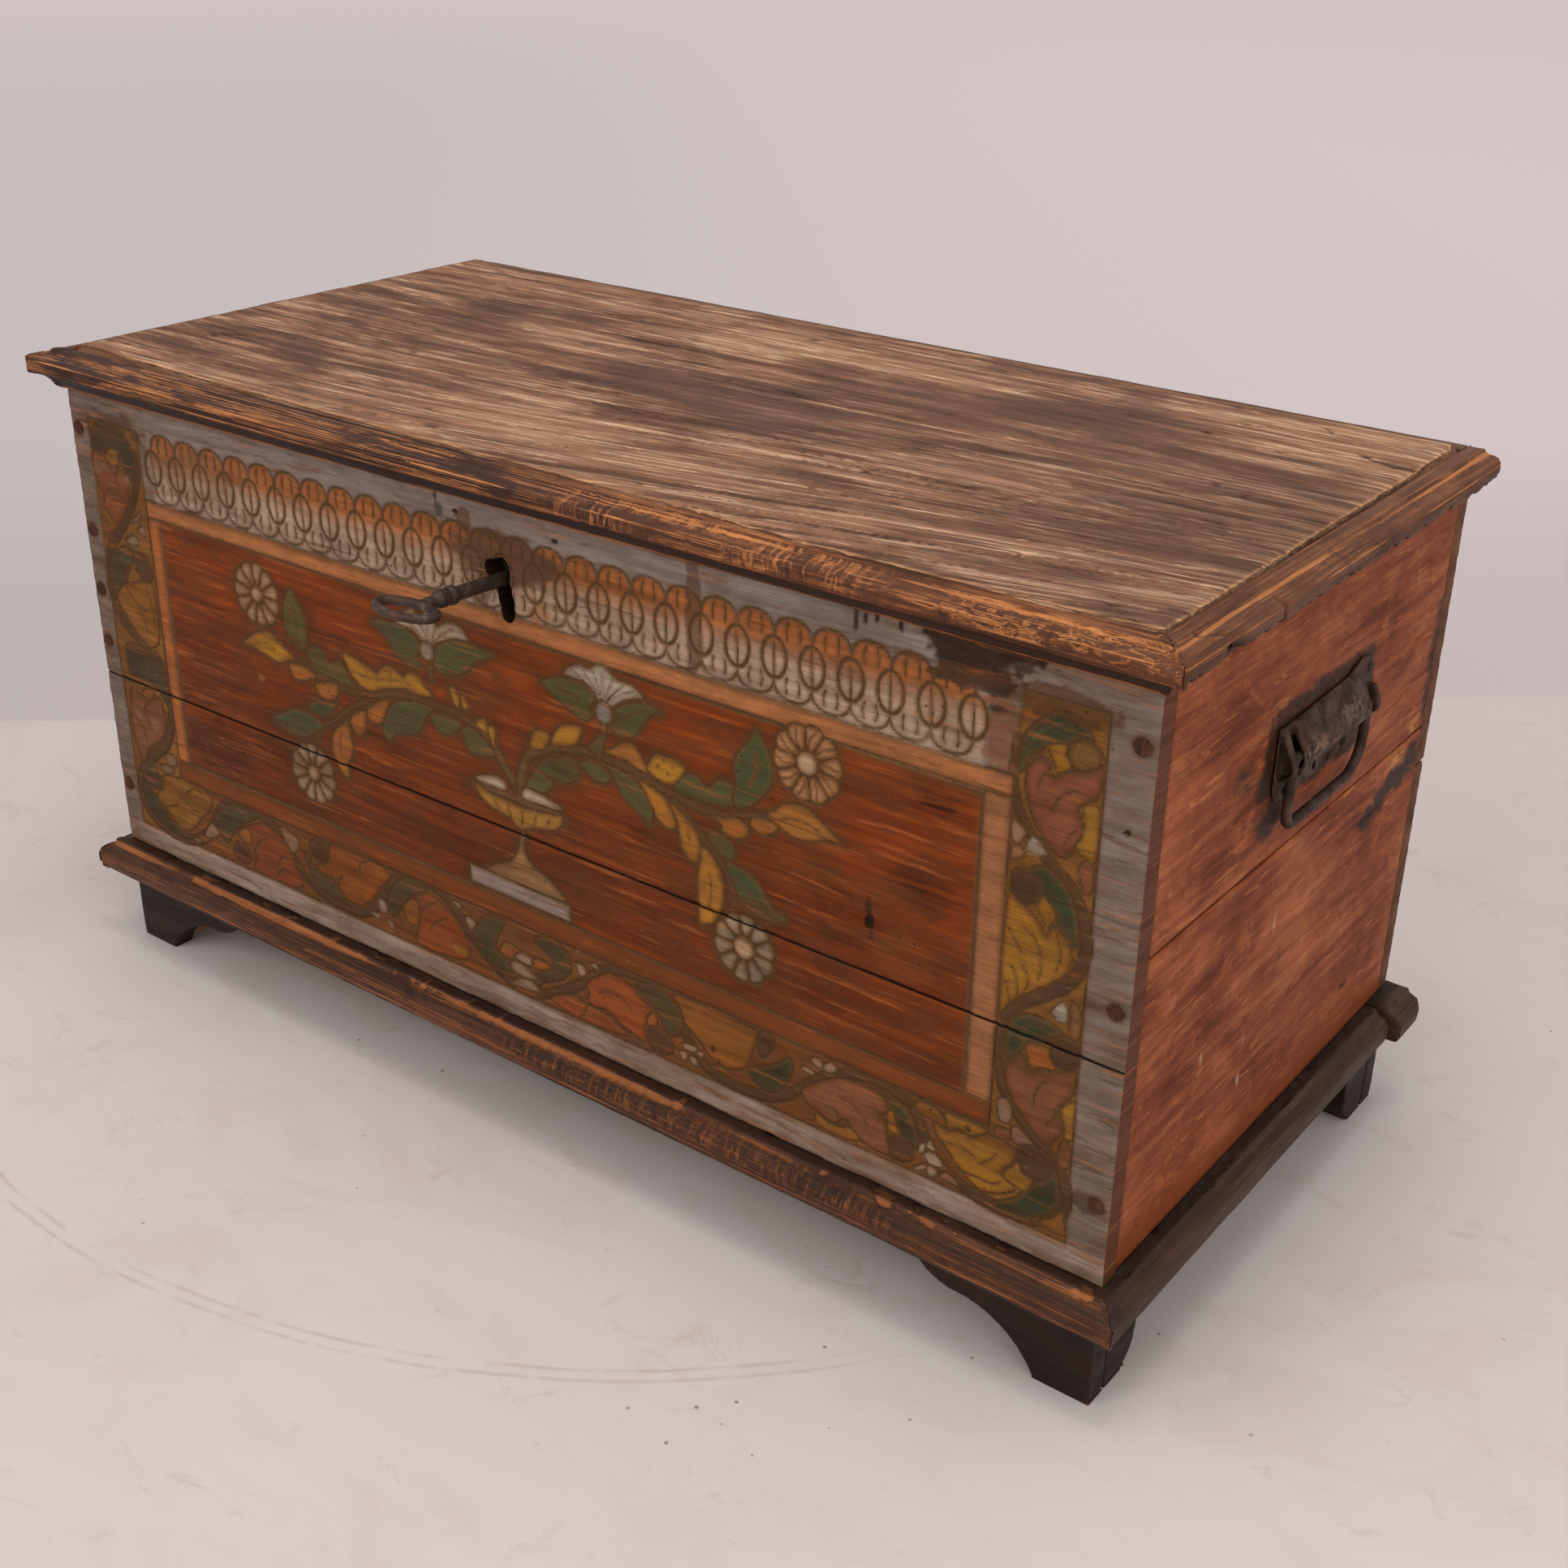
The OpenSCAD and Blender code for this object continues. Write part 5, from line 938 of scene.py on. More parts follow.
def relief(name, us, vs, face, back, hole=None, side_col=(0.2, 0.1, 0.06)):
    """A closed board: a dense front face, plain sides and back, and perhaps one hole right through.

    face(u, v) gives the places, values and colours of the front face; back(place) gives the point behind one
    of its rim; hole(u, v, nu, nv) gives the grid moved onto the hole's outline and the cells to drop."""
    U, V = np.meshgrid(us, vs, indexing="ij")
    U, V = U.ravel(), V.ravel()
    nu, nv = len(us), len(vs)
    if hole is not None:
        U, V, drop = hole(U, V, nu, nv)
    else:
        drop = np.zeros((nu - 1, nv - 1), bool)
    place, values, col = face(U, V)
    verts = list(map(tuple, place))
    faces = []
    idx = np.arange(nu * nv).reshape(nu, nv)
    for i in range(nu - 1):
        for j in range(nv - 1):
            if not drop[i, j]:
                faces.append((idx[i, j], idx[i + 1, j], idx[i + 1, j + 1], idx[i, j + 1]))
    rim = list(idx[:, 0]) + list(idx[-1, 1:]) + list(idx[-2::-1, -1]) + list(idx[0, -2:0:-1])
    loops = [rim]
    if drop.any():
        edges = {}
        for i, j in zip(*np.nonzero(drop)):
            q = (idx[i, j], idx[i, j + 1], idx[i + 1, j + 1], idx[i + 1, j])
            for a, b in zip(q, q[1:] + q[:1]):
                if (b, a) in edges:
                    del edges[(b, a)]
                else:
                    edges[(a, b)] = True
        nxt = {a: b for a, b in edges}
        start = next(iter(nxt))
        loop, at = [start], nxt[start]
        while at != start:
            loop.append(at)
            at = nxt[at]
        loops.append(loop)
    rings, walls = [], []
    for loop in loops:
        walls += [side_col if loop is rim else HOLE_SHADE_TONE] * 2 * len(loop)
        last = loop
        for part in (LIP, 1.0):
            first = len(verts)
            for k in loop:
                verts.append(tuple(place[k] + (np.array(back(place[k])) - place[k]) * part))
            ring = list(range(first, first + len(loop)))
            for k in range(len(loop)):
                n = (k + 1) % len(loop)
                faces.append((last[k], ring[k], ring[n], last[n]))
            last = ring
        rings.append(ring)
    flat = [[Vector(verts[k]) for k in ring] for ring in rings]
    order = [k for ring in rings for k in ring]
    for tri in tessellate_polygon(flat):
        faces.append(tuple(order[k] for k in tri))
    extra = len(verts) - len(place)
    data = {k: np.r_[v, np.full(extra, NO_GROOVE if k == "line" else 0.0)] for k, v in values.items()}
    ob = new_object(name, verts, [tuple(int(k) for k in f) for f in faces], data,
        np.r_[col, np.array(walls)])
    recalc(ob)
    return ob


HOLE = [(-23, 313), (-20, 318.5), (-14, 319.5), (-8, 322), (-3, 319), (-1.5, 313), (-2, 306), (-0.6, 301),
    (0.8, 293), (0.6, 286), (-1.6, 282.4), (-6, 281.2), (-9.6, 284), (-11.5, 292), (-13.2, 300),
    (-16.5, 305), (-20.5, 309)]


def keyhole(U, V, nu, nv):
    """Opens the ragged keyhole in the grid and draws the grid's rim there onto its outline."""
    pts = curve(HOLE, n=4)
    middles = [(a[:-1, :-1] + a[1:, 1:]) / 2 for a in (U.reshape(nu, nv), V.reshape(nu, nv))]
    _, drop = line_distance(*middles, pts, True)
    touched = np.zeros((nu, nv), int)
    for di in (0, 1):
        for dj in (0, 1):
            touched[di : nu - 1 + di, dj : nv - 1 + dj] += drop
    rim = ((touched > 0) & (touched < 4)).ravel()
    for k in np.nonzero(rim)[0]:
        best, spot = 1e9, None
        for (ax, az), (bx, bz) in zip(pts, np.roll(pts, -1, 0)):
            dx, dz = bx - ax, bz - az
            t = min(max(((U[k] - ax) * dx + (V[k] - az) * dz) / (dx * dx + dz * dz + 1e-9), 0), 1)
            q = (ax + t * dx, az + t * dz)
            d = math.hypot(U[k] - q[0], V[k] - q[1])
            if d < best:
                best, spot = d, q
        U[k], V[k] = spot
    return U, V, drop


def front_face(z0, z1):
    """The face function of the front board between two heights."""

    def face(x, z):
        c = paint_front(x, z)
        rim = np.minimum(np.minimum(HALF_W - np.abs(x), z1 - z), z - z0)
        knock = 0.5 + fbm(x / 9, z / 9, 0, 61)
        depth = c.sunk + 1.1 * np.exp(-rim / 1.1) * knock
        depth = depth + 0.35 * fbm(x / 26, z / 3.4, 0, 62) + 0.12 * fbm(x / 5, z / 1.6, 0, 63)
        depth += 0.25 * c.worn * (1 + fbm(x / 8, z / 2, 0, 64))
        gap = np.abs(z - SEAM)
        depth += 0.8 * np.exp(-gap / 0.9)
        hole, _ = line_distance(x, z, curve(HOLE, n=4), True)
        depth += 1.4 * np.exp(-hole / 1.2)
        place = np.c_[x, FRONT + depth, z + BASE] / 1000
        return place, {"line": c.line, "worn": c.worn, "seam": np.exp(-gap / 1.2)}, c.col

    return face


def behind_front(p):
    return (p[0], (FRONT + FRONT_THICK) / 1000, p[2])


def grid(a, b, pitch):
    return np.linspace(a, b, int(round((b - a) / pitch)) + 1)


MITRE_GAP = 0.04


def hold_mitre(points, before, tree, run, voxel):
    """Holds vertices beside a mitre to the CAD surface and the mitre plane; gives how far each is held."""

    def overhang():
        mm = points * 1000
        return mm, np.abs(mm[:, 0]) - HALF_W, -HALF_D - (mm[:, 1] - SHIFT)

    _, out_x, out_y = overhang()
    hold = step(5, 2.5, np.abs(out_x - out_y))
    for i in np.nonzero(hold > 0)[0]:
        near = tree.find_nearest(Vector(before[i]))[0]
        points[i] += (np.array(near) - points[i]) * hold[i]
    mm, out_x, out_y = overhang()
    slide = np.abs(out_x - out_y) < 0.8 * voxel
    if run == 0:
        points[slide, 0] = np.sign(mm[slide, 0]) * (HALF_W + out_y[slide] - MITRE_GAP) / 1000
    else:
        points[slide, 1] = (SHIFT - HALF_D - out_x[slide] + MITRE_GAP) / 1000
    return hold


def modified(ob, kind, **settings):
    """The mesh that one modifier makes of an object."""
    mod = ob.modifiers.new(kind.lower(), kind)
    for key, value in settings.items():
        setattr(mod, key, value)
    mesh = bpy.data.meshes.new_from_object(ob.evaluated_get(bpy.context.evaluated_depsgraph_get()))
    ob.modifiers.clear()
    return mesh


def worn(node, voxel, press, smooth=2, name=None, bodies="carcase", mitre=None):
    """A softened copy of a CAD node: remeshed, its edges worn round, and pressed in along its normals.

    press(x, y, z, normals, edge) gives the depth and the values to store; mitre is the axis that a mitred
    piece runs along."""
    me = NODE[node].data.copy()
    bm = bmesh.new()
    bm.from_mesh(me)
    bmesh.ops.remove_doubles(bm, verts=bm.verts, dist=1e-6)
    bm.to_mesh(me)
    bm.free()
    ob = bpy.data.objects.new(name or node + "_worn", me)
    bpy.context.collection.objects.link(ob)
    ob.data = modified(ob, "REMESH", mode="VOXEL", voxel_size=voxel / 1000)
    before = vertex_vectors(ob.data, "co")
    soft = modified(ob, "SMOOTH", factor=0.5, iterations=smooth)
    ob.data = soft
    after = vertex_vectors(soft, "co")
    nrm = vertex_vectors(soft, "normal")
    edge = np.linalg.norm(after - before, axis=1) * 1000
    hold = 0
    if mitre is not None:
        tree = BVHTree.FromPolygons([v.co for v in me.vertices], [p.vertices for p in me.polygons])
        hold = hold_mitre(after, before, tree, mitre, voxel)
    mm = after * 1000
    push, values = press(mm[:, 0], mm[:, 1], mm[:, 2] - BASE, nrm, edge)
    after = after - nrm * (push * (1 - hold) / 1000)[:, None]
    lo, hi = (np.array(v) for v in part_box(node))
    after = np.clip(after, lo, hi)
    soft.vertices.foreach_set("co", after.ravel())
    values["edge"] = edge
    store(soft, values)
    soft.update()
    soft.materials.clear()
    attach(ob, bodies)
    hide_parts(node)
    return ob


# Materials


COLOUR_A, COLOUR_B, COLOUR_OUT = 6, 7, 2  # the colour sockets of a mix node


class Look:
    """A small helper to build one procedural material; col is its colour so far."""

    def __init__(self, name, rough=0.6):
        self.mat = bpy.data.materials.new(name)
        self.mat.use_nodes = True
        self.tree = self.mat.node_tree
        self.shader = self.tree.nodes["Principled BSDF"]
        self.shader.inputs["Roughness"].default_value = rough
        self.shader.inputs["Specular IOR Level"].default_value = 0.14
        self.where = self.tree.nodes.new("ShaderNodeTexCoord").outputs["Object"]
        self.col = None

    def put(self, socket, value):
        """Links a socket to a socket, or sets it to a constant."""
        if isinstance(value, bpy.types.NodeSocket):
            self.tree.links.new(value, socket)
        elif isinstance(value, tuple) and len(value) == 3 and socket.type == "RGBA":
            socket.default_value = value + (1,)
        else:
            socket.default_value = value

    def scaled(self, scale, shift=(0, 0, 0)):
        n = self.tree.nodes.new("ShaderNodeMapping")
        n.inputs["Scale"].default_value = scale
        n.inputs["Location"].default_value = shift
        self.put(n.inputs["Vector"], self.where)
        return n.outputs["Vector"]

    def noise(self, scale, detail=4.0, rough=0.55, warp=0.0, shift=(0, 0, 0)):
        n = self.tree.nodes.new("ShaderNodeTexNoise")
        n.inputs["Scale"].default_value = 1
        n.inputs["Detail"].default_value = detail
        n.inputs["Roughness"].default_value = rough
        n.inputs["Distortion"].default_value = warp
        self.put(n.inputs["Vector"], self.scaled(scale, shift))
        return n.outputs["Fac"]

    def cells(self, scale, feature="F1", warp=0.0):
        """Distances in a net of cells, bent by noise where warp isn't 0."""
        n = self.tree.nodes.new("ShaderNodeTexVoronoi")
        n.feature = feature
        n.inputs["Scale"].default_value = 1
        where = self.scaled(scale)
        if warp:
            bend = self.tree.nodes.new("ShaderNodeTexNoise")
            bend.inputs["Scale"].default_value = 1.3
            bend.inputs["Detail"].default_value = 3
            self.put(bend.inputs["Vector"], where)
            add = self.tree.nodes.new("ShaderNodeVectorMath")
            add.operation = "MULTIPLY_ADD"
            self.put(add.inputs[0], bend.outputs["Color"])
            add.inputs[1].default_value = (warp, warp, warp)
            self.put(add.inputs[2], where)
            where = add.outputs[0]
        self.put(n.inputs["Vector"], where)
        return n.outputs["Distance"]

    def attr(self, name, colour=False):
        n = self.tree.nodes.new("ShaderNodeAttribute")
        n.attribute_name = name
        return n.outputs["Color" if colour else "Fac"]

    def ramp(self, value, stops):
        """Colours along a value; stops are pairs of a place and an sRGB colour."""
        n = self.tree.nodes.new("ShaderNodeValToRGB")
        while len(n.color_ramp.elements) < len(stops):
            n.color_ramp.elements.new(0.5)
        for e, (at, rgb) in zip(n.color_ramp.elements, stops):
            e.position = at
            e.color = lin(*rgb) + (1,)
        self.put(n.inputs["Fac"], value)
        return n.outputs["Color"]

    def span(self, value, a, b, c=0.0, d=1.0):
        """A soft step of a value from c at a to d at b."""
        n = self.tree.nodes.new("ShaderNodeMapRange")
        n.interpolation_type = "SMOOTHSTEP"
        self.put(n.inputs["Value"], value)
        for key, v in (("From Min", a), ("From Max", b), ("To Min", c), ("To Max", d)):
            n.inputs[key].default_value = v
        return n.outputs["Result"]

    def math(self, op, a, b=0.0):
        n = self.tree.nodes.new("ShaderNodeMath")
        n.operation = op
        self.put(n.inputs[0], a)
        self.put(n.inputs[1], b)
        return n.outputs[0]

    def add(self, a, b):
        return self.math("ADD", a, b)

    def sub(self, a, b):
        return self.math("SUBTRACT", a, b)

    def mul(self, a, b):
        return self.math("MULTIPLY", a, b)

    def off(self, value, middle=0.5):
        """How far a value is from a middle one."""
        return self.math("ABSOLUTE", self.sub(value, middle))

    def mix(self, fac, a, b, blend="MIX"):
        n = self.tree.nodes.new("ShaderNodeMix")
        n.data_type = "RGBA"
        n.blend_type = blend
        self.put(n.inputs["Factor"], fac)
        self.put(n.inputs[COLOUR_A], a)
        self.put(n.inputs[COLOUR_B], b)
        return n.outputs[COLOUR_OUT]

    def lay(self, fac, tone):
        """Lays a tone, in sRGB numbers or from a socket, over the colour so far."""
        self.col = self.mix(fac, self.col, tone if isinstance(tone, bpy.types.NodeSocket) else lin(*tone))

    def place(self, axis):
        """One of the coordinates that the patterns follow."""
        n = self.tree.nodes.new("ShaderNodeSeparateXYZ")
        self.put(n.inputs[0], self.where)
        return n.outputs[axis]

    def done(self, height=None, strength=0.5, distance=0.001, rough=None, warm=(0.97, 0.90, 0.80)):
        """Links the colour, times a last tint, with a bump and a roughness, and gives the material."""
        if warm is not None:
            self.col = self.mix(1.0, self.col, warm, "MULTIPLY")
        self.put(self.shader.inputs["Base Color"], self.col)
        if rough is not None:
            self.put(self.shader.inputs["Roughness"], rough)
        if height is not None:
            n = self.tree.nodes.new("ShaderNodeBump")
            n.inputs["Strength"].default_value = strength
            n.inputs["Distance"].default_value = distance
            self.put(n.inputs["Height"], height)
            self.put(self.shader.inputs["Normal"], n.outputs["Normal"])
        return self.mat


def along(axis, long, cross):
    """A pattern's scales: one along an axis, the other across it."""
    return tuple(long if k == "XYZ".index(axis) else cross for k in range(3))


def wood_look(name, axis, stops, rough=0.62, dark=(60, 36, 28), dirt=0.35, edge_tone=None, strength=0.5):
    """Old wood with its grain along one axis: long streaks, fine fibres, blotches and dark cracks."""
    m = Look(name, rough)
    streak = m.noise(along(axis, 5, 75), 6, 0.6, 0.4)
    fibre = m.noise(along(axis, 28, 900), 3, 0.6)
    blotch = m.noise((9, 9, 9), 4, 0.6, 0.3, (3, 1, 2))
    tone = m.add(m.mul(streak, 0.62), m.mul(blotch, 0.38))
    m.col = m.ramp(tone, stops)
    m.lay(m.span(fibre, 0.38, 0.62, 0.0, 0.30), dark)
    stain = m.noise((6, 6, 11), 5, 0.62, 0.5, (7, 5, 1))
    m.lay(m.span(stain, 0.56, 0.72, 0.0, dirt), dark)
    crack = m.noise(along(axis, 3.5, 150), 2, 0.5, 0.2, (2, 9, 4))
    split = m.span(m.off(crack), 0.004, 0.0, 0.0, 1.0)
    split = m.mul(split, m.span(m.noise((5, 5, 5), 2, 0.5, 0, (1, 8, 3)), 0.5, 0.6))
    m.lay(m.mul(split, 0.75), (30, 20, 17))
    if edge_tone is not None:
        rub = m.mul(m.span(m.attr("edge"), 0.10, 0.45), m.span(m.noise((60, 60, 60), 4, 0.6), 0.38, 0.6))
        m.lay(rub, edge_tone)
    height = m.sub(m.add(m.mul(fibre, 0.35), m.mul(streak, 0.8)), m.mul(split, 0.9))
    rgh = m.span(tone, 0.3, 0.7, rough + 0.1, rough - 0.08)
    return m.done(height, strength, 0.0012, rgh)


def side_look():
    """The red-brown end boards: brushed patches, grime and painted shade where the stain attribute is,
    orange at the foot.
    """
    m = Look("side_stain", 0.6)
    streak = m.noise(along("Y", 9, 120), 6, 0.62, 0.5)
    fibre = m.noise(along("Y", 50, 1100), 4, 0.62)
    blotch = m.noise((10, 8, 14), 5, 0.64, 0.5, (3, 1, 2))
    tone = m.add(m.mul(streak, 0.45), m.mul(blotch, 0.55))
    m.col = m.ramp(tone, [(0.38, (98, 46, 30)), (0.46, (130, 66, 42)), (0.54, (154, 86, 55)),
        (0.63, (182, 114, 74))])
    worn_patch = m.noise((8, 24, 40), 6, 0.74, 0.9, (5, 2, 8))
    m.lay(m.span(worn_patch, 0.52, 0.66, 0.0, 0.55), (182, 108, 68))
    m.lay(m.span(worn_patch, 0.48, 0.34, 0.0, 0.36), (112, 54, 40))
    m.lay(m.span(fibre, 0.44, 0.66, 0.0, 0.40), (96, 50, 36))
    brush = m.span(m.noise((4, 90, 44), 5, 0.72, 1.2, (4, 6, 2)), 0.56, 0.62, 0.0, 0.42)
    m.lay(brush, (104, 48, 33))
    pale = m.span(m.noise(along("Y", 24, 200), 5, 0.68, 0.6, (7, 7, 1)), 0.58, 0.68, 0.0, 0.6)
    m.lay(pale, (196, 130, 86))
    scratch = m.noise(along("Y", 6, 260), 3, 0.6, 0.5, (2, 9, 4))
    scratch = m.span(m.off(scratch), 0.012, 0.0)
    scratch = m.mul(scratch, m.span(m.noise((14, 14, 14), 3, 0.6, 0, (1, 8, 3)), 0.52, 0.62))
    m.lay(m.mul(scratch, 0.7), (72, 38, 30))
    m.lay(m.mul(m.attr("foot"), 0.85), (122, 60, 28))
    ragged = m.mul(m.sub(m.noise((60, 80, 160), 6, 0.74, 0.8), 0.5), 1.5)
    # Grime, and painted shade round the handle plate and under the lid moulding, both laid dark from the
    # stain value
    grime_and_shade = m.span(m.add(m.attr("stain"), ragged), 0.08, 0.85)
    grime_and_shade = m.mul(grime_and_shade, m.span(m.attr("stain"), 0.0, 0.4))
    m.lay(m.mul(grime_and_shade, 0.95), (46, 33, 28))
    bare = m.attr("bare")
    bare = m.mul(bare, m.span(m.noise((60, 60, 160), 5, 0.7, 0.5, (3, 3, 3)), 0.42, 0.54))
    m.lay(bare, (190, 134, 84))
    m.lay(m.attr("fleck"), (208, 192, 178))
    height = m.add(m.mul(fibre, 0.4), m.mul(streak, 0.7))
    height = m.sub(height, m.mul(scratch, 0.8))
    return m.done(height, 0.5, 0.0011, m.span(tone, 0.3, 0.7, 0.66, 0.48), (0.88, 0.77, 0.55))


def end_look(name, light, dark):
    """End grain: growth rings cut across, with pores and checks."""
    m = Look(name, 0.75)
    ring = m.noise((160, 160, 60), 5, 0.6, 0.6)
    pore = m.noise((900, 900, 900), 2, 0.5)
    m.col = m.ramp(ring, [(0.3, dark), (0.7, light)])
    m.lay(m.span(pore, 0.42, 0.6, 0.0, 0.45), (40, 25, 20))
    return m.done(m.add(ring, m.mul(pore, 0.5)), 0.6, 0.0008)


def paint_look():
    """The painted front: colours from the drawing, worn through along the grain, with dark cut lines."""
    m = Look("front_paint", 0.55)
    m.shader.inputs["Specular IOR Level"].default_value = 0.08
    m.col = m.attr("paint", True)
    line = m.attr("line")
    streak = m.noise((7, 7, 130), 6, 0.65, 0.3)
    fibre = m.noise((45, 45, 900), 4, 0.62)
    mottle = m.noise((30, 30, 60), 5, 0.68, 0.4, (1, 2, 8))
    shades = m.ramp(streak, [(0.28, (188, 182, 178)), (0.5, (232, 230, 228)), (0.74, (255, 255, 255))])
    m.col = m.mix(1.0, m.col, shades, "MULTIPLY")
    m.lay(m.span(mottle, 0.35, 0.62, 0.34, 0.0), (80, 54, 34))
    lift = m.span(m.noise((14, 14, 240), 6, 0.68, 0.2, (4, 2, 9)), 0.55, 0.68, 0.0, 0.34)
    m.lay(lift, (186, 108, 56))
    scuff = m.span(m.noise((12, 12, 110), 6, 0.72, 0.6, (8, 1, 5)), 0.56, 0.68, 0.0, 0.6)
    m.lay(scuff, (82, 48, 30))
    m.lay(m.span(fibre, 0.42, 0.66, 0.0, 0.26), (70, 44, 32))
    shake = m.add(line, m.mul(m.sub(m.noise((240, 240, 240), 3, 0.6), 0.5), 1.3))
    groove = m.span(shake, 0.95, 0.25)
    soft = m.span(line, 3.2, 0.4, 0.0, 0.42)
    keep = m.span(m.noise((40, 40, 90), 4, 0.6, 0, (5, 5, 2)), 0.30, 0.5, 0.35, 0.86)
    m.lay(soft, (94, 64, 36))
    m.lay(m.mul(groove, keep), (82, 57, 33))
    m.lay(m.span(m.attr("seam"), 0.45, 0.85), (30, 20, 16))
    specks = m.span(m.cells((120, 120, 160)), 0.16, 0.08, 0.0, 1.0)
    specks = m.mul(specks, m.span(m.noise((20, 20, 20), 2, 0.5, 0, (9, 3, 3)), 0.58, 0.66))
    m.lay(m.mul(specks, 0.8), (44, 28, 22))
    chips = m.span(m.noise((120, 120, 620), 4, 0.7, 0.3, (2, 2, 2)), 0.64, 0.70)
    chips = m.mul(chips, m.span(m.noise((11, 11, 20), 4, 0.6, 0.3, (2, 6, 6)), 0.50, 0.64))
    m.lay(m.mul(chips, 0.5), (196, 132, 88))
    height = m.add(m.mul(fibre, 0.5), m.mul(streak, 0.9))
    height = m.sub(height, m.mul(groove, 0.9))
    height = m.sub(height, m.mul(scuff, 0.5))
    return m.done(height, 0.6, 0.0012, m.span(streak, 0.3, 0.7, 0.62, 0.44), warm=None)


def lid_look():
    """Coarse grey-brown weathered timber with open furrows."""
    m = Look("lid_weathered", 0.68)
    lean = m.tree.nodes.new("ShaderNodeCombineXYZ")
    m.put(lean.inputs["Y"], m.attr("lean"))
    along_grain = m.tree.nodes.new("ShaderNodeVectorMath")
    along_grain.operation = "SUBTRACT"
    m.put(along_grain.inputs[0], m.where)
    m.put(along_grain.inputs[1], lean.outputs[0])
    m.where = along_grain.outputs[0]
    soil = m.attr("soil")
    tone = m.noise((6, 16, 16), 6, 0.7, 0.6, (1, 4, 2))
    wide = m.noise((5, 70, 70), 6, 0.66, 0.5)
    pale = m.noise((14, 320, 320), 5, 0.66, 0.3, (2, 3, 1))
    deep = m.noise((8, 320, 320), 5, 0.66, 0.3, (5, 1, 6))
    fibre = m.noise((40, 1200, 1200), 3, 0.65)
    value = m.add(m.mul(tone, 0.42), m.mul(wide, 0.42))
    value = m.add(value, m.span(soil, -1, 1, 0.135, 0.025))
    m.col = m.ramp(value, [(0.38, (78, 55, 46)), (0.46, (116, 83, 66)), (0.54, (158, 117, 93)),
        (0.65, (190, 150, 124))])
    up = m.span(value, 0.42, 0.56, 0.10, 0.9)
    m.lay(m.mul(m.span(pale, 0.50, 0.62), up), (224, 192, 166))
    m.lay(m.span(deep, 0.50, 0.64, 0.0, 0.72), (76, 54, 44))
    m.lay(m.span(fibre, 0.42, 0.66, 0.0, 0.34), (78, 56, 46))
    stain = m.span(m.noise((8, 22, 22), 6, 0.78, 0.8, (2, 2, 7)), 0.54, 0.65, 0.0, 0.7)
    m.lay(m.mul(stain, m.span(soil, -0.4, 0.7, 0.15, 1.0)), (88, 67, 62))
    m.lay(m.span(soil, 0.0, 0.9, 0.0, 0.38), (112, 84, 76))
    m.lay(m.mul(m.span(m.attr("furrow"), 0.25, 0.9), 0.75), (58, 42, 36))
    rim = m.attr("rim")
    m.lay(m.mul(m.span(rim, 0.12, 0.5), m.span(pale, 0.4, 0.6, 0.1, 0.75)), (198, 152, 112))
    m.lay(m.span(rim, 0.75, 0.95, 0.0, 0.85), (58, 38, 30))
    height = m.sub(m.add(m.mul(pale, 0.9), m.mul(fibre, 0.5)), m.mul(deep, 1.0))
    return m.done(height, 0.9, 0.0018, warm=(0.99, 0.90, 0.78))


def moulding_look(name, axis, base, bright, amount, dark=(48, 34, 31), lines=0.85, sides=None):
    """Dark painted moulding, its arrises rubbed back to orange wood along many thin lines."""
    m = Look(name, 0.5)
    streak = m.noise(along(axis, 8, 120), 6, 0.62, 0.3)
    fibre = m.noise(along(axis, 30, 800), 3, 0.6)
    patch = m.noise((26, 26, 26), 5, 0.66, 0.4, (6, 2, 4))
    m.col = m.ramp(m.add(m.mul(streak, 0.6), m.mul(patch, 0.4)), base)
    tone = m.ramp(fibre, bright)
    if sides is not None:
        m.lay(m.span(m.place(0), *sides), dark)
    scratch = m.noise(along(axis, 3.2, 430), 3, 0.6, 0.2, (3, 1, 5))
    thin = m.span(m.off(scratch), 0.036, 0.010)
    thin = m.mul(thin, m.span(m.noise(along(axis, 16, 60), 3, 0.6, 0, (9, 9, 2)), 0.38, 0.52, 0.0, lines))
    lit = m.sub(1.0, m.attr("shade"))
    m.lay(m.mul(thin, lit), tone)
    rub = m.attr("rub")
    ragged = m.sub(m.noise(along(axis, 20, 110), 6, 0.66, 0.3, (3, 3, 3)), 0.5)
    rub = m.add(rub, m.mul(ragged, amount))
    m.lay(m.span(rub, 0.40, 0.66), tone)
    net = m.cells(along(axis, 80, 230), "DISTANCE_TO_EDGE", 2.2)
    web = m.mul(m.span(net, 0.16, 0.02), m.attr("scaly"))
    web = m.mul(web, m.span(m.noise(along(axis, 120, 160), 4, 0.65, 0.3, (6, 1, 1)), 0.40, 0.58))
    m.lay(m.mul(web, 0.75), tone)
    ticks = m.noise(along(axis, 330, 60), 3, 0.6, 0.5)
    cut = m.mul(m.span(ticks, 0.5, 0.6), m.attr("hatch"))
    m.lay(m.mul(cut, 0.6), tone)
    m.lay(m.mul(m.span(ticks, 0.48, 0.36), m.mul(m.attr("hatch"), 0.7)), dark)
    m.lay(m.mul(m.attr("shade"), 0.85), dark)
    m.lay(m.span(m.noise((30, 30, 30), 5, 0.68, 0.4), 0.58, 0.70, 0.0, 0.6), dark)
    height = m.add(m.mul(streak, 0.8), m.mul(fibre, 0.4))
    height = m.add(height, m.add(m.mul(web, 0.7), m.mul(cut, 0.7)))
    return m.done(height, 0.7, 0.0014, m.span(streak, 0.3, 0.7, 0.6, 0.42))


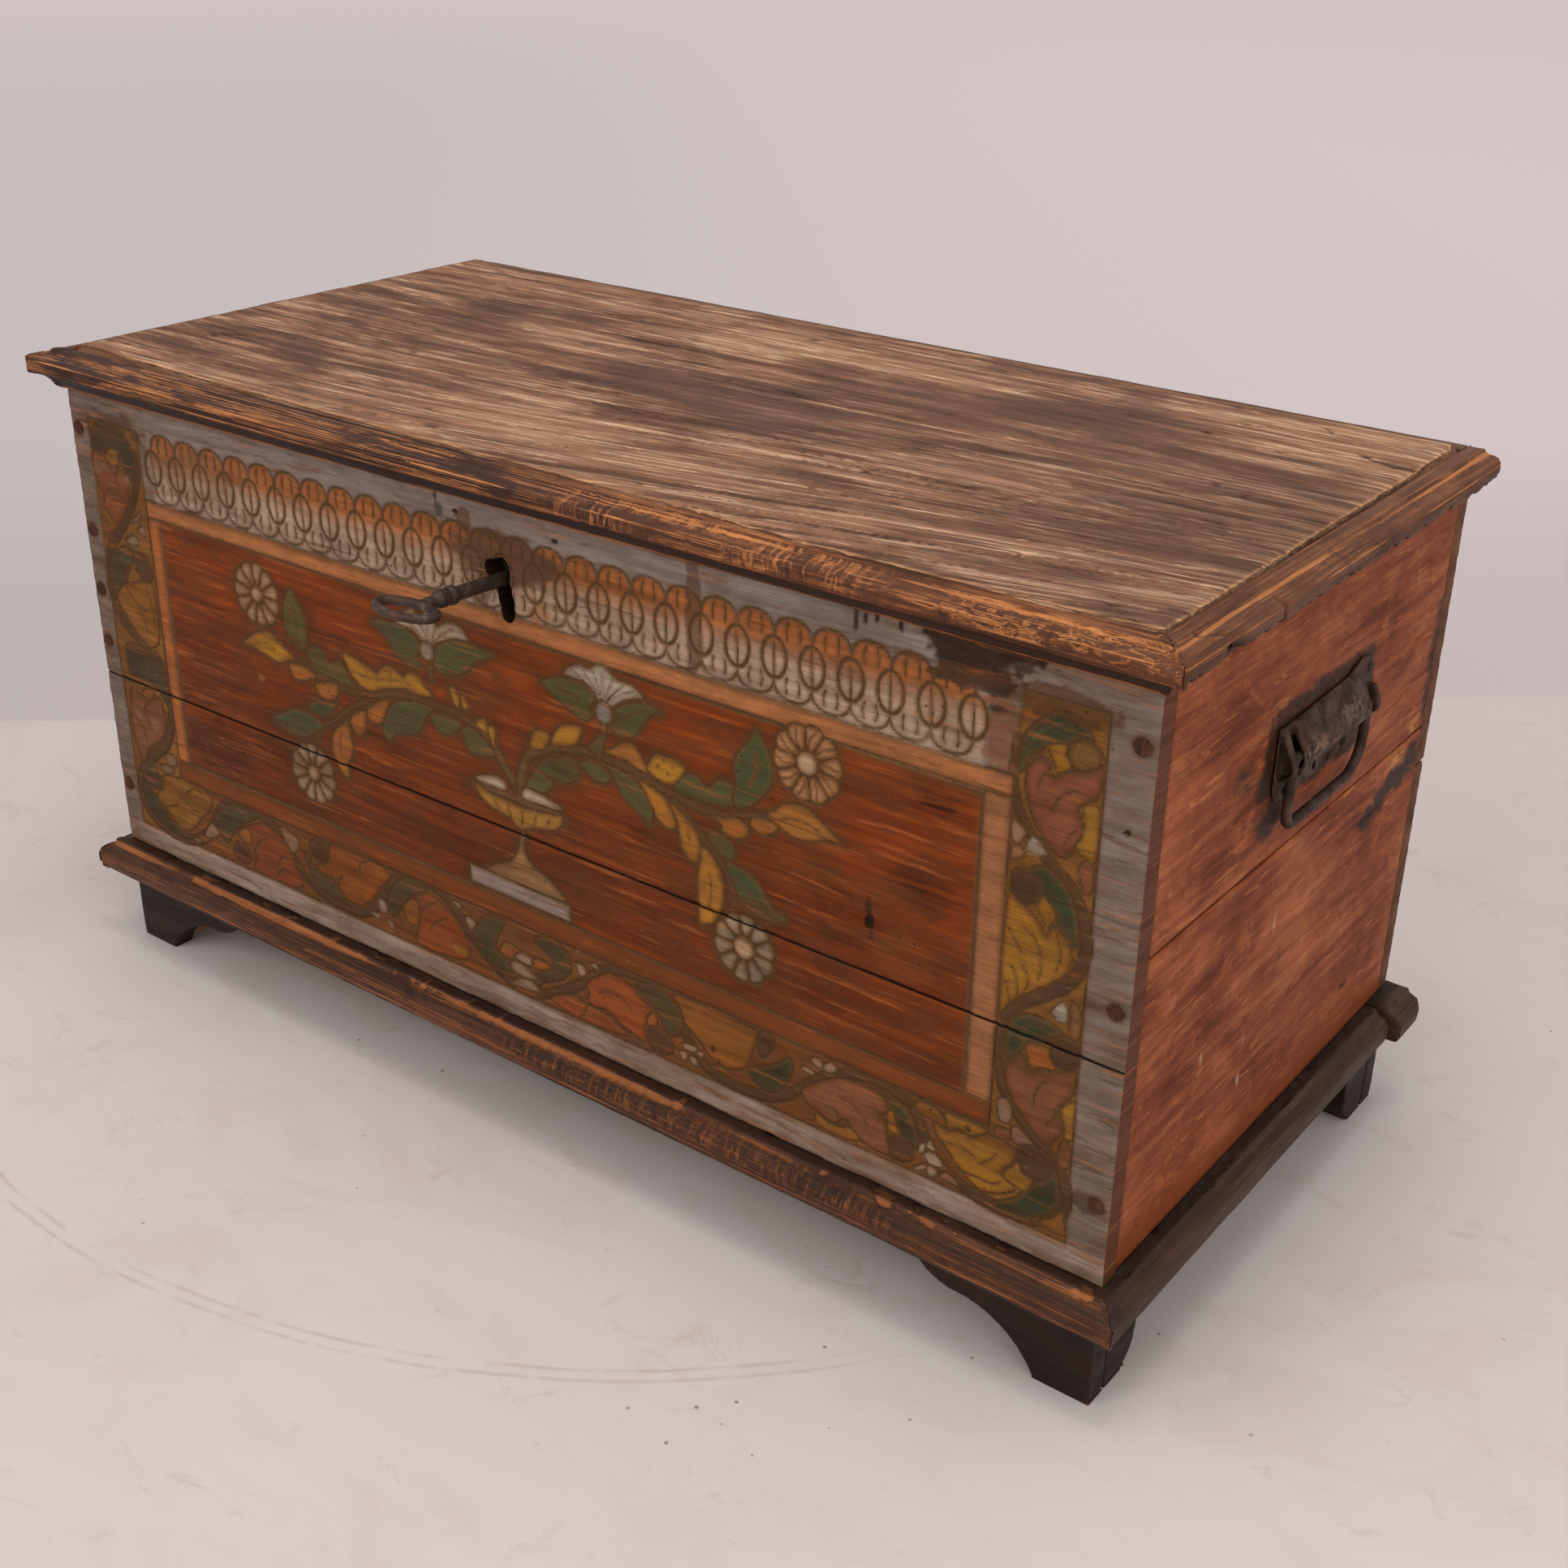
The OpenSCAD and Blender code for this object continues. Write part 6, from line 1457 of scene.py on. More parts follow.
def iron_look(name, tones, rust=0.5, metal=0.55, rough=0.5):
    """Wrought iron: dark scale, brown rust, rubbed grey, and a painted sheen where the scuff value is."""
    m = Look(name, rough)
    scale = m.noise((90, 90, 90), 6, 0.62, 0.4)
    fine = m.noise((520, 520, 520), 4, 0.6)
    m.col = m.ramp(scale, tones)
    m.lay(m.span(m.noise((40, 40, 40), 5, 0.66, 0.5, (4, 7, 1)), 0.5, 0.68, 0.0, rust), (104, 66, 46))
    m.lay(m.span(fine, 0.45, 0.7, 0.0, 0.35), (44, 36, 34))
    scuff = m.span(m.noise((55, 55, 55), 5, 0.7, 0.8, (8, 3, 3)), 0.58, 0.68, 0.0, 0.55)
    m.lay(scuff, [min(255, int(v * 1.25)) for v in tones[-1][1]])
    # Painted highlight: a pale sheen laid where the scuff value is
    shine = m.span(m.noise((190, 190, 190), 6, 0.74, 0.8, (2, 2, 2)), 0.44, 0.60)
    shine = m.mul(shine, m.span(m.attr("scuff"), 0.05, 0.95))
    m.lay(m.mul(shine, 0.75), (150, 122, 108))
    m.shader.inputs["Metallic"].default_value = metal
    return m.done(m.add(scale, m.mul(fine, 0.5)), 0.5, 0.0008,
        m.span(scale, 0.3, 0.7, rough + 0.14, rough - 0.12))


RAW = [(0.30, (112, 82, 58)), (0.45, (146, 110, 78)), (0.60, (172, 134, 98)), (0.75, (194, 158, 120))]
DULL = [(0.30, (70, 46, 36)), (0.45, (98, 66, 50)), (0.60, (124, 86, 64)), (0.75, (146, 106, 80))]
LID_UNDER = [(0.30, (88, 62, 47)), (0.45, (118, 86, 65)), (0.60, (142, 106, 80)), (0.75, (164, 126, 96))]
FOOT = [(0.30, (26, 19, 18)), (0.45, (38, 26, 23)), (0.60, (52, 36, 31)), (0.75, (76, 50, 40))]
IRON_STOPS = (0.3, 0.55, 0.75)


def three(dark, middle, light, at=(0.30, 0.5, 0.70)):
    """Stops of a ramp with three colours."""
    return list(zip(at, (dark, middle, light)))


def two(dark, light):
    return [(0.3, dark), (0.7, light)]


looks = {
    "paint": paint_look(),
    "lid": lid_look(),
    "side": side_look(),
    "back": wood_look("back_wood", "X", DULL, 0.7, dirt=0.4, edge_tone=(150, 108, 80)),
    "under": wood_look("lid_underside", "X", LID_UNDER, 0.74, (66, 46, 37), 0.3),
    "raw": wood_look("raw_wood", "X", RAW, 0.75, (86, 60, 44), 0.35),
    "block": wood_look("block_wood", "Z", RAW, 0.78, (80, 58, 44), 0.5, edge_tone=(150, 116, 84)),
    "foot": wood_look("foot_wood", "X", FOOT, 0.48, (24, 17, 17), 0.4, (122, 76, 52), 0.35),
    "foot_y": wood_look("foot_wood_across", "Y", FOOT, 0.48, (24, 17, 17), 0.4, (122, 76, 52), 0.35),
    "peg": end_look("peg_end", (100, 61, 46), (46, 29, 25)),
    "rail": moulding_look("rail_wood", "X", two((72, 50, 38), (116, 82, 58)),
        two((128, 88, 58), (164, 116, 78)), 0.4, lines=0.3),
    "mould": moulding_look("lid_moulding_paint", "X", three((58, 37, 30), (90, 55, 39), (124, 77, 51)),
        two((168, 104, 60), (204, 140, 90)), 0.75, sides=(-0.05, 0.26, 0.86, 0.0)),
    "mould_y": moulding_look("lid_moulding_paint_end", "Y", three((60, 38, 29), (90, 56, 38), (120, 76, 50)),
        two((146, 92, 54), (182, 120, 74)), 0.6, (58, 40, 32), 0.5),
    "base": moulding_look("base_moulding_paint", "X", three((42, 29, 25), (68, 43, 32), (98, 61, 41)),
        two((120, 73, 43), (162, 102, 60)), 0.7, (36, 26, 22), 0.8),
    "base_y": moulding_look("base_moulding_paint_end", "Y", three((44, 32, 28), (62, 45, 37), (82, 61, 49)),
        two((104, 70, 48), (130, 88, 60)), 0.4, (38, 28, 25), 0.3),
    "bail": iron_look("bail_iron", three((44, 35, 32), (64, 50, 45), (92, 76, 68), IRON_STOPS), 0.35, 0.2),
    "plate": iron_look("plate_iron", three((42, 30, 26), (60, 44, 38), (88, 70, 61), (0.3, 0.5, 0.72)),
        0.4, 0.12, 0.58),
    "nail": iron_look("nail_iron", three((40, 33, 31), (64, 54, 50), (92, 78, 70), (0.3, 0.6, 0.8)),
        0.4, 0.5),
    "strap": iron_look("strap_iron", three((46, 40, 38), (70, 60, 56), (98, 84, 76), IRON_STOPS), 0.6),
    "lock": iron_look("lock_iron", three((62, 55, 52), (92, 83, 78), (124, 114, 106), IRON_STOPS),
        0.45, 0.6, 0.45),
    "key": iron_look("key_iron", three((46, 39, 38), (70, 61, 58), (106, 96, 90), IRON_STOPS),
        0.3, 0.35, 0.42),
}


def finish(ob, key):
    """Gives an object its look."""
    ob.data.materials.clear()
    ob.data.materials.append(looks[key])


def smooth_faces(ob, angle):
    for p in ob.data.polygons:
        p.use_smooth = True
    ob.data.set_sharp_from_angle(angle=angle)


def dress(ob, angle, key):
    smooth_faces(ob, angle)
    finish(ob, key)


# The painted front

SEAM_GAP = 0.4
BOARDS = (("front_board_upper", SEAM + SEAM_GAP, TOP, 1.46, keyhole),
    ("front_board_lower", 0.0, SEAM, 1.15, None))

for name, z0, z1, pitch, hole in BOARDS:
    board = relief(name + "_carved", grid(-HALF_W, HALF_W, pitch), grid(z0, z1, pitch), front_face(z0, z1),
                   behind_front, hole=hole, side_col=lin(104, 60, 42))
    smooth_faces(board, 0.9)
    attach(board, "carcase")
    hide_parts(name)
    finish(board, "paint")

# The lid

LID_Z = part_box("lid_board")[1][2] * 1000 - BASE
LID_LO, LID_HI = (np.array(v) * 1000 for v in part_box("lid_board"))
LID_SKIN = 3.6  # depth of the lid's top piece, which lies on its core
# The plank's worn front and right rims, as y at x and x at y
EDGE_FRONT = ([-440, -422, -360, -290, -200, -100, 20, 150, 220, 300, 380, 419, 440],
    [-189, -189, -191, -194, -196.5, -198, -199, -200, -204, -203, -200.5, -197.5, -197])
EDGE_RIGHT = ([-210, -198, 0, 120, 183, 200], [420, 420, 418, 417, 414.6, 413])


def plank_front(x):
    ragged, wavy = fbm(x / 14, 0, 0, 71) - 0.5, vnoise(x / 90, 3, 0, 72) - 0.5
    return np.interp(x, *EDGE_FRONT) + 1.5 * ragged + 1.0 * wavy


def plank_right(y):
    rough = 0.6 + 2.2 * step(120, 190, y)
    return np.interp(y, *EDGE_RIGHT) + rough * 2 * (fbm(y / 8, 1, 0, 73) - 0.5)


# Dark (above 0) and bleached areas of the lid: centre x, y, half lengths along x and y, strength
LID_AREAS = ((30, -5, 130, 55, 0.9), (235, 90, 125, 50, 0.8), (330, -60, 100, 80, 0.55),
    (40, -150, 140, 42, -0.8), (385, 150, 60, 60, -0.7), (-60, 130, 100, 60, -0.55), (-272, 25, 36, 14, 0.6),
    (-400, 20, 50, 9, 0.7), (200, -160, 110, 20, 0.4), (-340, -170, 60, 20, 0.4))
KNOTS = ((-120, -30, 24), (210, 60, 18), (40, 110, 15))  # centre x, y, radius
LEAN, LEAN_FROM, LEAN_EASE = 0.2, -110, 60  # slope of the grain near the front, and where it sets in


def lid_face(U, V):
    """U and V run from 0 to 1; the rim follows the worn plank."""
    back = LID_HI[1] - SHIFT
    y0 = plank_front(LID_LO[0] + U * (LID_HI[0] - LID_LO[0]))
    y = y0 + V * (back - y0)
    x1 = plank_right(y)
    x = LID_LO[0] + U * (x1 - LID_LO[0])
    warp = 6 * (vnoise(x / 160, y / 60, 0, 80) - 0.5)
    lean = LEAN * LEAN_EASE * np.logaddexp(0, (x - LEAN_FROM) / LEAN_EASE) * step(70, -150, y)
    g = y + warp - lean
    furrow = fbm(x / 170, g / 3.4, 0, 81, 5, 0.6)
    deep = step(0.60, 0.74, furrow)
    crack = np.abs(fbm(x / 260, g / 26, 0, 82, 3) - 0.5)
    crack = step(0.012, 0.0, crack) * step(0.45, 0.6, vnoise(x / 90, g / 40, 0, 83))
    rim = np.minimum(np.minimum(y - y0, x1 - x), np.minimum(x - LID_LO[0], back - y))
    depth = 0.15 + 0.9 * (furrow - 0.25) + 0.8 * deep + 1.6 * crack
    depth = depth + 1.1 * np.exp(-np.maximum(rim, 0) / 2.2) * (0.4 + fbm(x / 12, y / 12, 0, 84) * 1.2)
    for cx, cy, r in KNOTS:
        q = np.hypot((x - cx) / 1.8, y - cy)
        depth += 0.5 * np.exp(-((q / r) ** 2)) * (0.5 + 0.5 * np.sin(q * 0.9))
    depth = np.clip(depth, 0.05, 3.0)
    place = np.c_[x, y + SHIFT, LID_Z - depth + BASE] / 1000
    soil = 1.6 * (fbm(x / 70, g / 20, 0, 85, 4, 0.62) - 0.5)
    for cx, cy, rx, ry, power in LID_AREAS:
        soil = soil + power * np.exp(-(((x - cx) / rx) ** 2) - ((y - cy) / ry) ** 2)
    values = {"furrow": np.clip(deep * 0.8 + crack, 0, 1), "rim": np.exp(-np.maximum(rim, 0) / 1.6),
              "soil": np.clip(soil, -1, 1), "lean": lean / 1000}
    return place, values, np.tile((0.2, 0.15, 0.1), (len(x), 1))


def under_lid(p):
    return (p[0], p[1], (LID_Z - LID_SKIN + BASE) / 1000)


lid_top = relief("lid_board_top", np.linspace(0, 1, 400), np.linspace(0, 1, 236), lid_face, under_lid)
smooth_faces(lid_top, 0.9)
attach(lid_top, "lid")
finish(lid_top, "lid")


def lid_core(x, y, z, n, edge):
    """Sinks the core below the top piece."""
    return 2.4 * step(LID_Z - 6, LID_Z - 1, z), {}


dress(worn("lid_board", 4.0, lid_core, 1, "lid_board_core", "lid"), 0.6, "under")


# Mouldings


def moulding_values(x, rub, shade, scaly=0, hatch=0):
    """The values that moulding_look reads, one for each vertex."""
    return {"rub": rub, "shade": shade + 0 * x, "scaly": scaly + 0 * x, "hatch": hatch + 0 * x}


def run_of(node):
    """The axis that a mitred moulding runs along, or nothing for a plain one."""
    return {"front": 0, "right": 1, "left": 1}.get(node.split("_")[-1])


def rubbed(z, out, run, front):
    """Where a lid moulding is rubbed to bare wood: its arrises, in lengths that come and go."""
    up = z - TOP
    wander = 1.1 * (vnoise(run / 70, 1, 0, 151) - 0.5)

    def come(k, seed):
        return 0.2 + 0.9 * vnoise(run / k, 2, 0, seed)

    a = 0.85 * np.exp(-(((out - 6.6 + wander) / 1.4) ** 2)) * (up > 8) * come(60, 152)
    a *= 1 - 0.4 * front * step(120, -120, run)
    b = 0.7 * np.exp(-(((up - 8.8) / 1.0) ** 2)) * (out > 16) * come(45, 153)
    c = 0.8 * np.exp(-(((up - 1.4) / 0.9) ** 2)) * (out > 16) * come(50, 154) * front
    d = 0.95 * np.exp(-(((up + 12.6) / 0.9) ** 2)) * (out < 6) * (0.45 + 0.6 * come(80, 155)) * front
    return np.clip(np.maximum.reduce([a, b, c, d]), 0, 1.2)


def lid_front_press(x, y, z, n, edge):
    """Tooled in the middle, cracked into scales on the right; the face against the plank stays flat."""
    cy = y - SHIFT
    out = -HALF_D - cy
    up = z - TOP
    tool = step(30, 90, x) * step(290, 230, x) * (out > 4) * (up > 0)
    scaly = step(290, 330, x) * (out > 5) * (up > 2)
    lumps = 1.3 * scaly * step(0.45, 0.65, fbm(x / 9, out / 5, z / 6, 91, 3))
    push = 0.15 + 0.8 * fbm(x / 40, out / 5, z / 5, 92) + 0.5 * fbm(x / 7, out / 3, z / 3, 93)
    push += 0.5 * tool * step(0.5, 0.7, vnoise((x + 0.8 * cy) / 3.2, out / 9, 0, 94)) + lumps
    push *= step(0.8, 0.4, n[:, 1])
    shade = step(-1.5, -4, up) * (1 - 0.9 * np.exp(-(((up + 12.8) / 0.9) ** 2)))
    hatch = tool * step(0.35, 0.6, vnoise(x / 26, out / 8, 0, 95))
    return push, moulding_values(x, rubbed(z, out, x, 1.0), shade, scaly, hatch)


def lid_side_press(x, y, z, n, edge):
    """Decayed at the rear; on the right a split, a bite and a nick, and drips along the lower edge."""
    out = np.abs(x) - HALF_W
    cy = y - SHIFT
    up = z - TOP
    right = x > 0
    rear = step(150, 195, cy) * right
    push = 0.2 + 0.9 * fbm(cy / 40, out / 5, z / 5, 95) + 0.6 * fbm(cy / 7, out / 3, z / 3, 96)
    push += rear * 2.2 * fbm(cy / 6, z / 4, 0, 97) * (up < 3)
    split = np.exp(-(((out - 9 - 0.55 * (cy + 178)) / 0.9) ** 2)) * (np.abs(cy + 176) < 9) * right
    bite = np.exp(-(((cy + 165 + 0.6 * (up - 2)) / 7.5) ** 2) - ((up - 2) / 5.0) ** 2) * (out > 10) * right
    nick = np.exp(-(((cy + 111 + 0.25 * (up - 6) + 1.5 * np.sin(up / 2.2)) / 1.0) ** 2))
    nick = nick * (np.abs(up - 5) < 9) * (out > 10) * right
    ragged = up + 3 * (vnoise(cy / 3, 1, 0, 99) - 0.5)
    drips = step(0.5, 0.62, vnoise(cy / 4.5, 0, 0, 98)) * step(2.5, -0.5, ragged) * (out > 12)
    push += 1.0 * split + 5.5 * bite + 1.8 * nick + 1.4 * drips
    push *= step(0.8, 0.4, -n[:, 0] * np.sign(x))
    shade = 0.75 * step(0.5, -2, up) + 0.35 * step(7, 4, up) * (out > 15)
    shade = np.clip(shade + 0.8 * split + 2.2 * bite + 1.2 * nick + 0.8 * drips, 0, 1)
    return push, moulding_values(x, rubbed(z, out, cy, 0.0) + 0.25 * rear, shade)


def rail_press(x, y, z, n, edge):
    return 0.3 + 0.9 * fbm(x / 26, y / 5, z / 5, 98), moulding_values(x, 0.3 * step(0.1, 0.5, edge), 0.2)


for node, press, key in (
    ("lid_moulding_front", lid_front_press, "mould"),
    ("lid_moulding_right", lid_side_press, "mould_y"),
    ("lid_moulding_left", lid_side_press, "mould_y"),
    ("lid_rear_rail", rail_press, "rail"),
):
    dress(worn(node, 1.5, press, 1, None, "lid", run_of(node)), 0.8, key)


def base_press(x, y, z, n, edge):
    """Chipped along the top; the front one is tooled in the middle."""
    cy = y - SHIFT
    out = np.maximum(np.abs(x) - HALF_W, np.abs(cy) - HALF_D)
    front = cy < -HALF_D
    run = np.where(front, x, cy)
    push = 0.15 + 0.7 * fbm(x / 24, y / 24, z / 5, 101) + 0.5 * fbm(x / 6, y / 6, z / 3, 102)
    chip = step(0.60, 0.70, fbm(x / 11, y / 11, 2, 103)) * step(-5, -1, z) * 1.5
    tool = front * step(-40, 20, x) * step(330, 250, x) * np.exp(-(((z + 9) / 5.5) ** 2))
    come = 0.4 + 0.9 * vnoise(run / 50, 3, 0, 104)
    fade = 0.55 + 0.45 * step(300, 180, run)
    rub = 0.85 * np.exp(-(((z + 2.6) / 1.6) ** 2)) * (out > 7) * come * fade + 0.5 * chip
    low = 0.75 * np.exp(-(((z + 19.5) / 1.3) ** 2)) * (0.3 + vnoise(run / 60, 5, 0, 105))
    rub += low + 0.6 * np.exp(-(((z + 13) / 1.1) ** 2)) * vnoise(run / 40, 6, 0, 106)
    shade = 0.75 * step(8.5, 5.5, out) * (z > -6) + 0.5 * step(-21.5, -23, z)
    shade += np.where(front, 0.45 * step(-3, -5, z) * step(-11, -8, z), 0)
    push += tool * 0.9 * step(0.5, 0.7, vnoise(x / 2.6, z / 9, 0, 107))
    return push + chip, moulding_values(x, np.where(front, rub, 0.35 * rub), np.clip(shade, 0, 1),
        hatch=tool)


for node, key in (
    ("base_moulding_front", "base"),
    ("base_moulding_right", "base_y"),
    ("base_moulding_left", "base_y"),
    ("base_rear_plank", "base_y"),
):
    dress(worn(node, 1.8, base_press, 2, mitre=run_of(node)), 0.8, key)


# Feet


def foot_press(x, y, z, n, edge):
    """Most worn near the floor; the sole itself stays flat."""
    h = z + BASE
    low = np.exp(-h / 5)
    push = 0.15 + 0.7 * fbm(x / 18, y / 18, z / 8, 111) + 0.3 * fbm(x / 5, y / 5, z / 5, 112)
    push = push + low * 1.4 * fbm(x / 6, y / 6, 0, 113)
    return np.where((n[:, 2] < -0.6) & (h < 2), 0, push), {}


for node in sorted(NODE):
    if node.startswith("foot_"):
        dress(worn(node, 1.5, foot_press, 3), 0.8, "foot" if "face" in node else "foot_y")


# Ends and back


SIDE_SEAM = 199
SHAKES = ((-36, 0.9), (14, 0.6))  # long cracks: height from the seam, depth
# Dark marks on the right end: centre y, z, half sizes, strength
STAINS = ((63, 285, 17, 13, 0.9), (108, 166, 18, 10, 0.9), (130, 172, 22, 13, 1.0), (150, 178, 26, 12, 1.0),
    (172, 184, 20, 16, 1.0), (188, 240, 14, 76, 0.8), (-62, 262, 15, 40, 0.9), (-50, 229, 20, 16, 0.9),
    (-90, 268, 22, 16, 0.5))
LOW_STAIN = (112, 42, 9, 4, 0.6)
RUBBED_BARE = ((146, 192, 17, 6, 1.0), (168, 206, 9, 7, 1.0))
FLECKS = ((-104, 98, 1.1, 3), (-46, 53, 1.6, 3.6), (-45, 81, 0.7, 4), (-22, 148, 0.6, 6))  # y, z, half sizes
PLATE_LO, PLATE_HI = (np.array(v) * 1000 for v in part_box("handle_plate_right"))


def end_press(x, y, z, n, edge):
    """The end boards: cracks along the grain, dark marks, dirt and painted shadow round the handle plate,
    painted shade under the lid moulding, bare wood and flecks of old whitewash.
    """
    cy = y - SHIFT
    right = x > 0
    push = 0.1 + 0.5 * fbm(cy / 60, z / 4, x / 40, 121) + 0.2 * fbm(cy / 12, z / 2.4, 0, 122)
    for rise, amount in SHAKES:
        crack = np.exp(-(((z - SIDE_SEAM - rise - 3 * np.sin(cy / 60)) / 0.9) ** 2))
        push += amount * crack * (cy > -90) * (np.abs(n[:, 0]) > 0.7)
    beside = np.maximum(np.maximum(PLATE_LO[1] - y, y - PLATE_HI[1]), 0)
    beyond = np.maximum(np.maximum(PLATE_LO[2] - BASE - z, z - PLATE_HI[2] + BASE), 0)
    wander = fbm(cy / 14, z / 14, 0, 123)
    # Dirt and painted shadow round the handle plate, where the plate and its bail shade the board
    stain = 0.8 * np.exp(-(((np.hypot(beside, beyond) + 8 * (wander - 0.5)).clip(0) / 6) ** 2))

    def spot(cx, cz, rx, rz, k):
        return k * step(1.35, 0.25, np.hypot((cy - cx) / rx, (z - cz) / rz) + 0.9 * (wander - 0.5))

    for row in STAINS:
        stain = np.maximum(stain, np.where(right, spot(*row), 0))
    # Darker towards the rear edge and in the lowest few mm; the strip just under the lid moulding is painted
    # shade
    rear_or_low = 0.5 * step(190, 202, cy) + 0.4 * step(8, 1, z)
    for more in (spot(*LOW_STAIN), rear_or_low, 0.55 * step(TOP - 10, TOP - 2, z)):
        stain = np.maximum(stain, more)
    fleck = 0 * z
    for fy, fz, half, tall in FLECKS:
        fleck = np.maximum(fleck, 0.75 * np.exp(-(((cy - fy) / half) ** 2) - ((z - fz) / tall) ** 2) * right)
    outside = np.abs(x) > HALF_W - 4
    bare = right * sum(spot(*row) for row in RUBBED_BARE)
    return push, {"stain": np.clip(stain, 0, 1) * outside, "bare": np.clip(bare, 0, 1) * outside,
                  "foot": step(34, 5, z + 16 * (wander - 0.5)), "fleck": fleck}


for node in ("right_board_upper", "right_board_lower", "left_board_upper", "left_board_lower"):
    dress(worn(node, 2.0, end_press, 2), 0.8, "side")


def back_press(x, y, z, n, edge):
    return 0.1 + 0.7 * fbm(x / 70, z / 4, y / 30, 131) + 0.25 * fbm(x / 14, z / 2.4, 0, 132), {}


for node in ("back_board_upper", "back_board_lower"):
    dress(worn(node, 2.6, back_press, 2), 0.8, "back")


# Iron


def iron_press(x, y, z, n, edge):
    return 0.05 + 0.35 * fbm(x / 7, y / 7, z / 7, 141) + 0.15 * fbm(x / 2.5, y / 2.5, z / 2.5, 142), {}


def plate_press(x, y, z, n, edge):
    """The folded plate, with two painted highlights on its hood, where its dented face turns up to the
    light.
    """
    push = iron_press(x, y, z, n, edge)[0]
    along_y = (y - PLATE_LO[1]) / (PLATE_HI[1] - PLATE_LO[1])
    up = (z + BASE - PLATE_LO[2]) / (PLATE_HI[2] - PLATE_LO[2])
    wander = 0.25 * (fbm(y / 5, z / 5, 0, 144) - 0.5)
    # Painted highlights: two patches on the hood, where its dented face turns up to the light
    scuff = np.exp(-(((along_y - 0.66 + wander) / 0.14) ** 2) - ((up - 0.66 - wander) / 0.16) ** 2)
    scuff += np.exp(-(((along_y - 0.26 - wander) / 0.12) ** 2) - ((up - 0.50 + wander) / 0.15) ** 2)
    return push, {"scuff": scuff * step(HALF_W + 5, HALF_W + 10, np.abs(x))}


def light_iron_press(*place):
    return iron_press(*place)[0] * 0.5, {}


for side in ("right", "left"):
    dress(worn("handle_plate_" + side, 0.7, plate_press, 2), 0.9, "plate")
    dress(worn("handle_bail_" + side, 0.8, light_iron_press, 2, None, "bail_" + side), 1.2, "bail")
dress(worn("key", 0.7, light_iron_press, 2, None, "key"), 0.9, "key")

# CAD nodes that are shown as they are
SHOWN = {
    "raw": ["bottom_board_front", "bottom_board_rear"],
    "peg": ["front_pegs", "back_pegs"],
    "block": [k for k in NODE if k.startswith("glue_block")],
    "strap": [k for k in NODE if k.startswith("hinge_") and "nails" not in k],
    "nail": [k for k in NODE if k.endswith("nails") or k.startswith("handle_nails")],
    "lock": ["lock_back_plate", "lock_case", "lock_bolt", "lock_spring", "lock_staple"],
}
for key, names in SHOWN.items():
    for name in names:
        finish(NODE[name], key)


# Camera, lights and room


CAMERA_PLACE = (0.79809992, -0.9586254, 0.8077899)
CAMERA_TURN = ((0.7968636, -0.2751019, 0.5378915), (0.6039909, 0.3417344, -0.7200087),
    (0.0142598, 0.8986303, 0.4384748))
SENSOR, LENS, LENS_SHIFT = 36.0, 45.955, 0.0004
# Name, place, target, sizes, power in watts
LIGHTS = (("overhead", (0.35, -0.3, 3.3), (0, 0, 0.2), (1.5, 1.1), 33),
          ("front_left", (-0.6, -3.5, 2.6), (0, 0, 0.25), (3.2, 2.2), 50),
          ("right", (3.0, -1.2, 1.7), (0, 0, 0.25), (2.4, 2.2), 32))
SKY, SKY_POWER = lin(246, 243, 244), 0.68
WALL = lin(208, 195, 193)


def add_camera():
    data = bpy.data.cameras.new("camera")
    data.sensor_width = SENSOR
    data.lens = LENS
    data.shift_x = LENS_SHIFT
    cam = bpy.data.objects.new("camera", data)
    bpy.context.collection.objects.link(cam)
    cam.matrix_world = Matrix.Translation(Vector(CAMERA_PLACE)) @ Matrix(CAMERA_TURN).to_4x4()
    bpy.context.scene.camera = cam


def area_light(name, place, target, size, power):
    data = bpy.data.lights.new(name, "AREA")
    data.shape = "RECTANGLE"
    data.size, data.size_y = size
    data.energy = power
    lamp = bpy.data.objects.new(name, data)
    lamp.location = place
    lamp.rotation_euler = (Vector(target) - Vector(place)).to_track_quat("-Z", "Y").to_euler()
    bpy.context.collection.objects.link(lamp)


def seen_directly(tree):
    """1 for camera, glossy and transmission rays, 0 for the rays that light the scene."""
    rays = tree.nodes.new("ShaderNodeLightPath").outputs
    seen = rays["Is Camera Ray"]
    for kind in ("Is Glossy Ray", "Is Transmission Ray"):
        either = tree.nodes.new("ShaderNodeMath")
        either.operation = "MAXIMUM"
        tree.links.new(seen, either.inputs[0])
        tree.links.new(rays[kind], either.inputs[1])
        seen = either.outputs[0]
    return seen


def add_world():
    """A pale sky lights the scene; seen directly it has the wall's tone."""
    world = bpy.data.worlds.new("world")
    bpy.context.scene.world = world
    world.use_nodes = True
    tree = world.node_tree
    sky = tree.nodes["Background"]
    sky.inputs["Color"].default_value = SKY + (1,)
    sky.inputs["Strength"].default_value = SKY_POWER
    wall = tree.nodes.new("ShaderNodeBackground")
    wall.inputs["Color"].default_value = WALL + (1,)
    swap = tree.nodes.new("ShaderNodeMixShader")
    tree.links.new(seen_directly(tree), swap.inputs[0])
    tree.links.new(sky.outputs[0], swap.inputs[1])
    tree.links.new(wall.outputs[0], swap.inputs[2])
    tree.links.new(swap.outputs[0], tree.nodes["World Output"].inputs["Surface"])


ARC_CENTRE = (-0.1526, 0.1564)
ARC_RADII = ((0.581, 1), (0.5895, 4))  # with seeds
WALL_LINE = Vector((1178.3, 1036.8)).normalized()  # where the room's wall meets the floor
WALL_POINT = (-0.8685, 0.00105)  # a point of that line


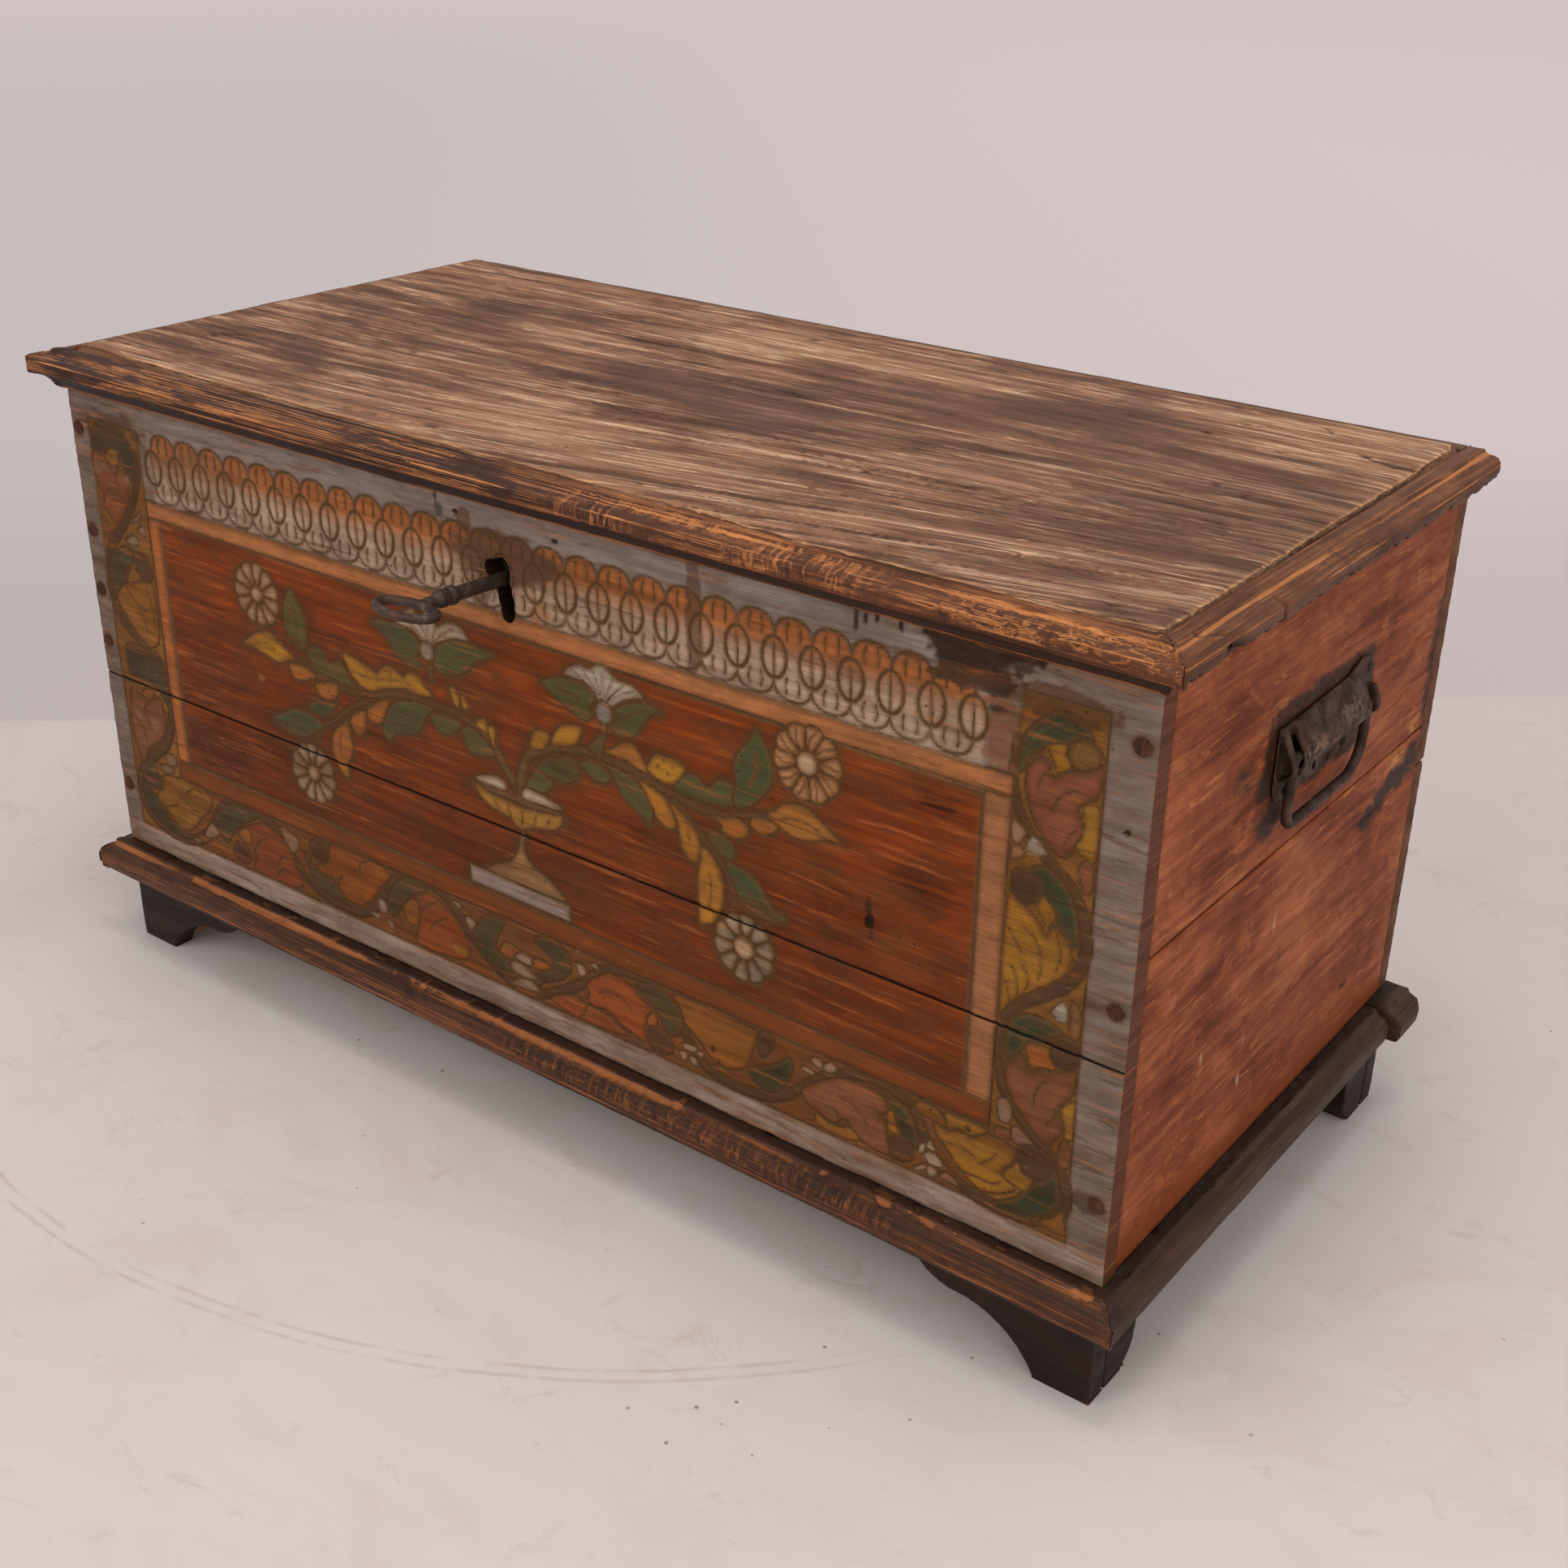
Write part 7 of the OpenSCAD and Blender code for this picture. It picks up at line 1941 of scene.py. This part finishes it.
def floor_tone(m):
    """Pale concrete with smears, scuffs, specks and two faint arcs scraped into it in front of the chest."""
    m.col = m.ramp(m.noise((1.2, 1.2, 1.2), 4), [(0.3, (202, 190, 186)), (0.7, (210, 198, 194))])
    m.lay(m.span(m.noise((5, 8, 5), 7, 0.72, 1.0, (3, 1, 0)), 0.48, 0.66, 0.0, 0.30), (196, 176, 162))
    m.lay(m.span(m.noise((16, 24, 14), 6, 0.76, 0.9), 0.58, 0.70, 0.0, 0.42), (184, 163, 147))
    for size, big, least in ((14, 0.05, 0.56), (46, 0.075, 0.54)):
        some = m.span(m.noise((5, 5, 5), 3, 0.5, 0, (size, 2, 0)), least, least + 0.05)
        speck = m.mul(m.span(m.cells((size, size, size)), big, 0.6 * big), some)
        m.lay(m.mul(speck, 0.75), (124, 102, 86))
    dx, dy = m.sub(m.place(0), ARC_CENTRE[0]), m.sub(m.place(1), ARC_CENTRE[1])
    away = m.math("SQRT", m.add(m.mul(dx, dx), m.mul(dy, dy)))
    away = m.add(away, m.mul(m.noise((9, 9, 9), 4, 0.6, 0, (2, 2, 2)), 0.006))
    for radius, seed in ARC_RADII:
        arc = m.span(m.off(away, radius), 0.0024, 0.0002)
        worn_off = m.span(m.noise((30, 30, 30), 5, 0.7, 0, (seed, 1, 0)), 0.36, 0.6)
        arc = m.mul(arc, m.mul(worn_off, m.span(dy, -0.30, -0.42)))
        m.lay(m.mul(arc, 0.38), (170, 146, 128))


def add_floor():
    """One plane; past the line where the room's wall stood it takes the wall's tone."""
    bpy.ops.mesh.primitive_plane_add(size=60, location=(0, 0, 0))
    floor = bpy.context.object
    floor.name = "floor"
    m = Look("floor_plain", 0.8)
    floor_tone(m)
    x, y = m.place(0), m.place(1)
    beyond = m.add(m.mul(x, -WALL_LINE.y), m.mul(y, WALL_LINE.x))
    beyond = m.sub(beyond, -WALL_POINT[0] * WALL_LINE.y + WALL_POINT[1] * WALL_LINE.x)
    level = m.add(m.mul(x, WALL_LINE.x), m.mul(y, WALL_LINE.y))
    # Painted shade on the wall's tone: darker towards its left end, and darker towards its foot just past
    # the line
    wall = m.ramp(m.add(m.mul(level, 0.3), 0.35), [(0.1, (199, 188, 187)), (0.5, (208, 195, 193)),
        (0.9, (213, 199, 198))])
    wall = m.mix(1.0, wall, m.span(beyond, 0.0, 1.1, 0.92, 1.0), "MULTIPLY")
    out = m.add(m.mul(x, x), m.mul(y, y))
    wall = m.mix(m.span(out, 6, 80), wall, WALL)
    m.lay(m.span(beyond, -0.006, 0.006), wall)
    m.done(warm=None)
    glow = m.tree.nodes.new("ShaderNodeEmission")
    m.put(glow.inputs["Color"], wall)
    blend = m.tree.nodes.new("ShaderNodeMixShader")
    far = m.math("MAXIMUM", m.span(beyond, 0.05, 0.9), m.span(out, 1.6, 5.5))
    m.put(blend.inputs[0], m.mul(far, seen_directly(m.tree)))
    m.put(blend.inputs[1], m.shader.outputs[0])
    m.put(blend.inputs[2], glow.outputs[0])
    m.put(m.tree.nodes["Material Output"].inputs["Surface"], blend.outputs[0])
    floor.data.materials.append(m.mat)


add_camera()
for row in LIGHTS:
    area_light(*row)
add_world()
add_floor()

bpy.context.scene.view_settings.view_transform = "Standard"
